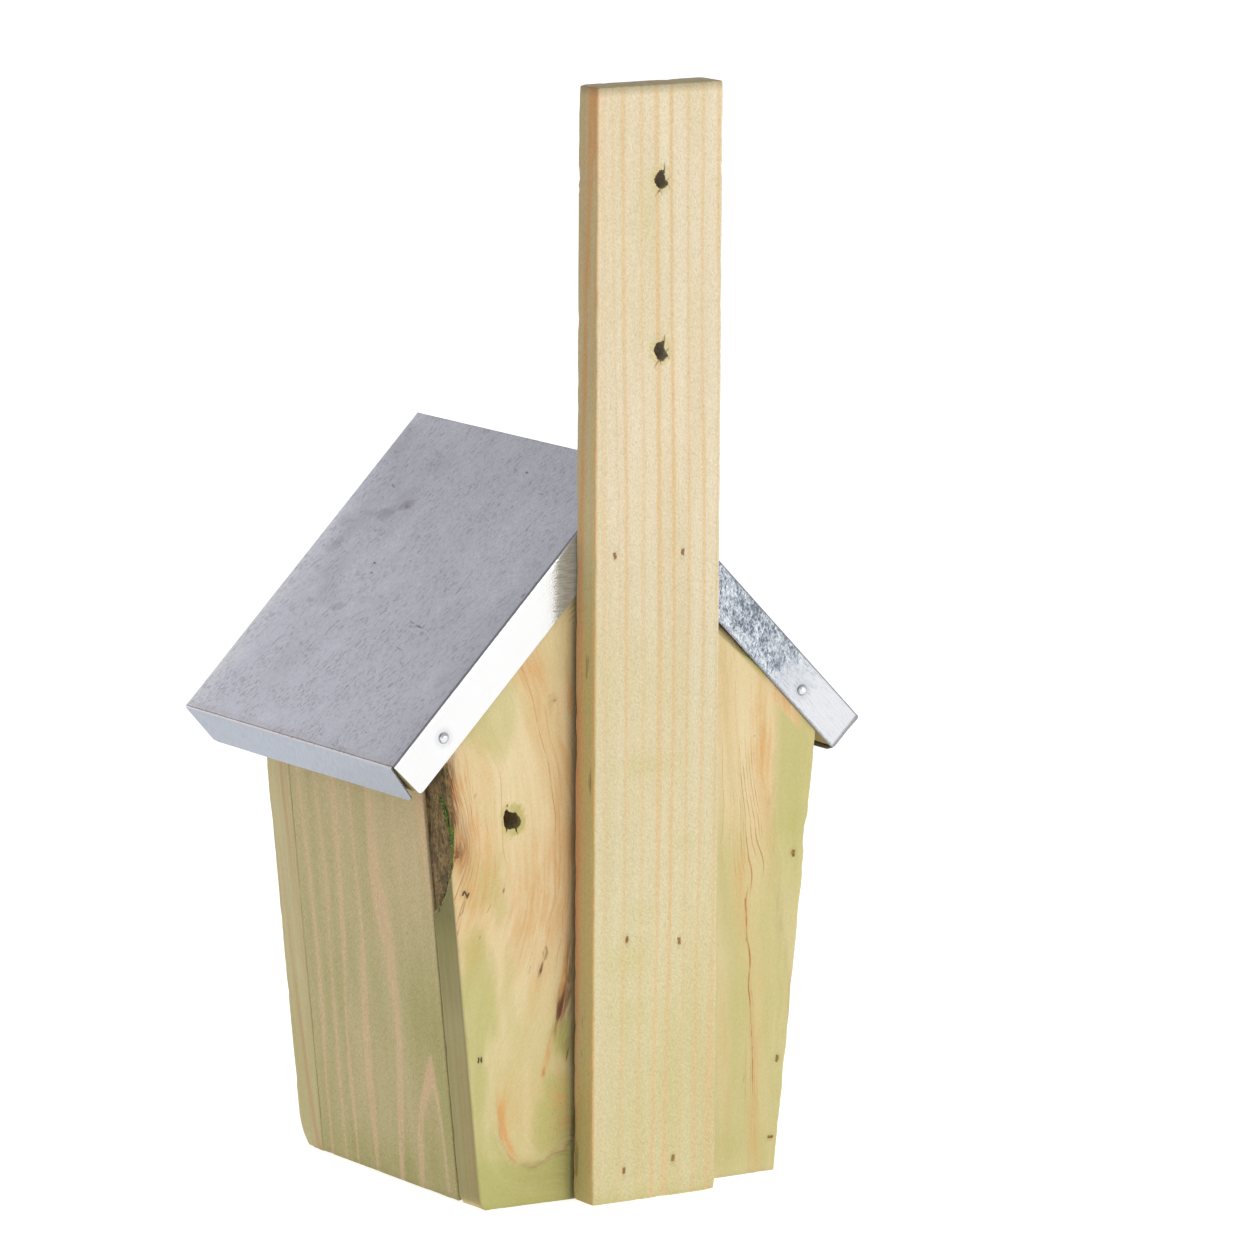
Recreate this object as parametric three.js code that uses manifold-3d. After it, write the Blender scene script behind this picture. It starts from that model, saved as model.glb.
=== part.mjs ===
// Wooden nest box with a folded galvanised roof and a long fixing batten down its back.
// Millimetres. +Z up, the entrance faces -Y, the fixing batten is on +Y, the clean-out
// side door is on +X. The origin is at the middle of the footprint, on the base.
import * as THREE from "three";
import { mergeVertices } from "three/addons/utils/BufferGeometryUtils.js";
import Module from "manifold-3d";

// ---------------------------------------------------------------- driving dimensions
const HALF_DEPTH = 76; // half of the overall front-to-back size
const FIT = 0.3; // gap left between pieces that touch

// fixing batten
const BATTEN_W = 50;
const BATTEN_T = 12;
const BATTEN_H = 380;
const BATTEN_X = -2.5; // middle of the batten, nailed on slightly off the centre line
const SCREW_HOLE_R = 3.1;
const SCREW_HOLE_X = -2.9;
const SCREW_HOLE_Z = [348, 290.3];

// gable panels (front and back) and side panels
const PANEL_T = 14.8;
const PANEL_X = -1.5; // middle of the panels
const PANEL_HALF_W = 59.3; // half width at the base
const LEAN = 0.103; // each side leans out this much per mm of height
const BACK_Y = 62.6; // outer face of the back panel
const FRONT_Y = -57.2; // outer face of the front panel
const SIDE_T = 15;

// roof: a steel sheet folded over two boards
const RIDGE_Z = 251.5;
const EAVE_X = 94.2;
const EAVE_Z = 155.5;
const SHEET_T = 0.5;
const BOARD_T = 13.2;
const RAKE_LIP = 15; // depth of the folded lips at the gable ends
// the folded lips along the eaves: their depth, and how far each is opened past square
const EAVE_LIP = { door: 16.5, fixed: 15 };
const EAVE_LIP_OPEN = { door: (6 * Math.PI) / 180, fixed: (2 * Math.PI) / 180 };
const ROOF_BACK_Y = 63.4; // outer face of the back lip
const LIP_CORNER_R = 1.5;

// floor
const FLOOR_Z0 = 4.5;
const FLOOR_T = 15;

// side door, hung on two nails
const DOOR_END_GAP = 0.7; // to the gable panels, each end
const DOOR_TOP_GAP = 0.8; // below the roof board
const DOOR_SILL_Z = 0.3; // outer bottom edge
const DOOR_SILL_RISE = 2.1; // the bottom edge rises inwards so that it swings clear
const PIVOT = { x: 64.6, z: 109.6 };
const STOP = { x: 58.8, z: 52.4 };

// holes that the birds and the air use
const ENTRANCE = { x: PANEL_X, z: 148, r: 16 };
const VENT = { x: 46.5, z: 133.4, r: 3.4 };

// fasteners
const BRAD = { shank: 0.75, headW: 1.3, headH: 2.6, headT: 1.2, sink: 0.5 };
const NAIL = { shank: 1.0, head: 1.9, headT: 1.0, sink: 0.4 };
const SHEET_NAIL = { shank: 0.8, head: 1.7, dome: 0.9, length: 15 };

// ---------------------------------------------------------------- derived
const HALF_PI = Math.PI / 2;
const slope = Math.atan2(RIDGE_Z - EAVE_Z, EAVE_X);
const SIN = Math.sin(slope),
  COS = Math.cos(slope),
  TAN = Math.tan(slope);
const BATTEN_Y = HALF_DEPTH - BATTEN_T; // inner face of the batten
const ROOF_FRONT_Y = -HALF_DEPTH + FIT + SHEET_NAIL.dome; // outer face of the front lip: the nail heads stand out to the full depth
const BACK_IN = BACK_Y - PANEL_T;
const FRONT_IN = FRONT_Y + PANEL_T;
const SIDE_DX = SIDE_T * Math.sqrt(1 + LEAN * LEAN); // side thickness along X
const BOARD_TOP = SHEET_T + FIT; // depths below the outer roof surface
const BOARD_UNDER = BOARD_TOP + BOARD_T;
const GABLE_TOP = BOARD_UNDER + FIT;

// A point of the +X roof slope: s mm down from the ridge, depth mm below its outer face.
const onSlope = (s, depth) => [
  s * COS - depth * SIN,
  RIDGE_Z - s * SIN - depth * COS,
];
const SLOPE_LEN = Math.hypot(EAVE_X, RIDGE_Z - EAVE_Z);
const mirrorX = (pts) => pts.map(([x, z]) => [-x, z]).reverse();
const roofLineZ = (depth) => RIDGE_Z - depth / COS; // height at x = 0
// Outer line of a side at height z: +1 is the door side, -1 the fixed side.
const sideX = (side, z, inward = 0) =>
  PANEL_X + side * (PANEL_HALF_W + LEAN * z - inward);
// Height where that line meets a plane depth mm below the roof's outer face.
const sideTopZ = (side, depth, inward = 0) =>
  (roofLineZ(depth) - TAN * (side * PANEL_X + PANEL_HALF_W - inward)) /
  (1 + TAN * LEAN);

// ---------------------------------------------------------------- solids
const wasm = await Module();
wasm.setup();

function solid(geometry) {
  const g = geometry.clone();
  g.deleteAttribute("normal");
  g.deleteAttribute("uv");
  const m = mergeVertices(g, 1e-4);
  return new wasm.Manifold(
    new wasm.Mesh({
      numProp: 3,
      vertProperties: new Float32Array(m.attributes.position.array),
      triVerts: new Uint32Array(m.index.array),
    }),
  );
}

function geometryOf(s) {
  const m = s.getMesh();
  const p = new Float32Array(m.numVert * 3);
  for (let i = 0; i < m.numVert; i++)
    for (let k = 0; k < 3; k++)
      p[3 * i + k] = m.vertProperties[i * m.numProp + k];
  const g = new THREE.BufferGeometry();
  g.setAttribute("position", new THREE.BufferAttribute(p, 3));
  g.setIndex(new THREE.BufferAttribute(new Uint32Array(m.triVerts), 1));
  g.computeVertexNormals();
  return g;
}

// An outline in X and Z, extruded from y0 to y1.
function slab(points, y0, y1, holes = []) {
  const shape = new THREE.Shape(points.map(([x, z]) => new THREE.Vector2(x, z)));
  for (const h of holes) {
    const path = new THREE.Path();
    path.absarc(h.x, h.z, h.r, 0, 2 * Math.PI, true);
    shape.holes.push(path);
  }
  const g = new THREE.ExtrudeGeometry(shape, {
    depth: y1 - y0,
    bevelEnabled: false,
    curveSegments: 16,
  });
  g.rotateX(HALF_PI);
  g.translate(0, y1, 0);
  return g;
}

// Turns a geometry built along +Z so that +Z points along dir, and moves it to pos.
function aim(g, pos, dir) {
  const q = new THREE.Quaternion().setFromUnitVectors(
    new THREE.Vector3(0, 0, 1),
    new THREE.Vector3(...dir).normalize(),
  );
  g.applyQuaternion(q);
  g.translate(...pos);
  return g;
}

function rod(r, z0, z1, segments = 12) {
  const g = new THREE.CylinderGeometry(r, r, z1 - z0, segments);
  g.rotateX(HALF_PI);
  g.translate(0, 0, (z0 + z1) / 2);
  return g;
}

function block(w, d, z0, z1) {
  const g = new THREE.BoxGeometry(w, d, z1 - z0);
  g.translate(0, 0, (z0 + z1) / 2);
  return g;
}

// ---------------------------------------------------------------- fasteners
// Each is built with its outer end at z = 0, its shank along -Z. dir points out of the wood.
// "body" is the fastener, "hole" the clearance that it needs in whatever it passes through.
function brad(pos, dir, length, spin = 0) {
  const { shank, headW, headH, headT, sink } = BRAD;
  const top = -sink;
  const make = (g) => {
    g.rotateZ(spin);
    return solid(aim(g, pos, dir));
  };
  const along = Math.abs(dir[1]) > 0.5 ? [headW, headH] : [headH, headW];
  return {
    body: make(block(along[0], along[1], top - headT, top)).add(
      make(rod(shank, top - length, top - headT * 0.5, 10)),
    ),
    hole: make(
      block(along[0] + 0.6, along[1] + 0.6, top - headT - FIT, 4),
    ).add(make(rod(shank + FIT, top - length - 1, 0, 10))),
  };
}

function nail(pos, dir, length) {
  const { shank, head, headT, sink } = NAIL;
  const top = -sink;
  const make = (g) => solid(aim(g, pos, dir));
  return {
    body: make(rod(head, top - headT, top, 16)).add(
      make(rod(shank, top - length, top - headT * 0.5, 12)),
    ),
    hole: make(rod(head + FIT, top - headT - FIT, 4, 16)).add(
      make(rod(shank + FIT, top - length - 1, 0, 12)),
    ),
  };
}

// Domed nail whose head stands on a face: pos is on that face.
function sheetNail(pos, dir) {
  const { shank, head, dome, length } = SHEET_NAIL;
  const profile = [new THREE.Vector2(0, FIT - length)];
  profile.push(new THREE.Vector2(shank, FIT - length));
  profile.push(new THREE.Vector2(shank, FIT));
  for (let i = 0; i <= 5; i++) {
    const a = (i / 5) * HALF_PI;
    profile.push(
      new THREE.Vector2(
        i === 5 ? 0 : head * Math.cos(a),
        FIT + 0.15 + (dome - 0.15) * Math.sin(a),
      ),
    );
    if (i === 0) profile.splice(3, 0, new THREE.Vector2(head, FIT));
  }
  const g = new THREE.LatheGeometry(profile, 16);
  g.rotateX(HALF_PI);
  return {
    body: solid(aim(g, pos, dir)),
    hole: solid(aim(rod(shank + FIT, -length - 1, 3, 12), pos, dir)),
  };
}

const OUT_BACK = [0, 1, 0],
  OUT_FRONT = [0, -1, 0];
const fasteners = {
  // batten to roof boards (top pair) and to the back panel and floor
  batten_brad_roof_a: brad([14.6, HALF_DEPTH, 222.3], OUT_BACK, 34),
  batten_brad_roof_b: brad([-12.5, HALF_DEPTH, 221.5], OUT_BACK, 34),
  batten_brad_panel_a: brad([8.9, HALF_DEPTH, 90.7], OUT_BACK, 25),
  batten_brad_panel_b: brad([-12.1, HALF_DEPTH, 88.1], OUT_BACK, 25),
  batten_brad_floor_a: brad([9.6, HALF_DEPTH, 10.9], OUT_BACK, 44),
  batten_brad_floor_b: brad([-10.2, HALF_DEPTH, 13.0], OUT_BACK, 44),
  // gable panels to the fixed side
  back_side_brad_top: brad([-67.3, BACK_Y, 110.6], OUT_BACK, 32),
  back_side_brad_mid: brad([-61.5, BACK_Y, 39.4], OUT_BACK, 32),
  back_side_brad_low: brad([-58.9, BACK_Y, 11.9], OUT_BACK, 32, HALF_PI),
  front_side_brad_top: brad([-67.3, FRONT_Y, 110.6], OUT_FRONT, 32),
  front_side_brad_mid: brad([-62.6, FRONT_Y, 52.4], OUT_FRONT, 32),
  front_side_brad_low: brad([-58.9, FRONT_Y, 13.0], OUT_FRONT, 32),
  // front panel to the floor
  front_floor_brad_a: brad([-28, FRONT_Y, 12.2], OUT_FRONT, 32),
  front_floor_brad_b: brad([24, FRONT_Y, 11.6], OUT_FRONT, 32),
  // the side door's pivots and stops
  pivot_nail_back: nail([PIVOT.x, BACK_Y, PIVOT.z], OUT_BACK, 28),
  pivot_nail_front: nail([PIVOT.x, FRONT_Y, PIVOT.z], OUT_FRONT, 28),
  stop_nail_back: nail([STOP.x, BACK_Y, STOP.z], OUT_BACK, 21),
  stop_nail_front: nail([STOP.x, FRONT_Y, STOP.z], OUT_FRONT, 21),
};

// Roof boards to the gable panels, square to the slope, under the sheet.
for (const [side, s, tag] of [
  [1, 62, "door_side"],
  [-1, 62, "fixed_side"],
]) {
  const [x, z] = onSlope(s, BOARD_TOP);
  const dir = [side * SIN, 0, COS];
  fasteners[`roof_brad_${tag}_back`] = brad(
    [side * x, BACK_Y - 7.4, z],
    dir,
    32,
  );
  fasteners[`roof_brad_${tag}_front`] = brad(
    [side * x, FRONT_Y + 7.4, z],
    dir,
    32,
  );
}

// Sheet to the ends of the roof boards.
for (const [tag, x, z, y, dir] of [
  ["back_door_side", 73.9, 164.0, ROOF_BACK_Y, OUT_BACK],
  ["back_fixed_side", -69.9, 167.3, ROOF_BACK_Y, OUT_BACK],
  ["front_door_side", 71.5, 166.0, ROOF_FRONT_Y, OUT_FRONT],
  ["front_fixed_side", -72.0, 165.2, ROOF_FRONT_Y, OUT_FRONT],
])
  fasteners[`sheet_nail_${tag}`] = sheetNail([x, y, z], dir);

const without = (s, names) =>
  names.reduce((a, n) => a.subtract(fasteners[n].hole), s);
const named = (...parts) =>
  Object.keys(fasteners).filter((n) => parts.some((p) => n.startsWith(p)));

// ---------------------------------------------------------------- wood
function buildBatten() {
  const w = BATTEN_W / 2;
  const s = solid(
    slab(
      [
        [BATTEN_X - w, 0],
        [BATTEN_X + w, 0],
        [BATTEN_X + w, BATTEN_H],
        [BATTEN_X - w, BATTEN_H],
      ],
      BATTEN_Y,
      HALF_DEPTH,
      SCREW_HOLE_Z.map((z) => ({ x: SCREW_HOLE_X, z, r: SCREW_HOLE_R })),
    ),
  );
  return without(s, named("batten_brad"));
}

function gableOutline() {
  const zr = sideTopZ(1, GABLE_TOP),
    zl = sideTopZ(-1, GABLE_TOP);
  return [
    [sideX(-1, 0), 0],
    [sideX(1, 0), 0],
    [sideX(1, zr), zr],
    [0, roofLineZ(GABLE_TOP)],
    [sideX(-1, zl), zl],
  ];
}

function buildBackPanel() {
  const s = solid(slab(gableOutline(), BACK_IN, BACK_Y, [VENT]));
  return without(s, [
    ...named("batten_brad", "back_side_brad"),
    "pivot_nail_back",
    "stop_nail_back",
    "roof_brad_door_side_back",
    "roof_brad_fixed_side_back",
  ]);
}

function buildFrontPanel() {
  const s = solid(slab(gableOutline(), FRONT_Y, FRONT_IN, [ENTRANCE]));
  return without(s, [
    ...named("front_side_brad", "front_floor_brad"),
    "pivot_nail_front",
    "stop_nail_front",
    "roof_brad_door_side_front",
    "roof_brad_fixed_side_front",
  ]);
}

function buildFixedSide() {
  const zo = sideTopZ(-1, GABLE_TOP),
    zi = sideTopZ(-1, GABLE_TOP, SIDE_DX);
  const s = solid(
    slab(
      [
        [sideX(-1, 0), 0],
        [sideX(-1, 0, SIDE_DX), 0],
        [sideX(-1, zi, SIDE_DX), zi],
        [sideX(-1, zo), zo],
      ],
      FRONT_IN + FIT,
      BACK_IN - FIT,
    ),
  );
  return without(s, named("back_side_brad", "front_side_brad"));
}

// The door is cut short under the roof board, its bottom edge rises inwards, and each end
// has a bore for its pivot nail and a slot, open to the inside, that rides over the stop nail.
function buildDoor() {
  const y0 = FRONT_IN + DOOR_END_GAP,
    y1 = BACK_IN - DOOR_END_GAP;
  const depth = BOARD_UNDER + DOOR_TOP_GAP;
  const zo = sideTopZ(1, depth),
    zi = sideTopZ(1, depth, SIDE_DX);
  const sill = DOOR_SILL_Z + DOOR_SILL_RISE;
  let s = solid(
    slab(
      [
        [sideX(1, DOOR_SILL_Z), DOOR_SILL_Z],
        [sideX(1, zo), zo],
        [sideX(1, zi, SIDE_DX), zi],
        [sideX(1, sill, SIDE_DX), sill],
      ].reverse(),
      y0,
      y1,
    ),
  );
  for (const end of ["back", "front"])
    s = s.subtract(fasteners[`pivot_nail_${end}`].hole);
  // The stop nail's path past the swinging door, with clearance all round.
  const r = NAIL.shank + 0.6;
  const dx = STOP.x - PIVOT.x,
    dz = STOP.z - PIVOT.z;
  const upper = [],
    lower = [];
  for (let i = 0; i <= 6; i++) {
    const a = (i / 6) * 0.26;
    const x = dx * Math.cos(a) + dz * Math.sin(a);
    const z = -dx * Math.sin(a) + dz * Math.cos(a);
    const k = Math.hypot(x, z);
    upper.push([PIVOT.x + x * (1 - r / k), PIVOT.z + z * (1 - r / k)]);
    lower.push([PIVOT.x + x * (1 + r / k), PIVOT.z + z * (1 + r / k)]);
  }
  const slot = [
    ...lower.reverse(),
    [STOP.x + r * 0.72, STOP.z - r * 0.72],
    [STOP.x + r, STOP.z],
    [STOP.x + r * 0.72, STOP.z + r * 0.72],
    ...upper,
  ];
  const deep = 8;
  s = s.subtract(solid(slab(slot, y1 - deep, y1 + 2)));
  s = s.subtract(solid(slab(slot, y0 - 2, y0 + deep)));
  return s;
}

function buildFloor() {
  const z0 = FLOOR_Z0,
    z1 = FLOOR_Z0 + FLOOR_T;
  const s = solid(
    slab(
      [
        [sideX(-1, z0, SIDE_DX) + 0.4, z0],
        [sideX(1, z0, SIDE_DX) - 0.7, z0],
        [sideX(1, z1, SIDE_DX) - 0.7, z1],
        [sideX(-1, z1, SIDE_DX) + 0.4, z1],
      ],
      FRONT_IN + FIT,
      BACK_IN - FIT,
    ),
  );
  return without(s, named("batten_brad_floor", "front_floor_brad"));
}

// The door side's board runs up to the far slope, and the other board butts under it.
function buildRoofBoard(side) {
  const y0 = ROOF_FRONT_Y + SHEET_T + FIT,
    y1 = BACK_Y;
  const end = SLOPE_LEN - SHEET_T - FIT;
  // Point on both this slope at depth a and the far slope at depth b, seen from this side.
  const corner = (a, b) => [
    (b - a) / (2 * SIN),
    RIDGE_Z - (a + b) / (2 * COS),
  ];
  const far = side > 0 ? BOARD_TOP : BOARD_UNDER + FIT;
  const pts = [
    onSlope(end, BOARD_UNDER),
    onSlope(end, BOARD_TOP),
    corner(BOARD_TOP, far),
    corner(BOARD_UNDER, far),
  ];
  const s = solid(slab(side > 0 ? pts : mirrorX(pts), y0, y1));
  const tag = side > 0 ? "door_side" : "fixed_side";
  return without(s, [
    ...named(`roof_brad_${tag}`, "batten_brad_roof"),
    `sheet_nail_back_${tag}`,
    `sheet_nail_front_${tag}`,
  ]);
}

// ---------------------------------------------------------------- roof sheet
function buildSheet() {
  const y0 = ROOF_FRONT_Y,
    y1 = ROOF_BACK_Y;
  const eave = (tag) => {
    const c = Math.cos(EAVE_LIP_OPEN[tag]),
      n = Math.sin(EAVE_LIP_OPEN[tag]),
      l = EAVE_LIP[tag];
    return [
      onSlope(SLOPE_LEN, 0),
      onSlope(SLOPE_LEN + l * n, l * c),
      onSlope(SLOPE_LEN + l * n - SHEET_T * c, l * c + SHEET_T * n),
      onSlope(SLOPE_LEN - SHEET_T * c + (SHEET_T * (1 - n) * n) / c, SHEET_T),
    ];
  };
  const half = eave("door");
  const far = eave("fixed").map(([x, z]) => [-x, z]);
  let s = solid(
    slab(
      [
        [0, RIDGE_Z],
        far[0],
        far[1],
        far[2],
        far[3],
        [0, roofLineZ(SHEET_T)],
        half[3],
        half[2],
        half[1],
        half[0],
      ],
      y0,
      y1,
    ),
  );
  // gable-end lips, square cut at the eave with a rounded lower corner
  const e = SLOPE_LEN - 0.8;
  const arc = [];
  for (let i = 0; i <= 4; i++) {
    const a = (i / 4) * HALF_PI;
    arc.push(
      onSlope(
        e - LIP_CORNER_R * (1 - Math.cos(a)),
        RAKE_LIP - LIP_CORNER_R * (1 - Math.sin(a)),
      ),
    );
  }
  const slit = 0.3; // the two lips are cut apart on the ridge line
  const lip = [
    [slit, RIDGE_Z - slit * TAN],
    [slit, roofLineZ(RAKE_LIP) - slit * TAN],
    ...arc.reverse(),
    onSlope(e, 0),
  ];
  for (const pts of [lip, mirrorX(lip)])
    for (const [a, b] of [
      [y0, y0 + SHEET_T],
      [y1 - SHEET_T, y1],
    ])
      s = s.add(solid(slab(pts, a, b)));
  // the eave lips' ends are snipped back towards their lower edge
  for (const side of [1, -1])
    for (const [y, out] of [
      [y0, -1],
      [y1, 1],
    ]) {
      const tag = side > 0 ? "door" : "fixed",
        c = Math.cos(EAVE_LIP_OPEN[tag]),
        n = Math.sin(EAVE_LIP_OPEN[tag]);
      const a = onSlope(SLOPE_LEN + 1.2 * n + 0.2 * c, 1.2 * c - 0.2 * n);
      const shape = new THREE.Shape([
        new THREE.Vector2(0, 0.1),
        new THREE.Vector2(EAVE_LIP[tag], -2.2),
        new THREE.Vector2(EAVE_LIP[tag], 4),
        new THREE.Vector2(0, 4),
      ]);
      const g = new THREE.ExtrudeGeometry(shape, {
        depth: SHEET_T + 0.4,
        bevelEnabled: false,
      });
      // local x runs down the lip, local y out of the end, local z inwards along the slope
      const m = new THREE.Matrix4().makeBasis(
        new THREE.Vector3((-SIN * c + COS * n) * side, 0, -COS * c - SIN * n),
        new THREE.Vector3(0, out, 0),
        new THREE.Vector3((-COS * c - SIN * n) * side, 0, SIN * c - COS * n),
      );
      g.applyMatrix4(m);
      if (m.determinant() < 0) {
        const idx = g.index ? g.index.array : null;
        if (idx)
          for (let i = 0; i < idx.length; i += 3)
            [idx[i + 1], idx[i + 2]] = [idx[i + 2], idx[i + 1]];
        else {
          const p = g.attributes.position.array;
          for (let i = 0; i < p.length; i += 9)
            for (let k = 0; k < 3; k++)
              [p[i + 3 + k], p[i + 6 + k]] = [p[i + 6 + k], p[i + 3 + k]];
        }
      }
      g.translate(side * a[0], y - out * 0.6, a[1]);
      s = s.subtract(solid(g));
    }
  return without(s, named("batten_brad_roof", "sheet_nail"));
}

// ---------------------------------------------------------------- assembly
const finish = (color, roughness, metalness) => ({ color, roughness, metalness });
const LOOK = {
  batten: finish(0xe2d6b0, 0.8, 0),
  gable: finish(0xd9bf8a, 0.8, 0),
  side: finish(0xa79d78, 0.82, 0),
  roofBoard: finish(0xb09a68, 0.85, 0),
  floor: finish(0xbfa878, 0.85, 0),
  sheet: finish(0xb0aebb, 0.42, 0.9),
  sheetNail: finish(0xc4c6ca, 0.35, 1),
  brad: finish(0x5b4a38, 0.6, 0.7),
};

const birdhouse = new THREE.Group();
const add = (name, s, look) => {
  const mesh = new THREE.Mesh(
    geometryOf(s),
    new THREE.MeshStandardMaterial(look),
  );
  mesh.name = name;
  birdhouse.add(mesh);
};

add("back_batten", buildBatten(), LOOK.batten);
add("back_panel", buildBackPanel(), LOOK.gable);
add("front_panel", buildFrontPanel(), LOOK.gable);
add("side_panel", buildFixedSide(), LOOK.side);
add("side_door", buildDoor(), LOOK.side);
add("floor_board", buildFloor(), LOOK.floor);
add("roof_board_door_side", buildRoofBoard(1), LOOK.roofBoard);
add("roof_board_fixed_side", buildRoofBoard(-1), LOOK.roofBoard);
add("roof_sheet", buildSheet(), LOOK.sheet);
for (const [name, f] of Object.entries(fasteners))
  add(name, f.body, name.startsWith("sheet_nail") ? LOOK.sheetNail : LOOK.brad);

export default birdhouse;
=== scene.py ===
import math

import bpy
import numpy as np
from mathutils import Matrix, Vector


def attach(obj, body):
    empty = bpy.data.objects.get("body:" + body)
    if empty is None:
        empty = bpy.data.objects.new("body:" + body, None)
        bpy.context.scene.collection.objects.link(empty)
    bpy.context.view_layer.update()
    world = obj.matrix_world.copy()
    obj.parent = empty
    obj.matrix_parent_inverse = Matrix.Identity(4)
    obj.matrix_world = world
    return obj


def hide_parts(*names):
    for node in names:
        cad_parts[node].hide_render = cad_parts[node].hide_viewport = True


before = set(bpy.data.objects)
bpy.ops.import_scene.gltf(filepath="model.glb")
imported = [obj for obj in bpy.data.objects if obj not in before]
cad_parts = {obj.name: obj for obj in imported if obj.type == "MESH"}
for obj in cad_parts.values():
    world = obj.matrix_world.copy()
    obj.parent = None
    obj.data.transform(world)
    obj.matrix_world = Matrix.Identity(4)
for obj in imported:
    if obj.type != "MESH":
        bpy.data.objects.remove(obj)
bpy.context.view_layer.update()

MM = 0.001
scene = bpy.context.scene

# ------------------------------------------------------------------ camera
# Stands behind and to the door side of the house, a little above it.
CAM_AT = Vector((1.568986, 2.487764, 0.681279))
CAM_X = Vector((-0.84073788, 0.54141015, 0.00590417))
CAM_Y = Vector((-0.08455904, -0.14206404, 0.98623911))
CAM_Z = Vector((0.53479864, 0.82866933, 0.16521974))
cam_data = bpy.data.cameras.new("camera")
cam_data.sensor_width = 36.0
cam_data.lens = 252.193
cam_data.clip_start = 0.1
cam_data.clip_end = 60.0
camera = bpy.data.objects.new("camera", cam_data)
scene.collection.objects.link(camera)
m = Matrix.Identity(4)
for col, axis in enumerate((CAM_X, CAM_Y, CAM_Z)):
    for row in range(3):
        m[row][col] = axis[row]
for row in range(3):
    m[row][3] = CAM_AT[row]
camera.matrix_world = m
scene.camera = camera

# ------------------------------------------------------------------ numbers shared with the CAD part (mm)
LEAN = 0.103
BACK_Y, BACK_IN = 62.6, 47.8
FRONT_Y, FRONT_IN = -57.2, -42.4
BATTEN_L, BATTEN_R, BATTEN_IN, BATTEN_OUT, BATTEN_H = -27.5, 22.5, 64.0, 76.0, 380.0
RIDGE_Z = 251.5
ANG = math.atan2(96.0, 94.2)
COS, SIN, TAN = math.cos(ANG), math.sin(ANG), math.tan(ANG)
SLOPE_LEN = math.hypot(94.2, 96.0)
SHEET_T = 0.5
ROOF_BACK_Y, ROOF_FRONT_Y = 63.4, -74.8
BOARD_TOP, BOARD_UNDER = 0.8, 14.0


def right_x(z):
    return 57.8 + LEAN * z


def left_x(z):
    return -(60.8 + LEAN * z)


# ------------------------------------------------------------------ seeded noise
def _hash(ix, iy, iz, seed):
    h = (
        ix.astype(np.uint32) * np.uint32(374761393)
        + iy.astype(np.uint32) * np.uint32(668265263)
        + iz.astype(np.uint32) * np.uint32(2246822519)
        + np.uint32((seed * 3266489917) & 0xFFFFFFFF)
    )
    h = (h ^ (h >> np.uint32(13))) * np.uint32(1274126177)
    h = (h ^ (h >> np.uint32(16))) * np.uint32(2654435761)
    return ((h ^ (h >> np.uint32(15))) & np.uint32(0xFFFFFF)).astype(float) / 8388607.5 - 1.0


def vnoise(p, seed=0):
    """Smooth value noise in -1..1 at points p (n, 3), one cell per unit."""
    p = np.asarray(p, float)
    i = np.floor(p).astype(np.int64)
    f = p - i
    f = f * f * f * (f * (f * 6 - 15) + 10)
    out = 0.0
    for a in (0, 1):
        wa = f[:, 0] if a else 1 - f[:, 0]
        for b in (0, 1):
            wb = f[:, 1] if b else 1 - f[:, 1]
            for c in (0, 1):
                wc = f[:, 2] if c else 1 - f[:, 2]
                out = out + wa * wb * wc * _hash(i[:, 0] + a, i[:, 1] + b, i[:, 2] + c, seed)
    return out


def fbm(p, octaves=3, seed=0):
    p = np.asarray(p, float)
    out, amp, total = 0.0, 1.0, 0.0
    for k in range(octaves):
        out = out + amp * vnoise(p * (2.03**k) + 17.3 * k, seed + k)
        total += amp
        amp *= 0.5
    return out / total


def smooth(a, b, x):
    t = np.clip((x - a) / (b - a), 0, 1)
    return t * t * (3 - 2 * t)


# ------------------------------------------------------------------ mesh helpers
def new_object(name, verts, faces, body, replaces=()):
    """verts in mm, in the row frame."""
    mesh = bpy.data.meshes.new(name)
    verts = np.asarray(verts, float) * MM
    mesh.from_pydata(verts.tolist(), [], [tuple(int(i) for i in f) for f in faces])
    mesh.update()
    obj = bpy.data.objects.new(name, mesh)
    scene.collection.objects.link(obj)
    obj["of_body"] = body
    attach(obj, body)
    if replaces:
        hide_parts(*replaces)
    return obj


def orient(verts, faces):
    """Flips every face if the closed mesh is inside out."""
    v = np.asarray(verts, float)
    vol = 0.0
    quads = np.array([f for f in faces if len(f) == 4], int)
    tris = np.array([f for f in faces if len(f) == 3], int)
    for a, b, c in ((0, 1, 2), (0, 2, 3)):
        if len(quads):
            vol += np.einsum(
                "ij,ij->", v[quads[:, a]], np.cross(v[quads[:, b]], v[quads[:, c]])
            )
    if len(tris):
        vol += np.einsum("ij,ij->", v[tris[:, 0]], np.cross(v[tris[:, 1]], v[tris[:, 2]]))
    if vol < 0:
        return [tuple(reversed(f)) for f in faces]
    return faces


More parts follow.
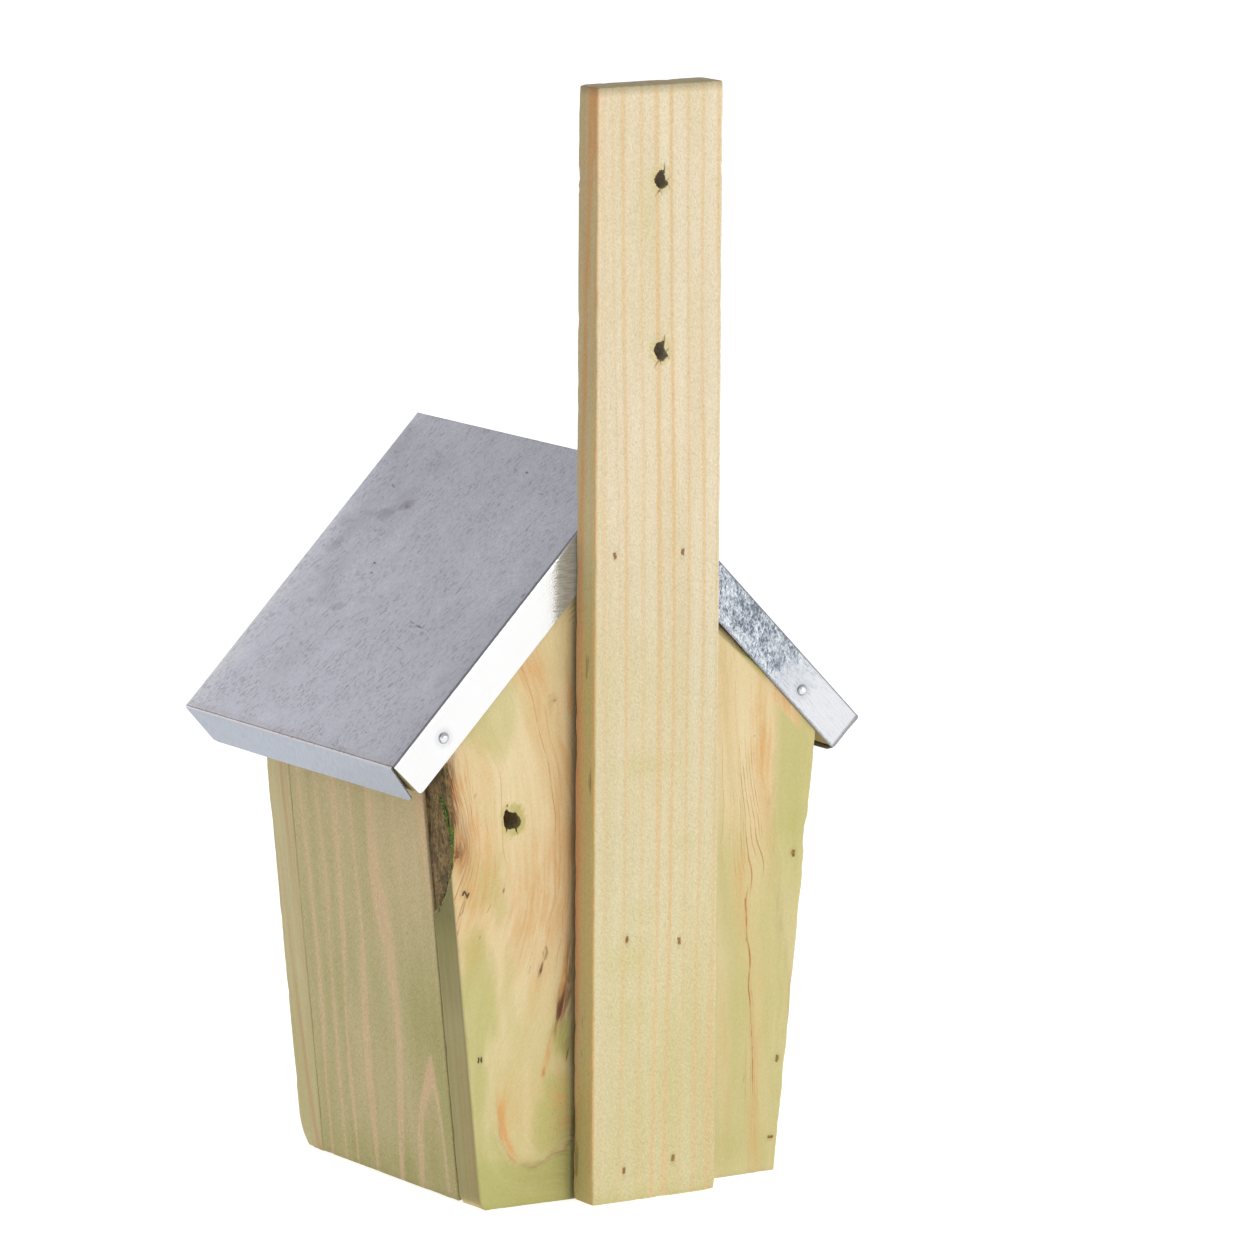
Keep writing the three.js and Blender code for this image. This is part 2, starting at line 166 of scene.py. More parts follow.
def grid_box(S, T, C):
    """The surface of a box as one welded grid: (n,3) local coordinates and quads."""
    ns, nt, nc = len(S), len(T), len(C)
    I, J, K = np.meshgrid(np.arange(ns), np.arange(nt), np.arange(nc), indexing="ij")
    on = (
        (I == 0) | (I == ns - 1) | (J == 0) | (J == nt - 1) | (K == 0) | (K == nc - 1)
    )
    idx = -np.ones((ns, nt, nc), int)
    idx[on] = np.arange(on.sum())
    co = np.stack([np.asarray(S)[I[on]], np.asarray(T)[J[on]], np.asarray(C)[K[on]]], 1)
    quads = []

    def sheet(a, flip):
        q = np.stack([a[:-1, :-1], a[1:, :-1], a[1:, 1:], a[:-1, 1:]], -1).reshape(-1, 4)
        quads.append(q[:, ::-1] if flip else q)

    sheet(idx[:, :, 0], True)
    sheet(idx[:, :, -1], False)
    sheet(idx[:, 0, :], False)
    sheet(idx[:, -1, :], True)
    sheet(idx[0, :, :], True)
    sheet(idx[-1, :, :], False)
    return co, np.concatenate(quads)


def spread(length, step, r, extra=(), fine=()):
    """Sample places along an edge: tight in the rounded ends, then about one step apart. fine = [(from, to, step)]."""
    xs = {0.0, 0.586 * r, r, length - r, length - 0.586 * r, length}
    n = max(2, int(round((length - 2 * r) / step)))
    xs |= set(np.linspace(r, length - r, n + 1).tolist())
    for a, b, st in fine:
        a, b = max(a, r), min(b, length - r)
        xs = {x for x in xs if not (a < x < b)}
        xs |= set(np.linspace(a, b, max(2, int(round((b - a) / st)) + 1)).tolist())
    xs |= set(extra)
    xs = sorted(xs)
    out = [xs[0]]
    for x in xs[1:]:
        if x - out[-1] > 1e-4:
            out.append(x)
    return np.array(out)


def rounded(co, L, r):
    """(rounded local coordinates, local normals) of box points."""
    L = np.asarray(L, float)
    q = np.clip(co, r, L - r)
    d = co - q
    n = np.linalg.norm(d, axis=1, keepdims=True)
    n[n < 1e-9] = 1
    nrm = d / n
    return q + r * nrm, nrm


def finish_mesh(obj, angle=48):
    mesh = obj.data
    mesh.polygons.foreach_set("use_smooth", [True] * len(mesh.polygons))
    mesh.set_sharp_from_angle(angle=math.radians(angle))
    mesh.update()


def points_of(obj):
    co = np.zeros(len(obj.data.vertices) * 3, np.float32)
    obj.data.vertices.foreach_get("co", co)
    return co.reshape(-1, 3).astype(float) / MM


def write_vec(obj, name, vec):
    a = obj.data.attributes.new(name, "FLOAT_VECTOR", "POINT")
    a.data.foreach_set("vector", np.ascontiguousarray(vec, np.float32).ravel())


def cut(obj, cutters):
    """Boolean difference with several (verts mm, faces) closed solids."""
    for k, (v, f) in enumerate(cutters):
        mesh = bpy.data.meshes.new("cutter")
        mesh.from_pydata((np.asarray(v, float) * MM).tolist(), [], [tuple(x) for x in orient(v, f)])
        mesh.update()
        c = bpy.data.objects.new("cutter", mesh)
        scene.collection.objects.link(c)
        mod = obj.modifiers.new("cut", "BOOLEAN")
        mod.operation = "DIFFERENCE"
        mod.solver = "EXACT"
        mod.object = c
        dg = bpy.context.evaluated_depsgraph_get()
        made = bpy.data.meshes.new_from_object(obj.evaluated_get(dg))
        obj.modifiers.remove(mod)
        old = obj.data
        obj.data = made
        made.name = obj.name
        bpy.data.meshes.remove(old)
        bpy.data.objects.remove(c)
        bpy.data.meshes.remove(mesh)


def loft(rings, axis=1, close=True):
    """Closed solid through rings of equal length. Each ring is (depth, [(u, v), ...]); u is x and v is z, depth runs along y (axis 1)
    or u is y and v is z, depth along x (axis 0)."""
    verts, faces = [], []
    n = len(rings[0][1])
    for d, pts in rings:
        for u, v in pts:
            verts.append((u, d, v) if axis == 1 else (d, u, v))
    for k in range(len(rings) - 1):
        for i in range(n):
            j = (i + 1) % n
            faces.append((k * n + i, k * n + j, (k + 1) * n + j, (k + 1) * n + i))
    for k in (0, len(rings) - 1):
        cu = float(np.mean([p[0] for p in rings[k][1]]))
        cv = float(np.mean([p[1] for p in rings[k][1]]))
        d = rings[k][0]
        verts.append((cu, d, cv) if axis == 1 else (d, cu, cv))
        c = len(verts) - 1
        for i in range(n):
            j = (i + 1) % n
            faces.append((k * n + i, k * n + j, c) if k else (k * n + j, k * n + i, c))
    return verts, faces


def resample(poly, n):
    """n points evenly along a closed outline, starting at its first point."""
    p = np.array(list(poly) + [poly[0]], float)
    seg = np.linalg.norm(np.diff(p, axis=0), axis=1)
    t = np.concatenate([[0], np.cumsum(seg)])
    s = np.linspace(0, t[-1], n, endpoint=False)
    return np.stack([np.interp(s, t, p[:, 0]), np.interp(s, t, p[:, 1])], 1)


def circle(cu, cv, r, n, like=None):
    """n points on a circle; like gives the angle of each."""
    if like is not None:
        a = np.arctan2(like[:, 1] - cv, like[:, 0] - cu)
    else:
        a = np.linspace(0, 2 * math.pi, n, endpoint=False)
    return np.stack([cu + r * np.cos(a), cv + r * np.sin(a)], 1)


def star(cu, cv, radius, n=24, rough=0.12, seed=1, stretch=(1, 1)):
    """Irregular closed outline round a point."""
    a = np.linspace(0, 2 * math.pi, n, endpoint=False)
    k = 1 + rough * vnoise(np.stack([np.cos(a) * 2.2 + seed, np.sin(a) * 2.2, a * 0 + seed * 3.7], 1) * 1.7, seed)
    return np.stack([cu + radius * stretch[0] * k * np.cos(a), cv + radius * stretch[1] * k * np.sin(a)], 1)


def pocket(cu, cv, w, h, face, depth, seed=1, rough=0.18, n=16, spin=0.0):
    """Small ragged pocket sunk into a face at y = face (depth towards -y if positive)."""
    a = np.linspace(0, 2 * math.pi, n, endpoint=False)
    k = 1 + rough * vnoise(np.stack([np.cos(a) * 3 + seed, np.sin(a) * 3, a * 0 + seed * 1.3], 1), seed)
    # a squarish outline
    sq = 1 / np.maximum(np.abs(np.cos(a)), np.abs(np.sin(a))) ** 0.55
    u, v = w / 2 * sq * k * np.cos(a), h / 2 * sq * k * np.sin(a)
    c, s = math.cos(spin), math.sin(spin)
    pts = np.stack([cu + u * c - v * s, cv + u * s + v * c], 1)
    mid = np.array([cu, cv])
    deep = mid + (pts - mid) * 0.86
    out = 1.0 if depth > 0 else -1.0
    wide = mid + (pts - mid) * 1.12
    return loft([(face + out * 0.6, wide), (face + out * 0.02, wide), (face - depth * 0.45, pts), (face - depth, deep)])


# ------------------------------------------------------------------ marks on wood
def poly_sdf(u, v, lines):
    """Distance (mm) to the edge of the nearest drawn line, and that line's strength.
    Each line is [(u, v, half width, strength), ...]."""
    best = np.full(len(u), 1e3)
    amp = np.zeros(len(u))
    for line in lines:
        p = np.array(line, float)
        for a, b in zip(p[:-1], p[1:]):
            d = b[:2] - a[:2]
            k = float(d @ d) or 1e-9
            t = np.clip(((u - a[0]) * d[0] + (v - a[1]) * d[1]) / k, 0, 1)
            w = a[2] + (b[2] - a[2]) * t
            s = np.hypot(u - a[0] - t * d[0], v - a[1] - t * d[1]) - w
            near = s < best
            best = np.where(near, s, best)
            amp = np.where(near, a[3] + (b[3] - a[3]) * t, amp)
    return np.minimum(best, 30.0), amp


def blobs(u, v, items):
    """Sum of soft ellipses (u, v, ru, rv, strength, turn)."""
    out = np.zeros(len(u))
    for cu, cv, ru, rv, s, *turn in items:
        t = turn[0] if turn else 0.0
        du, dv = u - cu, v - cv
        a, b = du * math.cos(t) + dv * math.sin(t), -du * math.sin(t) + dv * math.cos(t)
        out += s * np.exp(-((a / ru) ** 2 + (b / rv) ** 2))
    return out


def area(u, v, pts):
    """Signed distance (mm) to a closed outline, negative inside."""
    ring = [(a, b, 0.0, 1.0) for a, b in pts] + [(pts[0][0], pts[0][1], 0.0, 1.0)]
    d, _ = poly_sdf(u, v, [ring])
    inside = np.zeros(len(u), bool)
    for (x0, y0), (x1, y1) in zip(pts, pts[1:] + pts[:1]):
        if y0 == y1:
            continue
        hit = (v > y0) != (v > y1)
        inside ^= hit & (u < (x1 - x0) * (v - y0) / (y1 - y0) + x0)
    return np.where(inside, -d, d)


def patch(u, v, pts, soft, rough=1.0, seed=0):
    """1 inside an outline and 0 outside, with a soft, wandering border drawn out along the grain."""
    n = fbm(np.stack([u / 5.0, v / 14.0, u * 0 + seed], 1), 3, 500 + seed)
    return smooth(soft, -soft, area(u, v, pts) + rough * 3.0 * n)


def rbf_field(points, values):
    """Smooth thin-plate surface through values at points: returns f(u, v)."""
    p = np.array(points, float) / 50.0
    n = len(p)
    d = np.linalg.norm(p[:, None] - p[None], axis=2)
    K = np.where(d > 0, d * d * np.log(np.maximum(d, 1e-9)), 0.0) + np.eye(n) * 1e-4
    P = np.concatenate([np.ones((n, 1)), p], 1)
    A = np.block([[K, P], [P.T, np.zeros((3, 3))]])
    w = np.linalg.solve(A, np.concatenate([values, np.zeros(3)]))

    def f(u, v):
        q = np.stack([u, v], 1) / 50.0
        out = w[n] + q @ w[n + 1 :]
        for i in range(n):
            r = np.hypot(q[:, 0] - p[i, 0], q[:, 1] - p[i, 1])
            out = out + w[i] * np.where(r > 0, r * r * np.log(np.maximum(r, 1e-9)), 0.0)
        return out

    return f


def rings_sdf(rho, spacing, half, seed=0):
    """Distance to the edge of the nearest of evenly spaced growth rings, jittered ring by ring."""
    k = rho / spacing
    k = k + 0.22 * vnoise(np.stack([k * 0.55, k * 0 + seed, k * 0], 1), seed)
    f = np.abs(k - np.round(k))
    amp = 0.65 + 0.35 * vnoise(np.stack([np.round(k) * 1.7, k * 0 + seed + 5, k * 0], 1), seed + 9)
    return f * spacing - half, np.clip(amp, 0.15, 1)


# ------------------------------------------------------------------ node helpers
class Nodes:
    def __init__(self, name):
        self.mat = bpy.data.materials.new(name)
        self.mat.use_nodes = True
        self.tree = self.mat.node_tree
        self.tree.nodes.clear()
        self.out = self.tree.nodes.new("ShaderNodeOutputMaterial")
        self.bsdf = self.tree.nodes.new("ShaderNodeBsdfPrincipled")
        self.tree.links.new(self.bsdf.outputs[0], self.out.inputs["Surface"])

    def put(self, socket, value):
        if isinstance(value, bpy.types.NodeSocket):
            self.tree.links.new(value, socket)
        elif value is not None:
            if hasattr(socket.default_value, "__len__"):
                value = tuple(value)
                socket.default_value = value if len(socket.default_value) == len(value) else value + (1.0,)
            else:
                socket.default_value = value

    def new(self, kind, **props):
        n = self.tree.nodes.new(kind)
        for k, v in props.items():
            setattr(n, k, v)
        return n

    def attr(self, name):
        n = self.new("ShaderNodeAttribute", attribute_name=name)
        return n.outputs["Vector"]

    def xyz(self, vec):
        n = self.new("ShaderNodeSeparateXYZ")
        self.put(n.inputs[0], vec)
        return n.outputs[0], n.outputs[1], n.outputs[2]

    def vec(self, x, y, z):
        n = self.new("ShaderNodeCombineXYZ")
        for i, v in enumerate((x, y, z)):
            self.put(n.inputs[i], v)
        return n.outputs[0]

    def math(self, op, a, b=None, c=None, clamp=False):
        n = self.new("ShaderNodeMath", operation=op, use_clamp=clamp)
        for i, v in enumerate((a, b, c)):
            if v is not None:
                self.put(n.inputs[i], v)
        return n.outputs[0]

    def add(self, a, b):
        return self.math("ADD", a, b)

    def sub(self, a, b):
        return self.math("SUBTRACT", a, b)

    def mul(self, a, b):
        return self.math("MULTIPLY", a, b)

    def step(self, x, lo, hi, a=0.0, b=1.0):
        n = self.new("ShaderNodeMapRange", interpolation_type="SMOOTHSTEP", clamp=True)
        for k, v in zip(("Value", "From Min", "From Max", "To Min", "To Max"), (x, lo, hi, a, b)):
            self.put(n.inputs[k], v)
        return n.outputs[0]

    def lin(self, x, lo, hi, a=0.0, b=1.0):
        n = self.new("ShaderNodeMapRange", interpolation_type="LINEAR", clamp=True)
        for k, v in zip(("Value", "From Min", "From Max", "To Min", "To Max"), (x, lo, hi, a, b)):
            self.put(n.inputs[k], v)
        return n.outputs[0]

    def noise(self, vec, scale=1.0, detail=2.0, rough=0.5, distortion=0.0):
        n = self.new("ShaderNodeTexNoise", noise_dimensions="3D")
        self.put(n.inputs["Vector"], vec)
        self.put(n.inputs["Scale"], scale)
        self.put(n.inputs["Detail"], detail)
        self.put(n.inputs["Roughness"], rough)
        self.put(n.inputs["Distortion"], distortion)
        return n.outputs[0]

    def voronoi(self, vec, scale=1.0, feature="F1", randomness=1.0):
        n = self.new("ShaderNodeTexVoronoi", feature=feature)
        self.put(n.inputs["Vector"], vec)
        self.put(n.inputs["Scale"], scale)
        self.put(n.inputs["Randomness"], randomness)
        return n

    def mix(self, fac, a, b, blend="MIX"):
        n = self.new("ShaderNodeMix", data_type="RGBA", blend_type=blend, clamp_factor=True)
        self.put(n.inputs[0], fac)
        self.put(n.inputs[6], a)
        self.put(n.inputs[7], b)
        return n.outputs[2]

    def object_mm(self):
        """Object coordinates in mm: fixed to the piece at every pose."""
        n = self.new("ShaderNodeTexCoord")
        v = self.new("ShaderNodeVectorMath", operation="SCALE")
        self.put(v.inputs[0], n.outputs["Object"])
        self.put(v.inputs["Scale"], 1000.0)
        return v.outputs[0]

    def scaled(self, vec, x, y, z, rot=None):
        n = self.new("ShaderNodeMapping", vector_type="POINT")
        self.put(n.inputs["Vector"], vec)
        n.inputs["Scale"].default_value = (x, y, z)
        if rot:
            n.inputs["Rotation"].default_value = rot
        return n.outputs[0]

    def turned(self, vec, rot, x, y, z):
        n = self.new("ShaderNodeMapping", vector_type="POINT")
        self.put(n.inputs["Vector"], vec)
        n.inputs["Rotation"].default_value = rot
        return self.scaled(n.outputs[0], x, y, z)

    def bump(self, height, strength, distance, normal=None):
        n = self.new("ShaderNodeBump")
        self.put(n.inputs["Strength"], strength)
        self.put(n.inputs["Distance"], distance)
        self.put(n.inputs["Height"], height)
        if normal is not None:
            self.put(n.inputs["Normal"], normal)
        return n.outputs[0]


def lin(r, g, b):
    """sRGB 0-255 to linear."""
    out = []
    for c in (r, g, b):
        c /= 255.0
        out.append(c / 12.92 if c <= 0.04045 else ((c + 0.055) / 1.055) ** 2.4)
    return tuple(out)


def wood_material(
    name,
    pale,
    warm,
    late,
    seed=0.0,
    stripe=0.8,
    soft=0.45,
    fine=0.35,
    fine_scale=0.9,
    fine_color=None,
    fuzz=1.0,
    green=(0.60, 0.64, 0.26),
    pink=(0.80, 0.45, 0.30),
    brown=(0.16, 0.075, 0.035),
    shade=1.0,
    edge_shade_tint=(0.60, 0.56, 0.48),
    hair=0.5,
    glow=0.28,
    drawn=(),
    line_color=None,
    mark=None,
    resist=0.30,
):
    """Sawn softwood. Its rings, fine grain lines and stains follow the attributes that dress() writes."""
    g = Nodes(name)
    sdf, amp, X = g.xyz(g.attr("wa"))
    psi, D, edge = g.xyz(g.attr("wb"))
    mg, mp, mb = g.xyz(g.attr("wm"))
    sdf2, amp2, fine_here = g.xyz(g.attr("wd"))
    bark, moss, dirt_and_shade = g.xyz(g.attr("wn"))
    P = g.object_mm()

    # places along and across the grain
    along = g.vec(X, g.mul(psi, 0.045), g.mul(D, 0.8))
    fibre_at = g.vec(g.mul(X, 3.2), g.mul(psi, 0.16), g.mul(D, 2.0))
    wob = g.noise(g.vec(g.mul(X, 0.6), g.mul(psi, 0.07), g.add(D, seed)), 1.0, 3.0, 0.6)
    wobble = g.mul(g.sub(wob, 0.5), 1.1)
    fibres = g.noise(fibre_at, 1.0, 3.0, 0.62)
    broad = g.noise(g.scaled(P, 0.022, 0.022, 0.011), 1.0, 2.0, 0.5)
    broad2 = g.noise(g.vec(g.mul(X, 0.10), g.mul(psi, 0.008), g.add(D, seed + 9.0)), 1.0, 2.0, 0.55)
    speck = g.noise(g.scaled(P, 0.85, 0.85, 0.55, (0.5, 0.55, 0.35)), 1.0, 3.0, 0.62)
    speck_fine = g.noise(g.turned(P, (0.35, -0.42, 0.0), 2.9, 2.9, 1.25), 1.0, 3.0, 0.7)
    hairs = g.noise(g.turned(P, (0.40, -0.45, 0.2), 2.4, 2.4, 0.34), 1.0, 3.0, 0.66)

    c = g.mix(g.step(broad2, 0.36, 0.64), pale, warm)
    # green of the wood treatment: the rings take it up less than the soft wood between them
    gn = g.mul(mg, g.add(0.80, g.mul(g.step(g.add(g.mul(fibres, 0.5), g.mul(broad2, 0.5)), 0.35, 0.65), 0.38)))
    gn = g.math("MULTIPLY", gn, 1.0, clamp=True)
    c = g.mix(gn, c, green)
    # the wide growth rings
    s = g.add(sdf, wobble)
    ring = g.mul(g.step(s, soft, -soft), amp)
    ring_glow = g.mul(g.step(s, soft + 1.6, -soft), g.mul(amp, glow))
    late_here = g.mix(g.step(fibres, 0.35, 0.7), late, tuple(x * 0.93 for x in late))
    c = g.mix(g.mul(ring_glow, stripe), c, late_here)
    c = g.mix(g.mul(ring, stripe), c, late_here)
    # fine lines between them, broken along their length
    fl = g.noise(g.vec(g.mul(X, fine_scale), g.mul(psi, 0.012), g.add(g.mul(D, 0.35), seed + 3.0)), 1.0, 3.0, 0.72)
    brk = g.noise(g.vec(g.mul(X, 0.5), g.mul(psi, 0.06), g.add(D, seed + 31.0)), 1.0, 2.0, 0.6)
    brk2 = g.noise(g.vec(g.mul(X, 1.1), g.mul(psi, 0.10), g.add(D, seed + 57.0)), 1.0, 2.0, 0.55)
    lines = g.mul(g.step(fl, 0.54, 0.66), g.mul(g.step(brk, 0.38, 0.62), g.add(0.30, g.mul(g.step(brk2, 0.40, 0.56), 0.75))))
    fc = fine_color or tuple(x * y for x, y in zip(late, (0.93, 0.84, 0.72)))
    c = g.mix(g.math("MULTIPLY", g.mul(lines, fine_here), fine, clamp=True), c, fc)
    # single grain lines, each along one value of the grain coordinate
    for xc, z0, z1, half, k in drawn:
        off = g.math("ABSOLUTE", g.add(g.sub(X, xc), g.mul(g.sub(wob, 0.5), 0.6)))
        on = g.mul(g.step(off, half + 0.24, half - 0.12), g.mul(g.step(psi, z0 - 5.0, z0 + 4.0), g.step(psi, z1 + 5.0, z1 - 4.0)))
        on = g.mul(on, g.add(0.22, g.mul(g.step(brk2, 0.40, 0.56), 0.85)))
        c = g.mix(g.math("MULTIPLY", on, k, clamp=True), c, line_color or fc)
    c = g.mix(g.mul(gn, resist), c, green)
    # stains
    pn = g.mul(mp, g.add(0.30, g.mul(g.step(g.add(g.mul(fibres, 0.4), g.mul(wob, 0.6)), 0.38, 0.62), 0.95)))
    c = g.mix(g.math("MULTIPLY", pn, 1.0, clamp=True), c, pink)
    bn = g.mul(mb, g.add(0.35, g.mul(g.step(fibres, 0.35, 0.62), 0.95)))
    c = g.mix(g.math("MULTIPLY", bn, 1.0, clamp=True), c, brown)
    bare = g.math("MULTIPLY", mb, -1.0, clamp=True)
    c = g.mix(bare, c, tuple(min(1.0, x * 1.12) for x in pale))
    dm = g.mul(g.step(g.add(sdf2, g.mul(g.sub(fibres, 0.5), 0.9)), 0.28, -0.22), amp2)
    c = g.mix(dm, c, mark or tuple(x * 0.8 for x in brown))
    # a peppering of dark spots, asked for by a low bark value
    pepper = g.mul(g.step(bark, 0.02, 0.15), g.step(bark, 0.30, 0.22))
    spots = g.noise(g.scaled(P, 1.15, 1.15, 0.95), 1.0, 2.0, 0.5)
    c = g.mix(g.mul(g.mul(pepper, g.step(spots, 0.655, 0.70)), 0.60), c, (0.10, 0.055, 0.022))
    # sawn fuzz: pale and dark flecks with a hint of green
    fz = g.mul(g.sub(speck, 0.5), 0.14 * fuzz)
    fz = g.add(fz, g.mul(g.sub(speck_fine, 0.5), 0.50 * fuzz))
    fz = g.add(fz, g.mul(g.sub(hairs, 0.5), hair * fuzz))
    fz = g.add(fz, g.mul(g.sub(fibres, 0.5), 0.26))
    fz = g.add(fz, g.mul(g.sub(broad, 0.5), 0.12))
    k = g.add(1.0, fz)
    tint = g.vec(k, g.add(1.0, g.mul(fz, 0.9)), g.add(1.0, g.mul(fz, 1.25)))
    c = g.mix(1.0, c, tint, "MULTIPLY")
    c = g.mix(g.mul(g.step(g.add(g.mul(hairs, 0.7), g.mul(speck_fine, 0.3)), 0.44, 0.35), 0.26 * fuzz * hair), c, tuple(x * 0.75 for x in green))
    # painted shade: side faces that take less light, and the wood beside joints, are darkened through the edge value;
    # the darkening value then adds real grime and painted shade in holes, pockets and joints
    c = g.mix(edge, c, edge_shade_tint, "MULTIPLY")
    c = g.mix(g.math("MULTIPLY", dirt_and_shade, g.add(0.55, g.mul(speck, 0.7)), clamp=True), c, (0.045, 0.032, 0.02))
    if shade != 1.0:
        c = g.mix(1.0, c, (shade, shade, shade), "MULTIPLY")
    # bark on a waney edge, and moss on the bark
    bk_n = g.noise(g.scaled(P, 0.55, 0.30, 0.16), 1.0, 4.0, 0.65)
    bk_f = g.noise(g.scaled(P, 1.8, 1.2, 0.7), 1.0, 3.0, 0.6)
    bcol = g.mix(g.step(bk_n, 0.38, 0.62), lin(96, 78, 50), lin(140, 116, 74))
    bcol = g.mix(g.mul(g.step(bk_n, 0.60, 0.74), 0.7), bcol, lin(124, 98, 88))
    bcol = g.mix(g.mul(g.step(bk_f, 0.56, 0.36), 0.75), bcol, lin(62, 52, 36))
    c = g.mix(g.step(g.add(bark, g.mul(g.sub(bk_f, 0.5), 0.35)), 0.4, 0.6), c, bcol)
    ms_n = g.noise(g.scaled(P, 2.4, 2.4, 2.4), 1.0, 3.0, 0.7)
    mcol = g.mix(g.step(ms_n, 0.35, 0.65), lin(60, 74, 26), lin(108, 124, 50))
    ms = g.step(g.add(moss, g.mul(g.sub(ms_n, 0.5), 0.7)), 0.42, 0.58)
    c = g.mix(ms, c, mcol)

    g.put(g.bsdf.inputs["Base Color"], c)
    rough = g.add(0.74, g.mul(speck, 0.2))
    rough = g.sub(rough, g.mul(ring, 0.05))
    g.put(g.bsdf.inputs["Roughness"], rough)
    g.bsdf.inputs["IOR"].default_value = 1.45
    g.bsdf.inputs["Specular IOR Level"].default_value = 0.32
    h = g.add(g.mul(fibres, 0.55), g.mul(speck, 0.40 * fuzz))
    h = g.add(h, g.mul(speck_fine, 0.45 * fuzz))
    h = g.add(h, g.mul(hairs, 0.5 * fuzz))
    h = g.add(h, g.mul(lines, -0.12))
    h = g.add(h, g.mul(dm, -0.7))
    h = g.add(h, g.mul(bark, g.mul(bk_f, 2.2)))
    h = g.add(h, g.mul(ms, g.mul(ms_n, 2.0)))
    g.put(g.bsdf.inputs["Normal"], g.bump(h, 0.55, 0.00035))
    return g.mat


def dress(obj, mat, sdf=None, amp=None, X=None, psi=None, D=None, edge=None, green=None, pink=None,
          brown=None, sdf2=None, amp2=None, bark=None, moss=None, dirt_and_shade=None):
    n = len(obj.data.vertices)
    z = np.zeros(n)

    def val(a, d=0.0):
        return np.full(n, d) if a is None else np.broadcast_to(np.asarray(a, float), (n,))

    write_vec(obj, "wa", np.stack([val(sdf, 9.0), val(amp), val(X)], 1))
    write_vec(obj, "wb", np.stack([val(psi), val(D), val(edge)], 1))
    write_vec(obj, "wm", np.stack([val(green), val(pink), val(brown)], 1))
    write_vec(obj, "wd", np.stack([val(sdf2, 9.0), val(amp2), z + 1.0], 1))
    write_vec(obj, "wn", np.stack([val(bark), val(moss), val(dirt_and_shade)], 1))
    obj.data.materials.clear()
    obj.data.materials.append(mat)
    finish_mesh(obj)


# ------------------------------------------------------------------ finishes
# Colours are linear. The gables are one sawn board each, the door and the side are greener, the strip is the freshest.
BATTEN_WOOD = wood_material(
    "strip_pine", lin(218, 205, 176), lin(215, 199, 167), lin(215, 185, 138), seed=1.0,
    stripe=0.86, soft=0.42, fine=0.18, fine_scale=0.55, fuzz=0.86, green=lin(190, 183, 118),
    pink=lin(222, 174, 122), edge_shade_tint=(0.64, 0.575, 0.475), hair=0.72, glow=0.22, resist=0.16,
)
BACK_WOOD = wood_material(
    "back_pine", lin(222, 205, 163), lin(215, 194, 147), lin(190, 138, 86), seed=4.0,
    stripe=0.80, soft=0.26, fine=0.60, fine_scale=1.15, fuzz=0.6, green=lin(181, 177, 110),
    pink=lin(210, 158, 98), brown=(0.165, 0.066, 0.025), mark=(0.115, 0.040, 0.018), fine_color=lin(186, 128, 74), edge_shade_tint=(0.56, 0.57, 0.55),
    hair=0.35, glow=0.20, resist=0.25, line_color=lin(174, 112, 60),
    drawn=[
        # fixed side: the long dark line and its companions
        (60.0, 30, 98, 0.20, 0.95), (60.0, 8, 190, 0.12, 0.32), (60.9, 22, 66, 0.10, 0.40), (59.1, 20, 52, 0.10, 0.32), (61.8, 24, 48, 0.08, 0.32), (70.0, 100, 178, 0.10, 0.22),
        (57.0, 24, 44, 0.10, 0.35),
        # door side: lines that sweep round the waney corner and run down into the foot
        (68.5, 116, 150, 0.12, 0.90), (66.8, 118, 146, 0.10, 0.76), (65.0, 106, 152, 0.12, 0.90), (63.0, 112, 146, 0.10, 0.70), (61.0, 100, 150, 0.12, 0.80),
        (59.0, 106, 140, 0.10, 0.52), (57.4, 104, 140, 0.10, 0.34), (55.7, 96, 138, 0.12, 0.34), (53.8, 108, 134, 0.10, 0.26), (50.0, 112, 152, 0.10, 0.48),
        (39.6, 84, 106, 0.08, 0.24), (37.5, 84, 112, 0.10, 0.26), (33.5, 78, 118, 0.10, 0.28), (31.5, 80, 124, 0.08, 0.26),
        (29.0, 92, 186, 0.14, 0.62), (27.4, 104, 150, 0.10, 0.34), (25.6, 108, 172, 0.12, 0.34), (24.2, 76, 110, 0.12, 0.34),
    ],
)
FRONT_WOOD = wood_material(
    "front_pine", lin(210, 196, 154), lin(204, 186, 142), lin(200, 160, 120), seed=11.0,
    stripe=0.8, soft=0.5, fine=0.5, fine_scale=0.9, fuzz=0.7, green=lin(180, 175, 120),
    pink=lin(212, 172, 138), fine_color=lin(190, 148, 104), edge_shade_tint=(0.77, 0.79, 0.775), hair=0.4,
)
DOOR_WOOD = wood_material(
    "door_pine", lin(194, 178, 140), lin(190, 174, 135), lin(203, 175, 138), seed=7.0,
    stripe=0.88, soft=0.42, fine=0.34, fine_scale=0.7, fuzz=1.6, green=lin(161, 154, 102),
    pink=lin(200, 168, 132), fine_color=lin(180, 154, 110), hair=0.5, glow=0.22, resist=0.15,
)
SIDE_WOOD = wood_material(
    "side_pine", lin(196, 184, 142), lin(188, 176, 132), lin(206, 172, 138), seed=15.0,
    stripe=0.9, soft=0.4, fine=0.34, fine_scale=0.75, fuzz=0.7, green=lin(166, 162, 110),
    pink=lin(204, 164, 132), fine_color=lin(182, 154, 108), hair=0.45,
)
ROOF_WOOD = wood_material(
    "roof_board_pine", lin(196, 178, 126), lin(180, 160, 108), lin(164, 126, 84), seed=21.0,
    stripe=0.7, soft=0.5, fine=0.5, fine_scale=0.8, fuzz=0.8, green=lin(140, 142, 84),
)
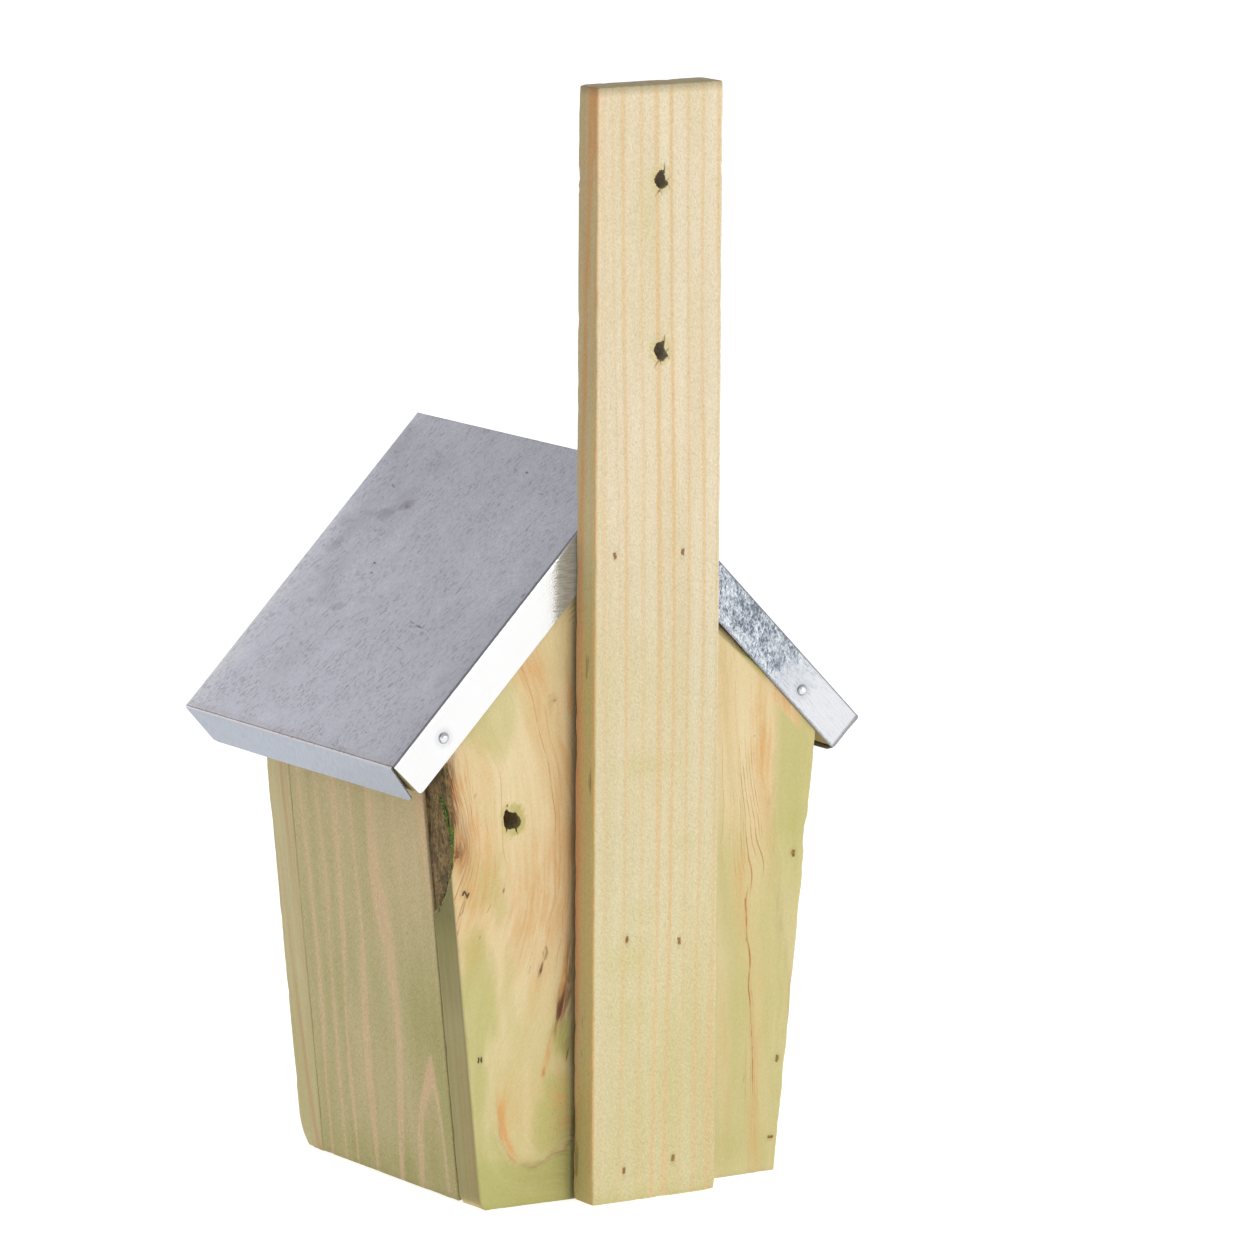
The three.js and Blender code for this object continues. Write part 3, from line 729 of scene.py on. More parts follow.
FLOOR_WOOD = wood_material(
    "floor_pine", lin(208, 188, 140), lin(196, 172, 122), lin(190, 146, 100), seed=27.0,
    stripe=0.7, soft=0.5, fine=0.45, fine_scale=0.8, fuzz=0.7, green=lin(160, 160, 100),
)


def relief(co, seed, amount=0.10, scale=13.0):
    """Slow unevenness of a sawn face, in mm."""
    return amount * fbm(co / scale, 3, seed)


def edge_wear(co, L, seed, reach=1.1, amount=0.35):
    """How far an arris is knocked back: chips where two faces meet."""
    near = np.minimum(co, np.asarray(L, float) - co)
    near = np.sort(near, axis=1)
    close = 1 - smooth(0, reach, near[:, 1])
    chips = np.clip(fbm(co / 5.0, 3, seed) * 1.6 - 0.15, 0, 1)
    return close * (0.06 + amount * chips)


# ------------------------------------------------------------------ the strip that it hangs by
def build_batten():
    L = (50.0, 380.0, 12.0)
    r = 0.55
    S = spread(50, 0.45, r)
    T = spread(380, 3.0, r, fine=[(284, 297, 0.5), (342, 355, 0.5)])
    C = spread(12, 1.6, r)
    co, quads = grid_box(S, T, C)
    p, nrm = rounded(co, L, r)
    w = np.abs(relief(p, 3, 0.13, 17)) + edge_wear(co, L, 5, 1.4, 0.55)
    # the corners at both ends are knocked round
    end = np.minimum(p[:, 1], 380 - p[:, 1])
    side = np.minimum(p[:, 0], 50 - p[:, 0])
    w += 0.22 * (1 - smooth(0, 2.0, end)) * (1 - smooth(0, 2.0, side))
    # saw ripples on the flat faces
    w += 0.025 * (1 + np.sin(p[:, 1] * 1.9 + 1.5 * vnoise(p / 20.0, 8)))
    p = p - nrm * w[:, None]
    v = np.stack([BATTEN_L + p[:, 0], BATTEN_IN + p[:, 2], p[:, 1]], 1)
    obj = new_object("batten", v, orient(v, quads.tolist()), "house", ["back_batten"])
    # two drilled screw holes with torn lips, and the pockets over the brads
    upper = resample([(-0.8, 349.6), (-2.05, 350.8), (-3.98, 351.1), (-4.23, 349.6), (-4.3, 348.3), (-5.0, 347.3), (-5.6, 346.8),
                      (-4.9, 345.4), (-3.56, 344.6), (-2.05, 344.8), (-1.2, 345.8), (-0.4, 347.3), (-0.1, 348.4)], 40)
    lower = resample([(-1.2, 292.8), (-2.6, 293.4), (-4.3, 293.7), (-4.4, 291.7), (-4.6, 290.6), (-5.4, 289.6), (-5.7, 288.5),
                      (-4.7, 287.1), (-3.3, 286.6), (-1.9, 287.5), (-1.0, 289.2), (-0.2, 290.4), (-0.7, 291.5)], 40)
    cutters = []
    for k, (hole, cz) in enumerate(((upper, 348.0), (lower, 290.3))):
        rough = hole + 0.30 * np.stack(
            [vnoise(np.stack([hole[:, 0] * 2.3, hole[:, 1] * 2.3, hole[:, 0] * 0 + k], 1), 31),
             vnoise(np.stack([hole[:, 0] * 2.3, hole[:, 1] * 2.3, hole[:, 0] * 0 + k], 1), 47)], 1)
        mid = np.array([-2.9, cz])
        wide = mid + (rough - mid) * 1.05
        bore = circle(-2.9, cz, 3.0, 40, like=rough)
        back = circle(-2.9, cz, 3.15, 40, like=rough)
        cutters.append(loft([(77.0, wide), (76.0, wide), (75.4, rough), (74.3, (rough + bore) / 2), (73.2, bore), (65.2, bore), (63.2, back)]))
    for n, (x, z) in enumerate([(14.6, 222.3), (-12.5, 221.5), (8.9, 90.7), (-12.1, 88.1), (9.6, 10.9), (-10.2, 13.0)]):
        cutters.append(pocket(x, z, 1.25, 2.3, BATTEN_OUT, 0.56, seed=40 + n, rough=0.3, spin=0.12 * (n % 3 - 1)))
    cut(obj, cutters)

    v = points_of(obj)
    x, y, z = v.T
    zs = [0, 5, 25, 75, 125, 165, 200, 250, 300, 365, 380]
    rows = {
        0: ([19.6, 19.6, 19.6, 18.1, 17.6, 18.1, 18.6, 19.2, 19.7, 20.2, 20.2], 1.05, 0.26),
        1: ([11.6, 11.5, 11.2, 10.5, 9.9, 9.8, 9.9, 10.3, 11.8, 12.5, 12.6], 0.75, 0.66),
        2: ([4.5, 4.5, 4.5, 3.8, 2.9, 2.9, 3.2, 3.2, 4.4, 5.2, 5.3], 0.72, 0.46),
        3: ([-1.5, -1.5, -1.8, -2.8, -3.4, -3.6, -3.5, -2.8, -2.1, -1.0, -0.9], 0.85, 0.85),
        4: ([-6.4, -6.4, -6.7, -7.9, -8.6, -9.2, -9.2, -8.6, -7.5, -6.7, -6.6], 0.62, 0.95),
        5: ([-12.5, -12.5, -12.9, -13.8, -14.5, -14.5, -15.1, -14.9, -14.0, -13.4, -13.3], 0.55, 0.65),
        6: ([-18.4, -18.4, -18.6, -19.0, -20.3, -20.9, -21.2, -20.8, -19.4, -19.5, -19.5], 0.65, 0.7),
        7: ([-24.4, -24.4, -24.4, -25.4, -26.8, -27.1, -27.3, -27.1, -26.8, -26.1, -26.0], 1.2, 0.8),
    }
    deep = BATTEN_OUT - y
    xe = x + 0.16 * deep + 0.012 * (deep**2)  # the rings lean through the thickness
    sdf = np.full(len(x), 30.0)
    amp = np.zeros(len(x))
    for k, (xs, hw, a) in rows.items():
        c = np.interp(z, zs, xs)
        hwz = hw * (1 + 0.28 * vnoise(np.stack([z / 42.0, z * 0 + k * 7.7, z * 0], 1), 12))
        az = a * (1 + 0.28 * vnoise(np.stack([z / 60.0, z * 0 + k * 5.1, z * 0], 1), 13))
        d = np.abs(xe - c) - hwz
        amp = np.where(d < sdf, az, amp)
        sdf = np.minimum(sdf, d)
    thin = np.interp(z, [185, 230, 255, 300, 365], [12.0, 13.2, 13.9, 15.3, 16.8])
    d = np.abs(xe - thin) - 0.28
    use = (d < sdf) & (z > 185)
    amp = np.where(use, 0.55, amp)
    sdf = np.where(use, d, sdf)
    # the two long edges show the same rings edge on
    door_edge = x > BATTEN_R - 0.75
    yc = np.interp(z, [0, 50, 130, 200, 240, 290, 320, 350, 365, 380], [65.6, 65.8, 65.9, 66.3, 67.6, 69.0, 70.0, 71.3, 72.6, 73.2])
    yw = np.interp(z, [0, 60, 150, 200, 240, 300, 345, 365, 380], [1.0, 1.3, 1.7, 1.4, 1.1, 0.9, 1.2, 2.1, 2.3])
    d1 = np.abs(y - yc) - yw - 0.25 * vnoise(np.stack([z / 22.0, z * 0, z * 0], 1), 21)
    sdf = np.where(door_edge, d1, sdf)
    amp = np.where(door_edge, 0.45, amp)
    far_edge = x < BATTEN_L + 0.75
    yc = np.interp(z, [0, 120, 240, 380], [69.5, 70.6, 69.8, 71.0])
    d2 = np.abs(y - yc) - 1.0
    sdf = np.where(far_edge, d2, sdf)
    amp = np.where(far_edge, 0.6, amp)
    marks, mamp = poly_sdf(y, z, [
        [(72.0, 109, 0.25, 0.4), (71.6, 103, 0.55, 0.62), (71.2, 96, 0.3, 0.5)],
        [(69.4, 65.5, 0.3, 0.45), (69.2, 61, 0.3, 0.45)],
        [(70.3, 58, 0.15, 0.5), (69.4, 53, 0.3, 0.55), (68.8, 49, 0.2, 0.4)],
        [(71.8, 193, 0.2, 0.35), (71.2, 187, 0.55, 0.45), (70.6, 180, 0.35, 0.5)],
        [(72.3, 187, 0.2, 0.35), (71.6, 181, 0.25, 0.4)],
        [(73.4, 153, 0.2, 0.35), (73.9, 146, 0.45, 0.55), (73.2, 139, 0.45, 0.6)],
        [(72.7, 150, 0.2, 0.35), (72.6, 143, 0.3, 0.5)],
        [(66.9, 22, 0.5, 0.25), (66.4, 16, 1.2, 0.42), (66.1, 9, 0.9, 0.42)],
        [(64.3, 110, 0.2, 0.5), (64.3, 20, 0.3, 0.6)],
    ])
    on_edge = smooth(BATTEN_R - 0.9, BATTEN_R - 0.3, x)
    marks = np.where(on_edge > 0.5, marks, 30.0)
    green = 0.46 * smooth(280, 0, z) + 0.14 * np.clip(fbm(v / 30.0, 2, 6), 0, 1)
    green += blobs(x, z, [(3, 336, 4, 12, 0.22), (1, 150, 12, 3, 0.25), (8, 84, 8, 6, 0.30), (-10, 45, 12, 30, 0.15), (6, 65, 9, 5, 0.15), (-14, 122, 5, 3, 0.2), (4, 100, 5, 3, 0.2)])
    green += 0.25 * (1 - smooth(0, 6, z)) + 0.3 * (1 - smooth(0, 3.5, 380 - z)) * (y > 70)
    for cz in (348.0, 290.3):
        green += 0.42 * smooth(5.6, 4.0, np.hypot(x + 3.2, z - cz) + 0.8 * vnoise(np.stack([x / 0.9, z / 0.9, z * 0], 1), 557)) * (y > 75)
    arris = smooth(0.9, 0.2, np.abs(x - BATTEN_R)) * smooth(75.15, 75.6, y)
    low_edge = smooth(60, 5, z)
    green = green * (1 - on_edge) + on_edge * (0.22 + 0.20 * smooth(66, 76, y) * smooth(330, 200, z) + 0.70 * low_edge * smooth(75, 66, y) + 0.35 * low_edge)
    green += 0.25 * arris
    inner = smooth(0.5, -0.5, d1)
    lowz = smooth(235, 190, z) * on_edge
    pink = 0.10 * smooth(15, 22, x) * smooth(200, 300, z) * (y > 75)
    pink += on_edge * inner * (0.9 * smooth(30, 90, z) + 0.15)
    pink += on_edge * 0.30 * smooth(70.5, 68.0, y) * smooth(60, 110, z) * smooth(215, 190, z)
    green += 0.30 * lowz * smooth(66.5, 69.0, y) + 0.16 * lowz
    pink += 0.36 * lowz * smooth(72, 66, y) * smooth(10, 40, z) + 0.20 * lowz * smooth(66, 72, y)
    brown = on_edge * inner * 0.10 * smooth(30, 80, z) * smooth(240, 190, z)
    brown += 0.10 * on_edge * smooth(70.5, 67.0, y) * smooth(300, 340, z) + 0.05 * lowz + 0.07 * lowz * smooth(60, 20, z)
    pink += 0.75 * arris * (on_edge > 0.3)
    # painted shade: the top end face is darkened, as it takes less light than the front; so are the walls of the two
    # drilled holes just inside the face
    top = smooth(379.1, 379.7, z)
    dirt_and_shade = 0.62 * top + 0.1 * (1 - smooth(0, 1.2, z))
    dirt_and_shade += blobs(x, z, [(-2.9, 348, 3.4, 3.9, 0.22), (-2.9, 290.3, 3.4, 3.9, 0.22)]) * (y > 72) * (y < 75.8)
    for bx, bz in ((14.6, 222.3), (-12.5, 221.5), (8.9, 90.7), (-12.1, 88.1), (9.6, 10.9), (-10.2, 13.0)):
        brown += 0.6 * np.exp(-(((x - bx) / 0.75) ** 2 + ((z - bz) / 1.25) ** 2)) * (y > 75)
    # painted shade: light cannot reach far into the drilled holes, so their torn walls are darkened
    for cz in (348.0, 290.3):
        inside = (np.hypot(x + 2.9, z - cz) < 3.9) & (y < 75.7) & (y > 64.3)
        dirt_and_shade = np.where(inside, 0.62, dirt_and_shade)
    torn, tamp = poly_sdf(x, z, [
        [(-4.3, 353.2, 0.10, 0.7), (-4.1, 351.4, 0.22, 0.9), (-4.0, 350.0, 0.2, 0.9)], [(-0.4, 342.2, 0.08, 0.5), (-1.7, 344.0, 0.2, 0.8), (-2.6, 344.6, 0.2, 0.9)],
        [(-3.4, 342.6, 0.08, 0.6), (-2.4, 344.2, 0.2, 0.8)], [(-6.6, 344.6, 0.12, 0.6), (-5.6, 346.0, 0.22, 0.9), (-4.8, 347.0, 0.2, 0.9)], [(-6.3, 348.6, 0.08, 0.5), (-5.3, 347.6, 0.18, 0.8)],
        [(-4.6, 295.6, 0.10, 0.7), (-4.4, 293.9, 0.22, 0.9), (-4.3, 292.6, 0.2, 0.9)], [(-0.6, 284.8, 0.08, 0.5), (-1.8, 286.6, 0.2, 0.8), (-2.7, 287.2, 0.2, 0.9)],
        [(-6.6, 287.2, 0.10, 0.6), (-5.7, 288.6, 0.22, 0.9), (-5.0, 289.6, 0.2, 0.9)], [(-6.4, 291.2, 0.08, 0.5), (-5.5, 290.2, 0.18, 0.8)], [(-3.6, 285.2, 0.08, 0.5), (-2.9, 286.8, 0.2, 0.8)],
        [(8.6, 168.8, 0.12, 0.3), (8.0, 166.8, 0.15, 0.4)], [(6.8, 166.2, 0.1, 0.3), (6.2, 165.0, 0.12, 0.4)],
    ])
    use = (y > 75) & (torn < marks)
    marks, mamp = np.where(use, torn, marks), np.where(use, tamp, mamp)
    # painted shade: the long edge face on the door side is darkened through the edge value, as it takes less light than
    # the front
    shade = on_edge * (0.95 - 0.15 * smooth(74.8, 75.8, y)) * smooth(76.0, 75.4, y)
    shade = shade * (1 - 0.20 * smooth(66.5, 71, y) * smooth(340, 200, z))
    shade = shade * (1 - 0.34 * lowz) + 0.14 * on_edge * smooth(230, 300, z) * (y < 75)
    dress(obj, BATTEN_WOOD, sdf, amp, xe, z, deep, edge=np.clip(shade, 0, 1.2), green=green, pink=pink,
          brown=brown, sdf2=marks, amp2=mamp, dirt_and_shade=dirt_and_shade)
    write_fine(obj, 0.8)
    return obj


def write_fine(obj, k):
    """Strength of the fine grain lines, kept in the last part of the dark marks' attribute."""
    a = obj.data.attributes["wd"]
    n = len(obj.data.vertices)
    buf = np.zeros(n * 3, np.float32)
    a.data.foreach_get("vector", buf)
    buf = buf.reshape(-1, 3)
    buf[:, 2] = k
    a.data.foreach_set("vector", buf.ravel())


# ------------------------------------------------------------------ gables
SHOULDER_R = (73.85, 155.82)
SHOULDER_L = (-76.56, 153.05)
APEX = (0.0, 231.08)


def gable_edges(z):
    r = np.where(z <= SHOULDER_R[1], right_x(z), SHOULDER_R[0] * (APEX[1] - z) / (APEX[1] - SHOULDER_R[1]))
    l = np.where(z <= SHOULDER_L[1], left_x(z), SHOULDER_L[0] * (APEX[1] - z) / (APEX[1] - SHOULDER_L[1]))
    return l, r


def gable_place(p, y_of, band=7.0, width=150.0):
    z = np.minimum(p[:, 1], APEX[1] - 0.45)
    l, r = gable_edges(z)
    w = r - l
    k = np.minimum(1.0, w * 0.4 / band)
    s = p[:, 0]
    mid = l + band * k + (s - band) / (width - 2 * band) * (w - 2 * band * k)
    x = np.where(s < band, l + s * k, np.where(s > width - band, r - (width - s) * k, mid))
    return np.stack([x, y_of(p[:, 2]), p[:, 1]], 1)


def build_back():
    Lz = APEX[1]
    L = (150.0, Lz, 14.8)
    r = 0.5
    S = spread(150, 1.0, r, fine=[(0, 7, 0.55), (99, 143, 0.7), (143, 150, 0.55)])
    T = spread(Lz, 2.0, r, extra=(SHOULDER_L[1], SHOULDER_R[1]), fine=[(10, 60, 1.4), (99, 153, 0.95), (176, 198, 1.2)])
    C = spread(14.8, 1.05, r)
    co, quads = grid_box(S, T, C)
    p, nrm = rounded(co, L, r)
    v0 = gable_place(p, lambda c: BACK_IN + c)
    x, y, z = v0.T
    w = relief(p, 23, 0.10, 19) + edge_wear(co, L, 25, 1.0, 0.35)
    v = v0.copy()
    # normals of the local box carried over: thickness is y, width is x
    v[:, 0] -= nrm[:, 0] * w
    v[:, 1] -= nrm[:, 2] * np.abs(w)
    v[:, 2] -= nrm[:, 1] * w
    outer = np.clip(nrm[:, 2], 0, 1)
    # it is cupped a little towards the foot, where it meets the strip
    v[:, 1] += 0.75 * (co[:, 2] / 14.8) * smooth(150, 20, z) * (1 - smooth(14, 52, np.abs(x + 2.5)))
    # waney corner: bark on the door-side edge, eaten back between 104 and 153 mm up
    right = smooth(142, 149.2, p[:, 0])
    bark_low = np.interp(y, [47.8, 50, 53, 57, 60, 62.6], [101.5, 103, 105.5, 110, 115, 119.5])
    on_bark = right * smooth(-1.5, 1.5, z - bark_low) * smooth(156.5, 153.0, z)
    lump = 0.5 + 0.5 * fbm(v0 / np.array([2.4, 2.4, 6.0]), 4, 61)
    hollow = 0.35 + 1.25 * lump + 0.7 * np.exp(-(((z - 138) / 10) ** 2))
    v[:, 0] -= on_bark * hollow * smooth(0.1, 0.9, nrm[:, 0] + 0.35 * (p[:, 0] > 148.2))
    v[:, 1] -= on_bark * (0.25 + 0.7 * lump) * smooth(147.6, 149.9, p[:, 0]) * outer
    # tapering chamfer under the roof on the fixed side
    depth = (RIDGE_Z - np.abs(x) * TAN - z) * COS
    cw = np.interp(x, [-54, -46, -37, -28], [0.0, 2.2, 3.3, 3.6])
    cw = cw * (1 + 0.12 * vnoise(v0 / 5.0, 66))
    into = np.clip(14.3 + cw - depth, 0, None)
    v[:, 1] -= np.where((x < -20) & (co[:, 2] > 7), into * 0.85, 0) * smooth(7, 14, co[:, 2])
    # knocked lower corner and a shallow gouge in the far edge
    corner = (1 - smooth(0, 3.4, z)) * smooth(54.2, 58.6, x)
    v[:, 0] -= corner * 1.5
    v[:, 1] -= corner * 0.5 * outer
    gouge = smooth(110.5, 114, z) * (1 - smooth(118, 124, z)) * (1 - smooth(0, 3.0, p[:, 0]))
    v[:, 0] += 0.75 * gouge
    v[:, 0] += (1 - smooth(0, 2, p[:, 0])) * 0.22 * vnoise(v0 / 9.0, 68) - right * (1 - on_bark) * 0.0
    obj = new_object("back_gable", v, orient(v, quads.tolist()), "house", ["back_panel"])

    vent = resample([(49.6, 135.7), (49.3, 136.8), (48.5, 137.3), (47.6, 136.3), (46.6, 135.8), (45.5, 136.0), (44.7, 135.9),
                     (44.2, 134.9), (43.3, 134.0), (42.7, 132.9), (42.9, 131.8), (43.5, 130.9), (44.3, 130.3), (44.3, 129.0),
                     (44.0, 128.2), (44.8, 128.9), (45.2, 130.4), (46.4, 130.3), (47.4, 130.1), (48.2, 130.4), (48.5, 129.2),
                     (48.8, 129.1), (48.9, 130.7), (49.5, 131.6), (49.8, 133.2), (49.8, 134.6)], 56)
    rough = vent + 0.20 * np.stack([vnoise(np.stack([vent[:, 0] * 1.5, vent[:, 1] * 1.5, vent[:, 0] * 0], 1), 71),
                                   vnoise(np.stack([vent[:, 0] * 1.5, vent[:, 1] * 1.5, vent[:, 0] * 0], 1), 72)], 1)
    mid = np.array([46.4, 133.3])
    bore = circle(46.4, 133.3, 3.25, 56, like=rough)
    cutters = [loft([(63.6, mid + (rough - mid) * 1.03), (62.6, rough), (61.9, rough), (60.7, (rough + 2 * bore) / 3), (59.6, bore), (47.0, bore)])]
    cutters.append(pocket(48.35, 138.4, 0.55, 0.9, BACK_Y, 0.9, seed=3, rough=0.3))
    # nails and brads under torn fibres: narrow slits down to the steel
    for n, (cx, cz, w_, h_, sp) in enumerate([
        (65.5, 110.3, 0.75, 1.9, 0.5), (64.6, 110.0, 0.6, 2.0, -0.45), (63.8, 109.3, 0.7, 1.9, 0.5),  # over the upper nail
        (59.35, 52.35, 0.72, 1.9, 0.05), (58.25, 52.4, 0.72, 1.9, -0.05),  # over the lower nail
        (-67.3, 110.9, 1.5, 1.7, 0.3), (-67.5, 110.1, 1.0, 1.5, -0.4),
        (-61.5, 39.4, 1.35, 2.3, 0.1),
        (-58.9, 11.95, 2.2, 0.9, 0.05),
    ]):
        cutters.append(pocket(cx, cz, w_, h_, BACK_Y, 0.75, seed=80 + n, rough=0.3, spin=sp, n=14))
    cut(obj, cutters)

    v = points_of(obj)
    x, y, z = v.T
    lines = [
        (29, [(44, 187), (40, 178), (38, 172), (35.3, 160.7), (32.6, 153), (31.2, 145), (29.3, 133), (29, 120), (29, 113), (29.6, 103), (32.4, 90.6), (36, 78.4), (40.5, 67), (46, 55), (49.5, 45), (51.5, 33), (50.5, 23), (45.3, 15.6), (36.7, 13), (31, 15.6), (25, 17)]),
        (24.5, [(26.5, 100), (28.5, 85), (31.5, 72), (36, 60), (41, 47), (44, 34), (42, 25), (36, 20), (29, 22), (24, 25)]),
        (22, [(27.5, 160), (24, 151), (22.6, 140), (22, 125), (22, 110), (22.6, 98), (24, 82), (25.5, 73), (28.3, 62), (31, 53), (34, 43), (34, 33)]),
        (41.5, [(52, 172), (48, 160), (45, 150), (43, 140), (42, 130), (41.5, 120), (41.5, 110), (43, 100), (46, 90), (50, 78), (54, 66), (57, 52), (58.5, 40), (58, 25), (54, 10), (44, 3), (30, 3)]),
        (50, [(60, 166), (54, 155), (51.3, 149), (50.6, 138.6), (49.9, 124), (48.6, 117), (49.6, 109.6), (52.3, 99), (56, 89), (60.5, 79), (63.5, 68), (62.5, 50)]),
        (55.7, [(62.5, 160), (58, 150), (57, 140), (56, 130), (55.5, 122), (56.5, 113), (59, 104), (62.5, 95), (66, 86)]),
        (61, [(66, 158), (65, 150), (63.5, 142), (62.3, 134), (61, 126), (61.5, 120), (63.5, 113), (66.5, 105)]),
        (65, [(69, 152), (67.5, 145), (65.3, 138), (64, 131), (63.2, 125.5), (64.3, 120), (66.5, 114.5), (68.8, 109)]),
        (68.5, [(71.5, 152), (69.5, 144), (67, 136), (65.6, 129), (65.2, 125), (66.2, 120.5), (68.5, 116)]),
        (60, [(-42.3, 185.7), (-43, 165.7), (-44.1, 151.4), (-45.1, 138.6), (-46.6, 120.7), (-47.6, 110), (-48, 95.7), (-48.4, 83.4), (-49.4, 65.6), (-50.5, 54.9), (-51.2, 44.1), (-51.4, 33.4), (-51.6, 26.3), (-52.3, 15), (-52, 1)]),
        (70, [(-49.5, 175), (-50.5, 154.3), (-50.9, 145.7), (-52.3, 135), (-55.1, 124), (-57.3, 113), (-58.7, 106), (-59.5, 95), (-60.5, 80), (-61, 60), (-60.5, 30), (-59.5, 2)]),
        (80, [(-59, 178), (-59, 160), (-59, 140), (-59.3, 128), (-60.5, 115), (-62, 100), (-63.5, 87), (-65, 72), (-65.5, 55)]),
        (92, [(-75.5, 150), (-73.5, 125), (-71, 100)]),
        (48, [(-36, 190), (-36.3, 170), (-36.7, 150), (-37, 130), (-37.5, 100), (-38.5, 70), (-40, 50), (-38.6, 33), (-36.8, 20), (-36.5, 2)]),
        (21, [(0, 225), (0, 180), (0, 140), (0, 90), (2, 50), (4, 10)]),
        (34, [(-20, 205), (-20, 150), (-20, 90), (-20, 40), (-20, 5)]),
    ]
    pts, vals = [], []
    for val, line in lines:
        for q in line:
            pts.append(q)
            vals.append(val)
    X = rbf_field(pts, np.array(vals, float))(x, z) + 0.5 * (BACK_Y - y)

    face = smooth(BACK_Y - 1.2, BACK_Y - 0.4, y)
    grain = [
        [(-49.4, 65.6, 0.3, 0.5), (-50.5, 54.9, 0.3, 0.55), (-51.2, 44.1, 0.3, 0.5), (-51.4, 33.4, 0.3, 0.4), (-51.6, 26.3, 0.3, 0.3)],
        [(37.2, 176, 0.12, 0.4), (36.6, 169, 0.15, 0.55), (35.9, 164.5, 0.12, 0.4)],
        [(44, 186, 0.25, 0.6), (42.5, 183.5, 0.25, 0.6)], [(40.5, 186, 0.25, 0.6), (39.3, 183, 0.25, 0.6)], [(41.8, 181.5, 0.2, 0.5), (40.8, 178.5, 0.2, 0.5)],
        [(38.4, 188.5, 0.25, 0.5), (37.4, 185.5, 0.25, 0.5)], [(36.2, 184.5, 0.2, 0.45), (35.4, 181.5, 0.2, 0.45)],
    ]
    sdf, amp = poly_sdf(x, z, grain)
    # faint wide rings where no single line was laid
    k = X / 6.4 + 0.25 * vnoise(np.stack([X * 0.09, z * 0.01, z * 0], 1), 91)
    tri = np.abs(k - np.round(k)) * 6.4 - 0.55
    wide = (np.abs(x + 2.5) < 23.5) | (face < 0.5)
    sdf = np.where(wide, tri, sdf)
    amp = np.where(wide, 0.55, amp)
    edge_face = smooth(0.6, 0.2, np.abs(x - right_x(z))) * (z < 154) * (face < 0.9)
    # on the long edge the rings run straight up
    es, ea = poly_sdf(y, z, [
        [(60.6, 0, 0.5, 0.6), (60.9, 60, 0.6, 0.55), (61.2, 100, 0.4, 0.3)],
        [(57.9, 0, 0.35, 0.55), (58.2, 50, 0.4, 0.5), (58.8, 95, 0.3, 0.3)],
        [(54.2, 0, 0.5, 0.5), (54.6, 60, 0.4, 0.4), (55, 100, 0.3, 0.2)],
        [(50.6, 0, 0.3, 0.4), (50.9, 95, 0.3, 0.3)],
    ])
    on = edge_face > 0.4
    sdf, amp = np.where(on, es, sdf), np.where(on, ea * 0.30, amp)
    X = np.where(on, 1.1 * (BACK_Y - y) + 14.0, X)
    marks, mamp = poly_sdf(x, z, [
        # the dark knot streak beside the strip, in three torn strands
        [(23.9, 79, 0.2, 0.2), (25.0, 74.5, 0.45, 0.5), (26.2, 69.5, 0.62, 0.85), (27.2, 65.5, 0.55, 0.95), (28.3, 61.6, 0.2, 0.8), (28.7, 60.4, 0.1, 0.3)],
        [(26.9, 71.5, 0.2, 0.4), (27.9, 67.6, 0.5, 0.85), (28.3, 64.6, 0.4, 0.8), (28.9, 62.2, 0.1, 0.4)],
        [(24.4, 72.5, 0.25, 0.4), (25.0, 67.8, 0.4, 0.6), (25.9, 63.6, 0.25, 0.5), (26.9, 60.8, 0.1, 0.3)],
        [(32.7, 88.6, 0.35, 0.5), (32.3, 85.6, 0.5, 0.6), (33.2, 84.2, 0.3, 0.45)], [(34.0, 87, 0.25, 0.4), (33.3, 84, 0.3, 0.45)],
        [(34.0, 83.6, 0.28, 0.55), (34.9, 80.7, 0.5, 0.9), (36.0, 78.0, 0.22, 0.55)],
        [(38.9, 82.6, 0.22, 0.5), (39.9, 79.0, 0.22, 0.55)],
        [(31.9, 174.2, 0.45, 0.42), (30.4, 173.3, 0.65, 0.48), (28.9, 172.0, 0.3, 0.36)],
        [(68.4 + 1.5 * math.cos(t), 123.8 + 1.2 * math.sin(t), 0.16, 0.75) for t in np.linspace(0.3, 5.6, 14)],
        [(68.5, 124.8, 0.3, 0.5), (68.1, 123.3, 0.35, 0.5)],
        [(23.6, 53.6, 0.15, 0.6), (24.4, 50.4, 0.3, 0.8), (24.9, 48.0, 0.15, 0.6)],
        [(49.5, 110.0, 0.35, 0.6), (49.8, 109.0, 0.35, 0.6)],
        [(-56.4, 129.6, 0.25, 0.15), (-57.3, 128.4, 0.25, 0.2)],
        [(-47.6, 38, 0.15, 0.4), (-48.0, 31.8, 0.2, 0.4)],
        [(-47.7, 96.5, 0.25, 0.5), (-48.0, 92.0, 0.28, 0.55)], [(-48.2, 84.5, 0.25, 0.5), (-48.7, 81.0, 0.28, 0.5)],
        [(-50.7, 147.2, 0.18, 0.5), (-50.9, 145.0, 0.18, 0.5)], [(-51.0, 153.5, 0.22, 0.5), (-51.1, 152.6, 0.2, 0.4)],
        [(69.6, 140, 0.3, 0.45), (70.0, 135.5, 0.6, 0.6), (69.4, 131, 0.25, 0.45)],
        [(60.8, 143.8, 0.25, 0.5), (61.2, 142.2, 0.25, 0.5)],
        [(64.9, 107.5, 0.2, 0.4), (65.8, 104.0, 0.2, 0.5), (67.0, 102.6, 0.2, 0.4)],
        [(58.9, 95.4, 0.3, 0.4), (59.2, 93.4, 0.3, 0.45)], [(54.6, 105.4, 0.2, 0.4), (56.2, 102.6, 0.2, 0.4)],
    ])
    marks = np.where(face > 0.4, marks, 30.0)
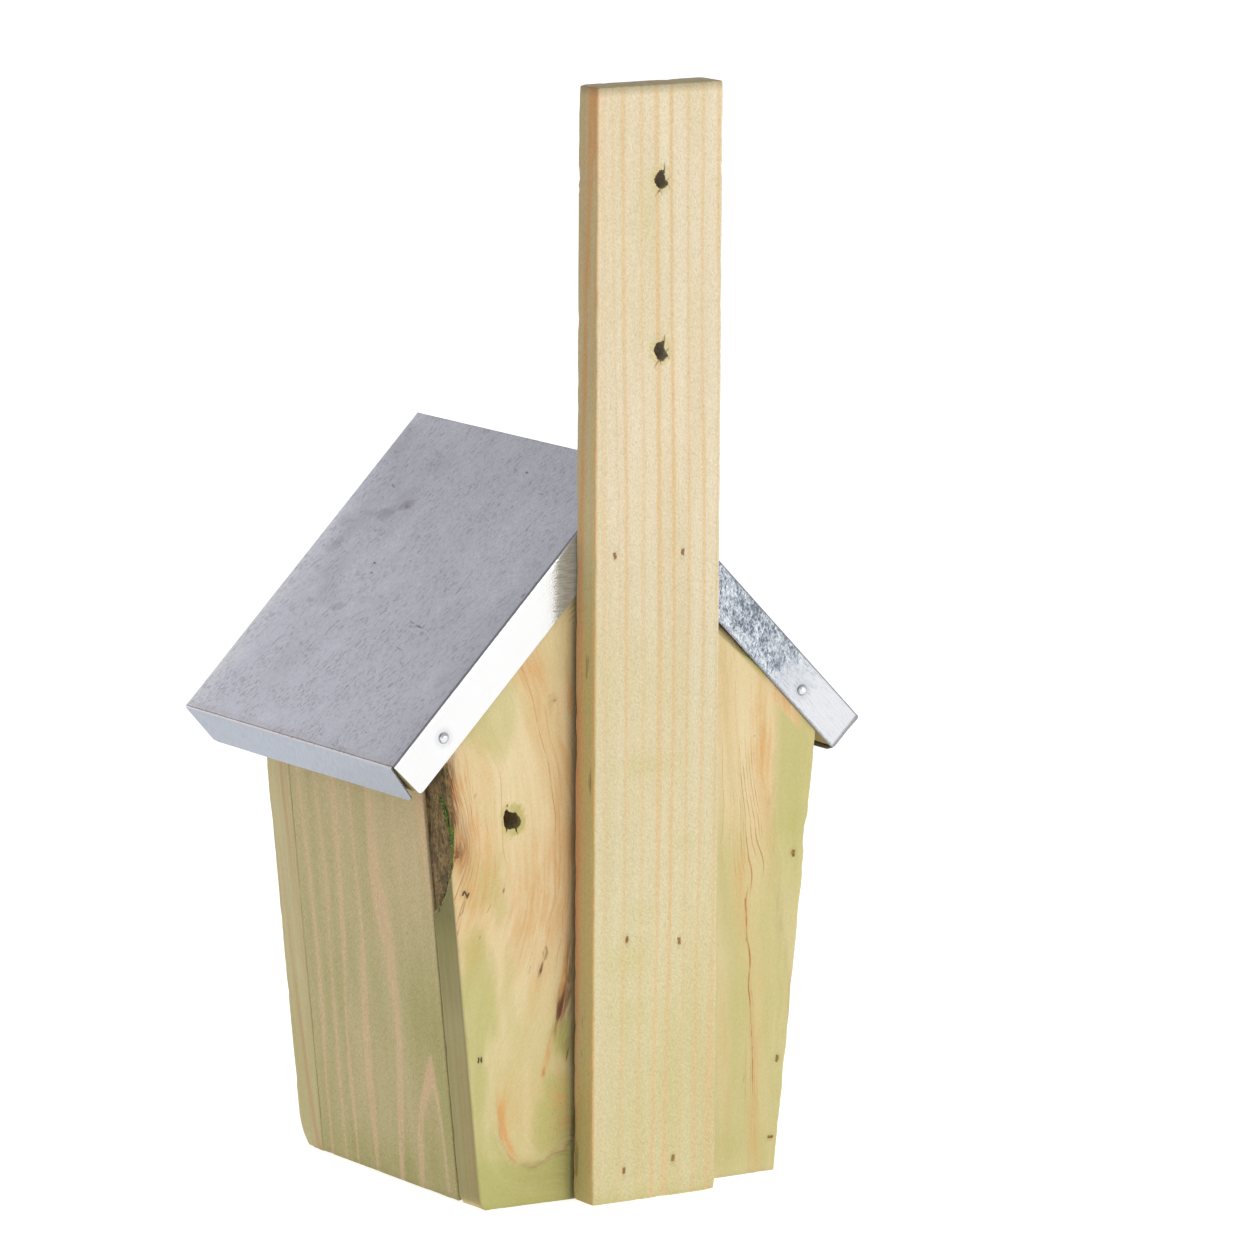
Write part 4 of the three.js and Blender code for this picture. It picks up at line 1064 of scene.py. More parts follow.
    # a tongue of paler wood ends in a bow just above the foot
    tongue = [(22, 23), (23.4, 19.6), (25.4, 17.6), (27.4, 17.0), (29.6, 17.4), (31.6, 15.8), (34.0, 13.9), (38, 13.3), (42, 14), (45, 15.4), (47.5, 18), (49.6, 21.4), (50.9, 25),
              (51.7, 30), (52.0, 36), (52.8, 44), (54, 52), (51, 60), (46, 66), (40, 64), (36, 56), (34.5, 47), (33, 42.5), (29, 40), (22, 44)]
    sd = area(x, z, tongue) + 0.35 * vnoise(np.stack([x / 2.6, z / 2.6, z * 0], 1), 517)
    within = smooth(0.8, -0.8, sd)
    low = smooth(64, 46, z)
    green = np.maximum.reduce([
        0.46 * patch(x, z, [(67, 166), (60, 157), (54, 156), (47, 160), (43, 164), (43, 172), (47, 179), (52, 182), (60, 174)], 4.5, 1.4, 1),
        0.12 * patch(x, z, [(22, 214), (23, 181), (30, 179), (35, 186), (33, 196), (27, 206)], 3.0, 0.8, 2),
        0.44 * patch(x, z, [(63, 120), (62.5, 105), (56, 104), (52, 99), (48.5, 102), (47.5, 112), (50.5, 121), (55, 118)], 4.0, 2.2, 3),
        0.80 * patch(x, z, [(66, 91), (60.5, 98), (57, 97), (52.5, 88), (51, 76), (50.5, 64), (55, 52), (56.5, 40), (56, 24), (50, 10), (40, 5), (22, 8), (22, -3), (60, -3), (62, 20), (64, 45), (67, 75)], 4.5, 1.4, 4) * (1 - 0.75 * within * low),
        0.86 * smooth(0.3, 1.5, sd) * smooth(40, 22, z) * (x > 20) * (0.75 + 0.42 * smooth(30, 18, z) * smooth(54, 42, x)),
        1.05 * patch(x, z, [(30.0, 58.5), (27.4, 62), (22, 64), (22, 46), (26.0, 48.5), (28.8, 51.5)], 3.4, 0.7, 5),
        0.74 * patch(x, z, [(37, 46), (29, 45), (22, 42), (20, 22), (26, 18), (34, 16), (40, 20), (37, 32)], 4.6, 1.4, 6),
        0.30 * smooth(105, 40, z) * (x > 20) * (1 - 0.5 * smooth(2.5, 0.5, np.abs(x - 40)) * smooth(20, 30, z) * smooth(52, 44, z)),
        0.36 * patch(x, z, [(50, 92), (52, 70), (48, 56), (43, 60), (46, 76), (47, 92)], 2.6, 1.0, 8),
    ])
    green += blobs(x, z, [
        (-66, 140, 8, 36, 0.34), (-68, 108, 7, 20, 0.34), (-63, 62, 4.8, 26, 0.30), (-61, 26, 4, 16, 0.16),
        (-39, 104, 4.0, 14, 0.26), (-40, 90, 4.0, 10, 0.16), (-44.5, 58, 4.6, 28, 0.34), (-46, 26, 4, 16, 0.12), (-42, 8, 8, 11, 0.36), (-57, 6, 5, 9, 0.22), (-48, 142, 3, 6, 0.20), (-46.3, 118, 1.6, 14, 0.22),
        (-55, 88, 4.5, 18, 0.20), (-37.5, 126, 1.6, 20, 0.15), (-56, 50, 2.8, 16, 0.18),
        (-50, 60, 30, 34, 0.18), (-50, 20, 30, 24, 0.20), (-50, 110, 24, 30, 0.12),
    ])
    halo = np.hypot((x - 46.2) / 1.0, (z - 133.2) / 1.15) + 0.9 * vnoise(np.stack([x / 1.3, z / 1.3, z * 0], 1), 519)
    green += (x < -20) * 0.14 + 0.26 * smooth(-58.7, -59.9, x + 0.5 * vnoise(np.stack([z / 12.0, z * 0, z * 0], 1), 523)) * smooth(108, 122, z) * smooth(172, 158, z)
    green -= 0.20 * smooth(108, 138, z) * smooth(-62.5, -57, x) * (x < -20) + 0.05 * smooth(60, 90, z) * (x < -20)
    green += 0.45 * smooth(19, 10, z) * (x > 20)
    green += 0.95 * smooth(5.5, 4.0, halo) * (0.55 + 0.45 * smooth(48.5, 45.0, x)) * face
    wane = smooth(0.15, 0.9, into_of(v))
    green += 1.0 * wane * face_top(v)
    rim = within * smooth(-5.6, -0.8, sd) * smooth(42.5, 47, x) * smooth(43, 31, z)
    flare, fl_amp = poly_sdf(x, z, [[(28.8, 61, 0.5, 0.5), (30.6, 56, 0.9, 0.75), (32.2, 50.5, 0.8, 0.7), (33.0, 47.5, 0.8, 0.85), (33.8, 44.6, 0.5, 0.95)]])
    sweep, sw_amp = poly_sdf(x, z, [[(27.6, 64.5, 1.3, 0.75), (26.2, 71, 1.7, 0.75), (24.6, 80, 1.6, 0.70), (23.2, 92, 1.1, 0.5), (22.8, 104, 0.8, 0.4)]])
    pink = blobs(x, z, [
        (40, 184, 6, 5, 0.60), (37, 174, 4, 10, 0.30), (33, 160, 6, 16, 0.16), (26.6, 150, 2.6, 20, 0.32), (28.6, 122, 2.0, 20, 0.28),
        (68.5, 148, 4.0, 12, 0.58), (69.4, 138, 3.4, 13, 0.58), (66.5, 124, 4.8, 6.5, 0.62), (63.5, 132, 3.0, 9, 0.18), (64, 110, 5, 10, 0.16), (60, 152, 7, 10, 0.20), (63, 90, 4, 6, 0.12),
        (39.0, 72, 0.9, 5, 0.30), (36.8, 75.6, 0.8, 2.4, 0.5), (23.2, 125, 1.8, 40, 0.45), (23.4, 175, 1.8, 18, 0.45),
        (47, 36, 4, 10, 0.20), (27.2, 38.5, 2.8, 8, 0.55), (24.5, 28, 2.2, 7, 0.30),
        (-54.0, 160, 5.2, 26, 0.34), (-54.5, 145, 4.4, 13, 0.42), (-57, 128, 2.2, 6, 0.30), (-51, 118, 4.0, 16, 0.20), (-45.5, 106, 2.6, 13, 0.34), (-47, 90, 2.4, 9, 0.32),
        (-40, 172, 5, 22, 0.16), (-58, 114, 2.0, 10, 0.24), (-52.5, 66, 2.4, 16, 0.20), (-53.4, 44, 2.0, 12, 0.28), (-51.9, 14, 2.2, 18, 0.50),
        (-66, 62, 1.1, 10, 0.18), (-39.4, 50, 2.0, 20, 0.26), (-41, 26, 2.0, 14, 0.16),
    ])
    pink += blobs(x, z, [(33, 112, 16, 34, 0.26), (63, 110, 9, 14, 0.30), (34, 170, 12, 24, 0.08), (62, 90, 6, 10, 0.12), (38, 100, 15, 19, 0.36)]) * (x > 20)
    pink = np.maximum(pink, smooth(1.0, -0.3, flare) * fl_amp)
    pink = np.maximum(pink, smooth(1.0, -0.5, sweep) * sw_amp)
    pink += 0.86 * rim
    pink += 0.10 * within * smooth(60, 40, z) * (x > 26)
    light_patch = smooth(3.0, 1.6, np.abs(depth_of(x, z) - 16.6)) * smooth(-57.5, -60, x) * smooth(-71.5, -67, x)
    pink = pink + 0.50 * light_patch
    green *= 1 - 0.9 * light_patch
    brown = blobs(x, z, [
        (27.0, 67, 2.1, 7.0, 0.62), (23.9, 77, 1.7, 13, 0.60), (29.3, 59.6, 0.9, 2.5, 0.35), (33.6, 45.4, 0.7, 1.8, 0.26), (31.6, 53, 0.6, 6, 0.12), (30.5, 173.3, 1.5, 1.3, 0.40), (31.3, 170.6, 0.6, 2.4, 0.22), (40.6, 181.5, 0.4, 1.6, 0.16), (37.2, 176.5, 0.35, 2.2, 0.16), (38.8, 170.0, 0.35, 2.0, 0.14), (35.3, 80.4, 0.9, 3.0, 0.3),
        (25.0, 54, 4.5, 7, 0.20), (24.5, 22, 5.0, 16, 0.16), (34, 7, 16, 9, 0.15), (38, 100, 15, 19, 0.038), (23.0, 120, 1.4, 60, 0.12),
        (70.9, 142, 2.3, 17, 0.88), (69.4, 136, 2.6, 6, 0.46), (68.6, 124.6, 2.4, 3.4, 0.58), (71.6, 151, 2.0, 6, 0.35), (66.3, 116, 0.8, 4, 0.15), (67.5, 146, 2.5, 8, 0.10),
        (-61.4, 96, 0.7, 9, 0.14), (-62.6, 86, 1.0, 4.0, 0.16), (-64.8, 74, 0.8, 6, 0.14), (-66.3, 60, 0.7, 8, 0.20), (-57.2, 129.6, 1.2, 3.0, 0.10), (-59.3, 140, 0.3, 24, 0.12),
    ])
    brown += 0.10 * rim * smooth(-1.5, -0.3, sd) + 0.30 * smooth(1.15, 0.3, np.abs(sd)) * smooth(38, 26, z) * (0.35 + 0.65 * smooth(46, 38, x)) * (x > 21)
    brown -= blobs(x, z, [(30, 197, 9, 15, 0.34), (39.6, 36, 1.9, 10, 0.60), (40.5, 50, 2.0, 12, 0.25), (44, 152, 7, 12, 0.15)]) * (brown < 0.1)
    brown = np.where(light_patch > 0.05, brown - 2.0 * light_patch, brown)
    shadow_line = smooth(17.6, 15.4, depth_of(x, z)) * smooth(-60, -50, x) * (x < -20)
    green += 1.1 * shadow_line * face
    brown += 0.14 * shadow_line
    # the resinous stain beside the bark
    pink += blobs(x, z, [(59, 127, 6.5, 15, 0.40)])
    brown += blobs(x, z, [(65.2, 126, 2.8, 9.5, 0.46)])
    for a in (pink, brown):
        a *= face
    green = np.where(face > 0.3, green, 0.30 * edge_face + 0.15)
    brown = np.maximum(brown, 0.05 * edge_face + 0.07 * edge_face * smooth(100, 60, z) * smooth(58, 62, y) + 0.045 * edge_face * smooth(18, 34, z) * smooth(125, 100, z))
    pink = np.maximum(pink, edge_face * (0.16 * smooth(70, 20, z) * smooth(52, 58, y) + 0.05))
    # painted shade: the face darkens into the joint with the strip, and the long edge face is darkened as it takes less
    # light than the front
    joint = smooth(26.3, 22.6, x) * (x > 10) * face
    edge_shade = np.maximum(edge_face * 0.95, 0.85 * joint * (0.8 + 0.3 * fbm(np.stack([x * 0, z / 16.0, z * 0 + 3], 1), 3, 531)))
    # dark torn fibres round the pockets
    dirt_and_shade = np.zeros(len(x))
    for cx, cz, rr, s in ((65.4, 110.2, 1.0, 0.35), (63.9, 109.4, 1.0, 0.35), (58.8, 52.4, 1.2, 0.22), (-67.3, 110.7, 1.3, 0.30), (-61.5, 39.4, 1.3, 0.30)):
        dirt_and_shade += s * np.exp(-(((x - cx) / rr) ** 2 + ((z - cz) / rr) ** 2)) * face
    brown += 0.6 * np.exp(-(((x + 58.9) / 1.3) ** 2 + ((z - 12) / 0.7) ** 2)) * face
    sunk = (y < BACK_Y - 0.35) & (face > 0.0)
    # painted shade: the walls inside the pockets and inside the round hole are darkened, the hole more so deeper in
    for cx, cz, rr in ((64.6, 109.9, 2.4), (58.8, 52.4, 1.9), (-67.3, 110.7, 1.9), (-61.5, 39.4, 1.8), (-58.9, 12, 1.6)):
        dirt_and_shade = np.where((np.hypot(x - cx, z - cz) < rr) & (y < BACK_Y - 0.5) & (y > BACK_Y - 1.6), 0.85, dirt_and_shade)
    inside = (np.hypot(x - 46.4, z - 133.3) < 4.4) & (y < BACK_Y - 0.5) & (y > BACK_IN + 0.3)
    dirt_and_shade = np.where(inside, 0.72 + 0.2 * smooth(60, 52, y), dirt_and_shade)
    dirt_and_shade += 0.30 * (1 - smooth(0, 0.8, z)) + 0.25 * smooth(16.2, 14.6, depth_of(x, z)) * (x > 0) * face * 0
    # bark and moss on the waney edge
    low = np.interp(y, [47.8, 50, 53, 57, 60, 62.6], [101.5, 103, 105.5, 110, 115, 119.5])
    near_edge = smooth(1.15, 0.5, right_x(z) - x - 1.25 * smooth(120, 132, z))
    near_edge = np.where(y < BACK_Y - 0.55, smooth(3.6, 2.4, right_x(z) - x), near_edge)
    bark = near_edge * smooth(-0.6, 0.6, z - low) * smooth(156, 154.5, z)
    mline, _ = poly_sdf(y, z, [
        [(56.2, 142.5, 0.7, 1), (58.2, 139, 1.2, 1), (60.2, 134.5, 1.5, 1), (61.9, 130, 1.0, 1), (62.5, 125, 0.7, 1), (62.3, 121, 0.45, 1)],
        [(62.3, 121, 0.2, 1), (60.0, 116, 0.1, 1), (57.0, 111.5, 0.1, 1)],
    ])
    moss = near_edge * smooth(0.9, -0.3, mline)
    # painted shade: the sawn edge just below the bark is darkened, most towards the top, and tinted olive
    under = edge_face * (1 - np.clip(bark, 0, 1))
    dirt_and_shade = np.maximum(dirt_and_shade, under * (0.24 * smooth(90, 104, z) + 0.16 * smooth(62, 76, z)))
    green = green + 0.45 * under * smooth(70, 100, z)
    dark_hole = np.exp(-(((y - 51.3) / 1.3) ** 2 + ((z - 105.2) / 1.5) ** 2)) * (x > right_x(z) - 3.5) * (face < 0.9)
    dirt_and_shade = np.maximum(dirt_and_shade, dark_hole)
    crack, _ = poly_sdf(y, z, [[(49.5, 146.0, 0.15, 1), (51.5, 144.5, 0.2, 1), (53.2, 141.5, 0.25, 1), (53.4, 138.5, 0.15, 1)]])
    dirt_and_shade = np.maximum(dirt_and_shade, 0.75 * smooth(0.5, 0.0, crack) * (face < 0.5) * (x > right_x(z) - 3.5) * (x > 40))
    # painted shade in the two joints: behind the strip's edges, and beside the door
    dirt_and_shade = np.maximum(dirt_and_shade, 0.55 * smooth(23.4, 22.5, x) * smooth(17, 20, x) * face)
    dirt_and_shade = np.maximum(dirt_and_shade, 0.5 * smooth(-28.4, -27.8, x) * smooth(-20, -24, x) * face)
    dirt_and_shade = np.maximum(dirt_and_shade, 0.30 * smooth(0.45, 0.1, y - BACK_IN) * smooth(10, 4, right_x(z) - x) * (x > 40))
    pepper = smooth(0.25, 0.6, blobs(x, z, [(31, 34, 8, 13, 1.0), (46.4, 133, 5.5, 7, 0.9), (36, 22, 8, 6, 0.6), (54, 114, 7, 8, 0.5)])) * face
    bark = np.maximum(bark, np.where(z < 60, 0.075, 0.16) * pepper * (bark < 0.05))
    dress(obj, BACK_WOOD, sdf, amp, X, z, BACK_Y - y, edge=np.clip(edge_shade, 0, 1), green=np.clip(green, 0, 1), pink=np.clip(pink, 0, 1), brown=np.clip(brown, 0, 1),
          sdf2=marks, amp2=mamp, bark=bark, moss=moss, dirt_and_shade=np.clip(dirt_and_shade, 0, 1))
    fine = 0.20 + 0.72 * smooth(50, 57, x) * smooth(88, 112, z) * smooth(158, 146, z) + 0.55 * smooth(30, 38, x) * smooth(165, 180, z) + 0.35 * smooth(30, 36, x) * smooth(48, 42, x) * smooth(75, 90, z) * smooth(125, 110, z)
    fine += 0.20 * smooth(30, 26, x) * smooth(100, 120, z)
    fine = np.where(x < -30, 0.09, fine)
    fine = np.where(face < 0.4, 0.12, fine)
    write_fine(obj, fine * face + 0.5 * (1 - face))
    return obj


def depth_of(x, z):
    """Distance below the roof's outer faces."""
    return (RIDGE_Z - np.abs(x) * TAN - z) * COS


def into_of(v):
    x, z = v[:, 0], v[:, 2]
    cw = np.interp(x, [-54, -46, -37, -28], [0.0, 2.2, 3.3, 3.6])
    return np.clip(14.3 + cw - depth_of(x, z), 0, None)


def face_top(v):
    return ((v[:, 0] < -20) & (v[:, 1] > BACK_IN + 5)).astype(float)


def vertex_normals(v, quads):
    n = np.zeros_like(v)
    fn = np.cross(v[quads[:, 2]] - v[quads[:, 0]], v[quads[:, 3]] - v[quads[:, 1]])
    for k in range(4):
        np.add.at(n, quads[:, k], fn)
    return n / np.maximum(np.linalg.norm(n, axis=1, keepdims=True), 1e-12)


def board(name, L, S, T, C, r, place, body, node, seed, amount=0.1, scale=17.0, wear=0.3, shape=None, cutters=()):
    """One sawn board: a rounded, slightly uneven box mapped into place, then cut."""
    co, quads = grid_box(S, T, C)
    p, _ = rounded(co, L, r)
    v = place(p)
    quads = np.array(orient(v, quads.tolist()))
    nrm = vertex_normals(v, quads)
    w = np.abs(relief(p, seed, amount, scale)) + edge_wear(p, L, seed + 2, 1.1, wear)
    v = v - nrm * w[:, None]
    if shape:
        v = shape(v, p, nrm)
    obj = new_object(name, v, quads.tolist(), body, [node])
    cut(obj, cutters)
    return obj


def y_cylinder(x, z, y0, y1, r, n=28):
    c = circle(x, z, r, n)
    return loft([(y0, c), (y1, c)])


def ring_face(u, v, knots, spacing, half, seed, bend=0.0):
    """Growth rings that run along v and part round knots (u, v, size)."""
    X = u + bend * np.sin(v / 90.0 + seed)
    X = X + 1.5 * vnoise(np.stack([u / 60.0, v / 120.0, u * 0 + seed], 1), seed)
    for ku, kv, size in knots:
        g = np.exp(-(((v - kv) / (size * 3.2)) ** 2)) * np.exp(-np.abs(u - ku) / (size * 4))
        X = X - size * 0.95 * g * np.tanh((u - ku) / (size * 0.55))
    sdf, amp = rings_sdf(X, spacing, half, seed)
    return X, sdf, amp


def knot_marks(u, v, knots):
    """Dark hearts of knots as closed rings."""
    lines = []
    brown = np.zeros(len(u))
    for ku, kv, size in knots:
        for k, rr in enumerate((1.0, 0.62, 0.3)):
            lines.append([(ku + size * rr * math.cos(t), kv + size * rr * 0.86 * math.sin(t), 0.13 if k else 0.2, 0.75 - 0.15 * k)
                          for t in np.linspace(0, 6.283, 17)])
        brown += 0.62 * np.exp(-((np.hypot((u - ku) / size, (v - kv) / (size * 0.86)) / 0.95) ** 4))
        brown += 0.2 * np.exp(-((np.hypot((u - ku) / size, (v - kv) / (size * 0.86)) / 1.7) ** 2))
    sdf, amp = poly_sdf(u, v, lines) if lines else (np.full(len(u), 30.0), np.zeros(len(u)))
    return sdf, amp, brown


# ------------------------------------------------------------------ front gable with the entrance
def build_front():
    L = (150.0, APEX[1], 14.8)
    r = 0.5

    def shape(v, p, nrm):
        x, z = v[:, 0], v[:, 2]
        right = smooth(143, 149.4, p[:, 0]) * (z < 156)
        v[:, 0] -= right * (0.28 + 0.3 * fbm(v / 14.0, 3, 141))
        ease = right * smooth(5, 14, p[:, 2])
        v[:, 1] += ease * 3.4 * np.clip(1 - z / 12.0, 0, 1) ** 2
        v[:, 0] -= ease * 0.9 * np.clip(1 - z / 9.0, 0, 1) ** 2
        v[:, 0] -= (1 - smooth(0, 2.5, p[:, 0])) * -0.25 * vnoise(v / 11.0, 144)
        return v

    rim = circle(-1.5, 148, 16.0, 96)
    wear = 1 + 0.010 * vnoise(np.stack([rim[:, 0] * 0.5, rim[:, 1] * 0.5, rim[:, 0] * 0], 1), 150)
    mid = np.array([-1.5, 148.0])
    # birds' claws have worn the bottom of the rim
    low = smooth(4, -14, rim[:, 1] - 148) * (0.5 + 0.5 * vnoise(np.stack([rim[:, 0] * 0.9, rim[:, 1] * 0.4, rim[:, 0] * 0], 1), 151))

    def ring(k):
        return mid + (rim - mid) * (wear * k)[:, None]

    hole = loft([(-58.4, ring(1.085 + 0.03 * low)), (-57.2, ring(1.05 + 0.03 * low)), (-56.7, ring(1.022 + 0.02 * low)), (-55.9, ring(1.004 + 0.012 * low)),
                 (-54.6, ring(1.0 + 0 * low)), (-44.0, ring(1.0 + 0 * low)), (-43.0, ring(1.006 + 0 * low)), (-42.4, ring(1.03 + 0 * low)), (-41.6, ring(1.06 + 0 * low))])
    cutters = [hole]
    for n, (cx, cz, w_, h_, sp) in enumerate([
        (64.6, 109.6, 3.4, 3.3, 0.2), (58.8, 52.4, 3.2, 3.4, 0.1), (-67.3, 110.6, 1.6, 2.7, 0.1), (-62.6, 52.4, 1.6, 2.8, -0.1),
        (-58.9, 13.0, 1.6, 2.7, 0.1), (-28, 12.2, 1.6, 2.7, -0.15), (24, 11.6, 1.6, 2.8, 0.1),
    ]):
        v_, f_ = pocket(cx, cz, w_ * 0.86, h_ * 0.86, 57.2, 0.62, seed=160 + n, rough=0.22, spin=sp, n=16)
        cutters.append(([(a, -b, c) for a, b, c in v_], f_))
    obj = board("front_gable", L, spread(150, 1.25, r, fine=[(0, 6, 0.7), (144, 150, 0.6)]),
                spread(APEX[1], 2.1, r, extra=(SHOULDER_L[1], SHOULDER_R[1]), fine=[(128, 168, 1.5)]), spread(14.8, 1.2, r), r,
                lambda p: gable_place(p, lambda c: FRONT_IN - c), "house", "front_panel", 133, 0.11, 19, 0.35, shape, cutters)
    v = points_of(obj)
    x, y, z = v.T
    knots = [(37.0, 66.0, 4.4), (-44.0, 186.0 - 64, 3.0)]
    u = x + 0.35 * (y - FRONT_Y)
    X, sdf, amp = ring_face(u, z, knots, 7.4, 0.62, 17, bend=1.6)
    marks, mamp, kb = knot_marks(x, z, knots)
    face = smooth(FRONT_Y + 1.4, FRONT_Y + 0.4, y)
    # the long edge seen beside the door has its own stripes
    edge_face = smooth(0.9, 0.3, np.abs(x - right_x(z) + 0.3)) * (z < 155) * (y > FRONT_Y + 0.5) * (y < FRONT_IN - 0.3)
    es, ea = poly_sdf(y, z, [
        [(-47.4, 150, 1.0, 0.8), (-46.8, 120, 0.9, 0.8), (-46.2, 100, 0.5, 0.5), (-46.0, 70, 0.3, 0.35)],
        [(-53.6, 110, 0.3, 0.3), (-52.4, 84, 0.5, 0.6), (-51.2, 60, 0.7, 0.8), (-49.9, 44, 1.0, 0.95), (-48.6, 26, 1.1, 0.95), (-46.6, 10, 1.2, 0.8), (-44.6, 0, 1.4, 0.8)],
        [(-44.0, 150, 0.35, 0.5), (-43.6, 90, 0.25, 0.4), (-43.4, 40, 0.2, 0.3)],
        [(-55.6, 60, 0.3, 0.35), (-54.8, 30, 0.4, 0.4), (-53.8, 6, 0.4, 0.4)],
    ])
    on = edge_face > 0.4
    sdf, amp = np.where(on, es, sdf), np.where(on, ea, amp)
    X = np.where(on, y * 1.2, X)
    green = 0.22 + 0.30 * smooth(70, 0, z) + 0.25 * np.clip(fbm(v / np.array([16.0, 16, 40]), 3, 171), 0, 1)
    green = green * (1 - 0.55 * edge_face)
    green += blobs(x, z, [(55, 40, 14, 30, 0.3), (-60, 120, 10, 30, 0.3), (0, 124, 14, 8, 0.3)])
    pink = blobs(x, z, [(-30, 170, 14, 20, 0.4), (30, 120, 10, 30, 0.3), (62, 140, 5, 18, 0.45), (-54, 60, 8, 26, 0.35), (8, 60, 10, 30, 0.25)]) * face
    brown = kb * face + blobs(x, z, [(24, 11.6, 1.6, 2.2, 0.45), (-28, 12.2, 1.6, 2.2, 0.45), (-58.9, 13, 1.6, 2.2, 0.4), (-62.6, 52.4, 1.6, 2.2, 0.4), (-67.3, 110.6, 1.6, 2.2, 0.4)]) * face
    brown += 0.02 * edge_face
    rr = np.hypot(x + 1.5, z - 148)
    dirt_and_shade = 0.22 * face * smooth(22, 16.4, rr) * (0.4 + 0.6 * smooth(150, 130, z))
    dirt_and_shade += 0.30 * smooth(16.9, 16.1, rr) * (1 - face)
    dirt_and_shade += 0.34 * face * np.exp(-((x / 17.0) ** 2)) * np.clip(fbm(np.stack([x / 3.5, z * 0, z / 30.0], 1), 3, 177) + 0.2, 0, 1) * smooth(80, 128, z) * (z < 132)
    # painted shade: the walls inside the pockets are darkened
    for cx, cz, q in ((64.6, 109.6, 2.4), (58.8, 52.4, 2.4), (-67.3, 110.6, 1.9), (-62.6, 52.4, 1.9), (-58.9, 13, 1.9), (-28, 12.2, 1.9), (24, 11.6, 1.9)):
        dirt_and_shade = np.where((np.hypot(x - cx, z - cz) < q) & (y > FRONT_Y + 0.4) & (y < FRONT_Y + 1.4), 0.8, dirt_and_shade)
    dirt_and_shade += 0.2 * (1 - smooth(0, 1.2, z))
    # painted shade: the long edge face beside the door is darkened through the edge value, as it takes less light than
    # the front
    dress(obj, FRONT_WOOD, sdf, amp, X, z, y - FRONT_Y, edge=edge_face * (0.62 + 0.22 * smooth(20, 100, z)), green=np.clip(green, 0, 1), pink=np.clip(pink, 0, 1), brown=np.clip(brown, 0, 1),
          sdf2=np.where(face > 0.5, marks, 30.0), amp2=mamp, dirt_and_shade=np.clip(dirt_and_shade, 0, 1))
    return obj


# ------------------------------------------------------------------ the clean-out door
PIVOT, STOP = (64.6, 109.6), (58.8, 52.4)
DOOR_Y0, DOOR_Y1 = -41.7, 47.1


def door_place(p):
    c = p[:, 2] / 15.0
    z0, z1 = 0.3 + 2.1 * c, 155.18 + 13.91 * c
    z = z0 + p[:, 1] / 155.0 * (z1 - z0)
    return np.stack([57.8 + LEAN * z - 15.08 * c, DOOR_Y0 + p[:, 0], z], 1)


def stop_slot():
    r = 1.6
    dx, dz = STOP[0] - PIVOT[0], STOP[1] - PIVOT[1]
    upper, lower = [], []
    for i in range(9):
        a = i / 8 * 0.30
        x, z = dx * math.cos(a) + dz * math.sin(a), -dx * math.sin(a) + dz * math.cos(a)
        k = math.hypot(x, z)
        upper.append((PIVOT[0] + x * (1 - r / k), PIVOT[1] + z * (1 - r / k)))
        lower.append((PIVOT[0] + x * (1 + r / k), PIVOT[1] + z * (1 + r / k)))
    return lower[::-1] + [(STOP[0] + r * 0.72, STOP[1] - r * 0.72), (STOP[0] + r, STOP[1]), (STOP[0] + r * 0.72, STOP[1] + r * 0.72)] + upper


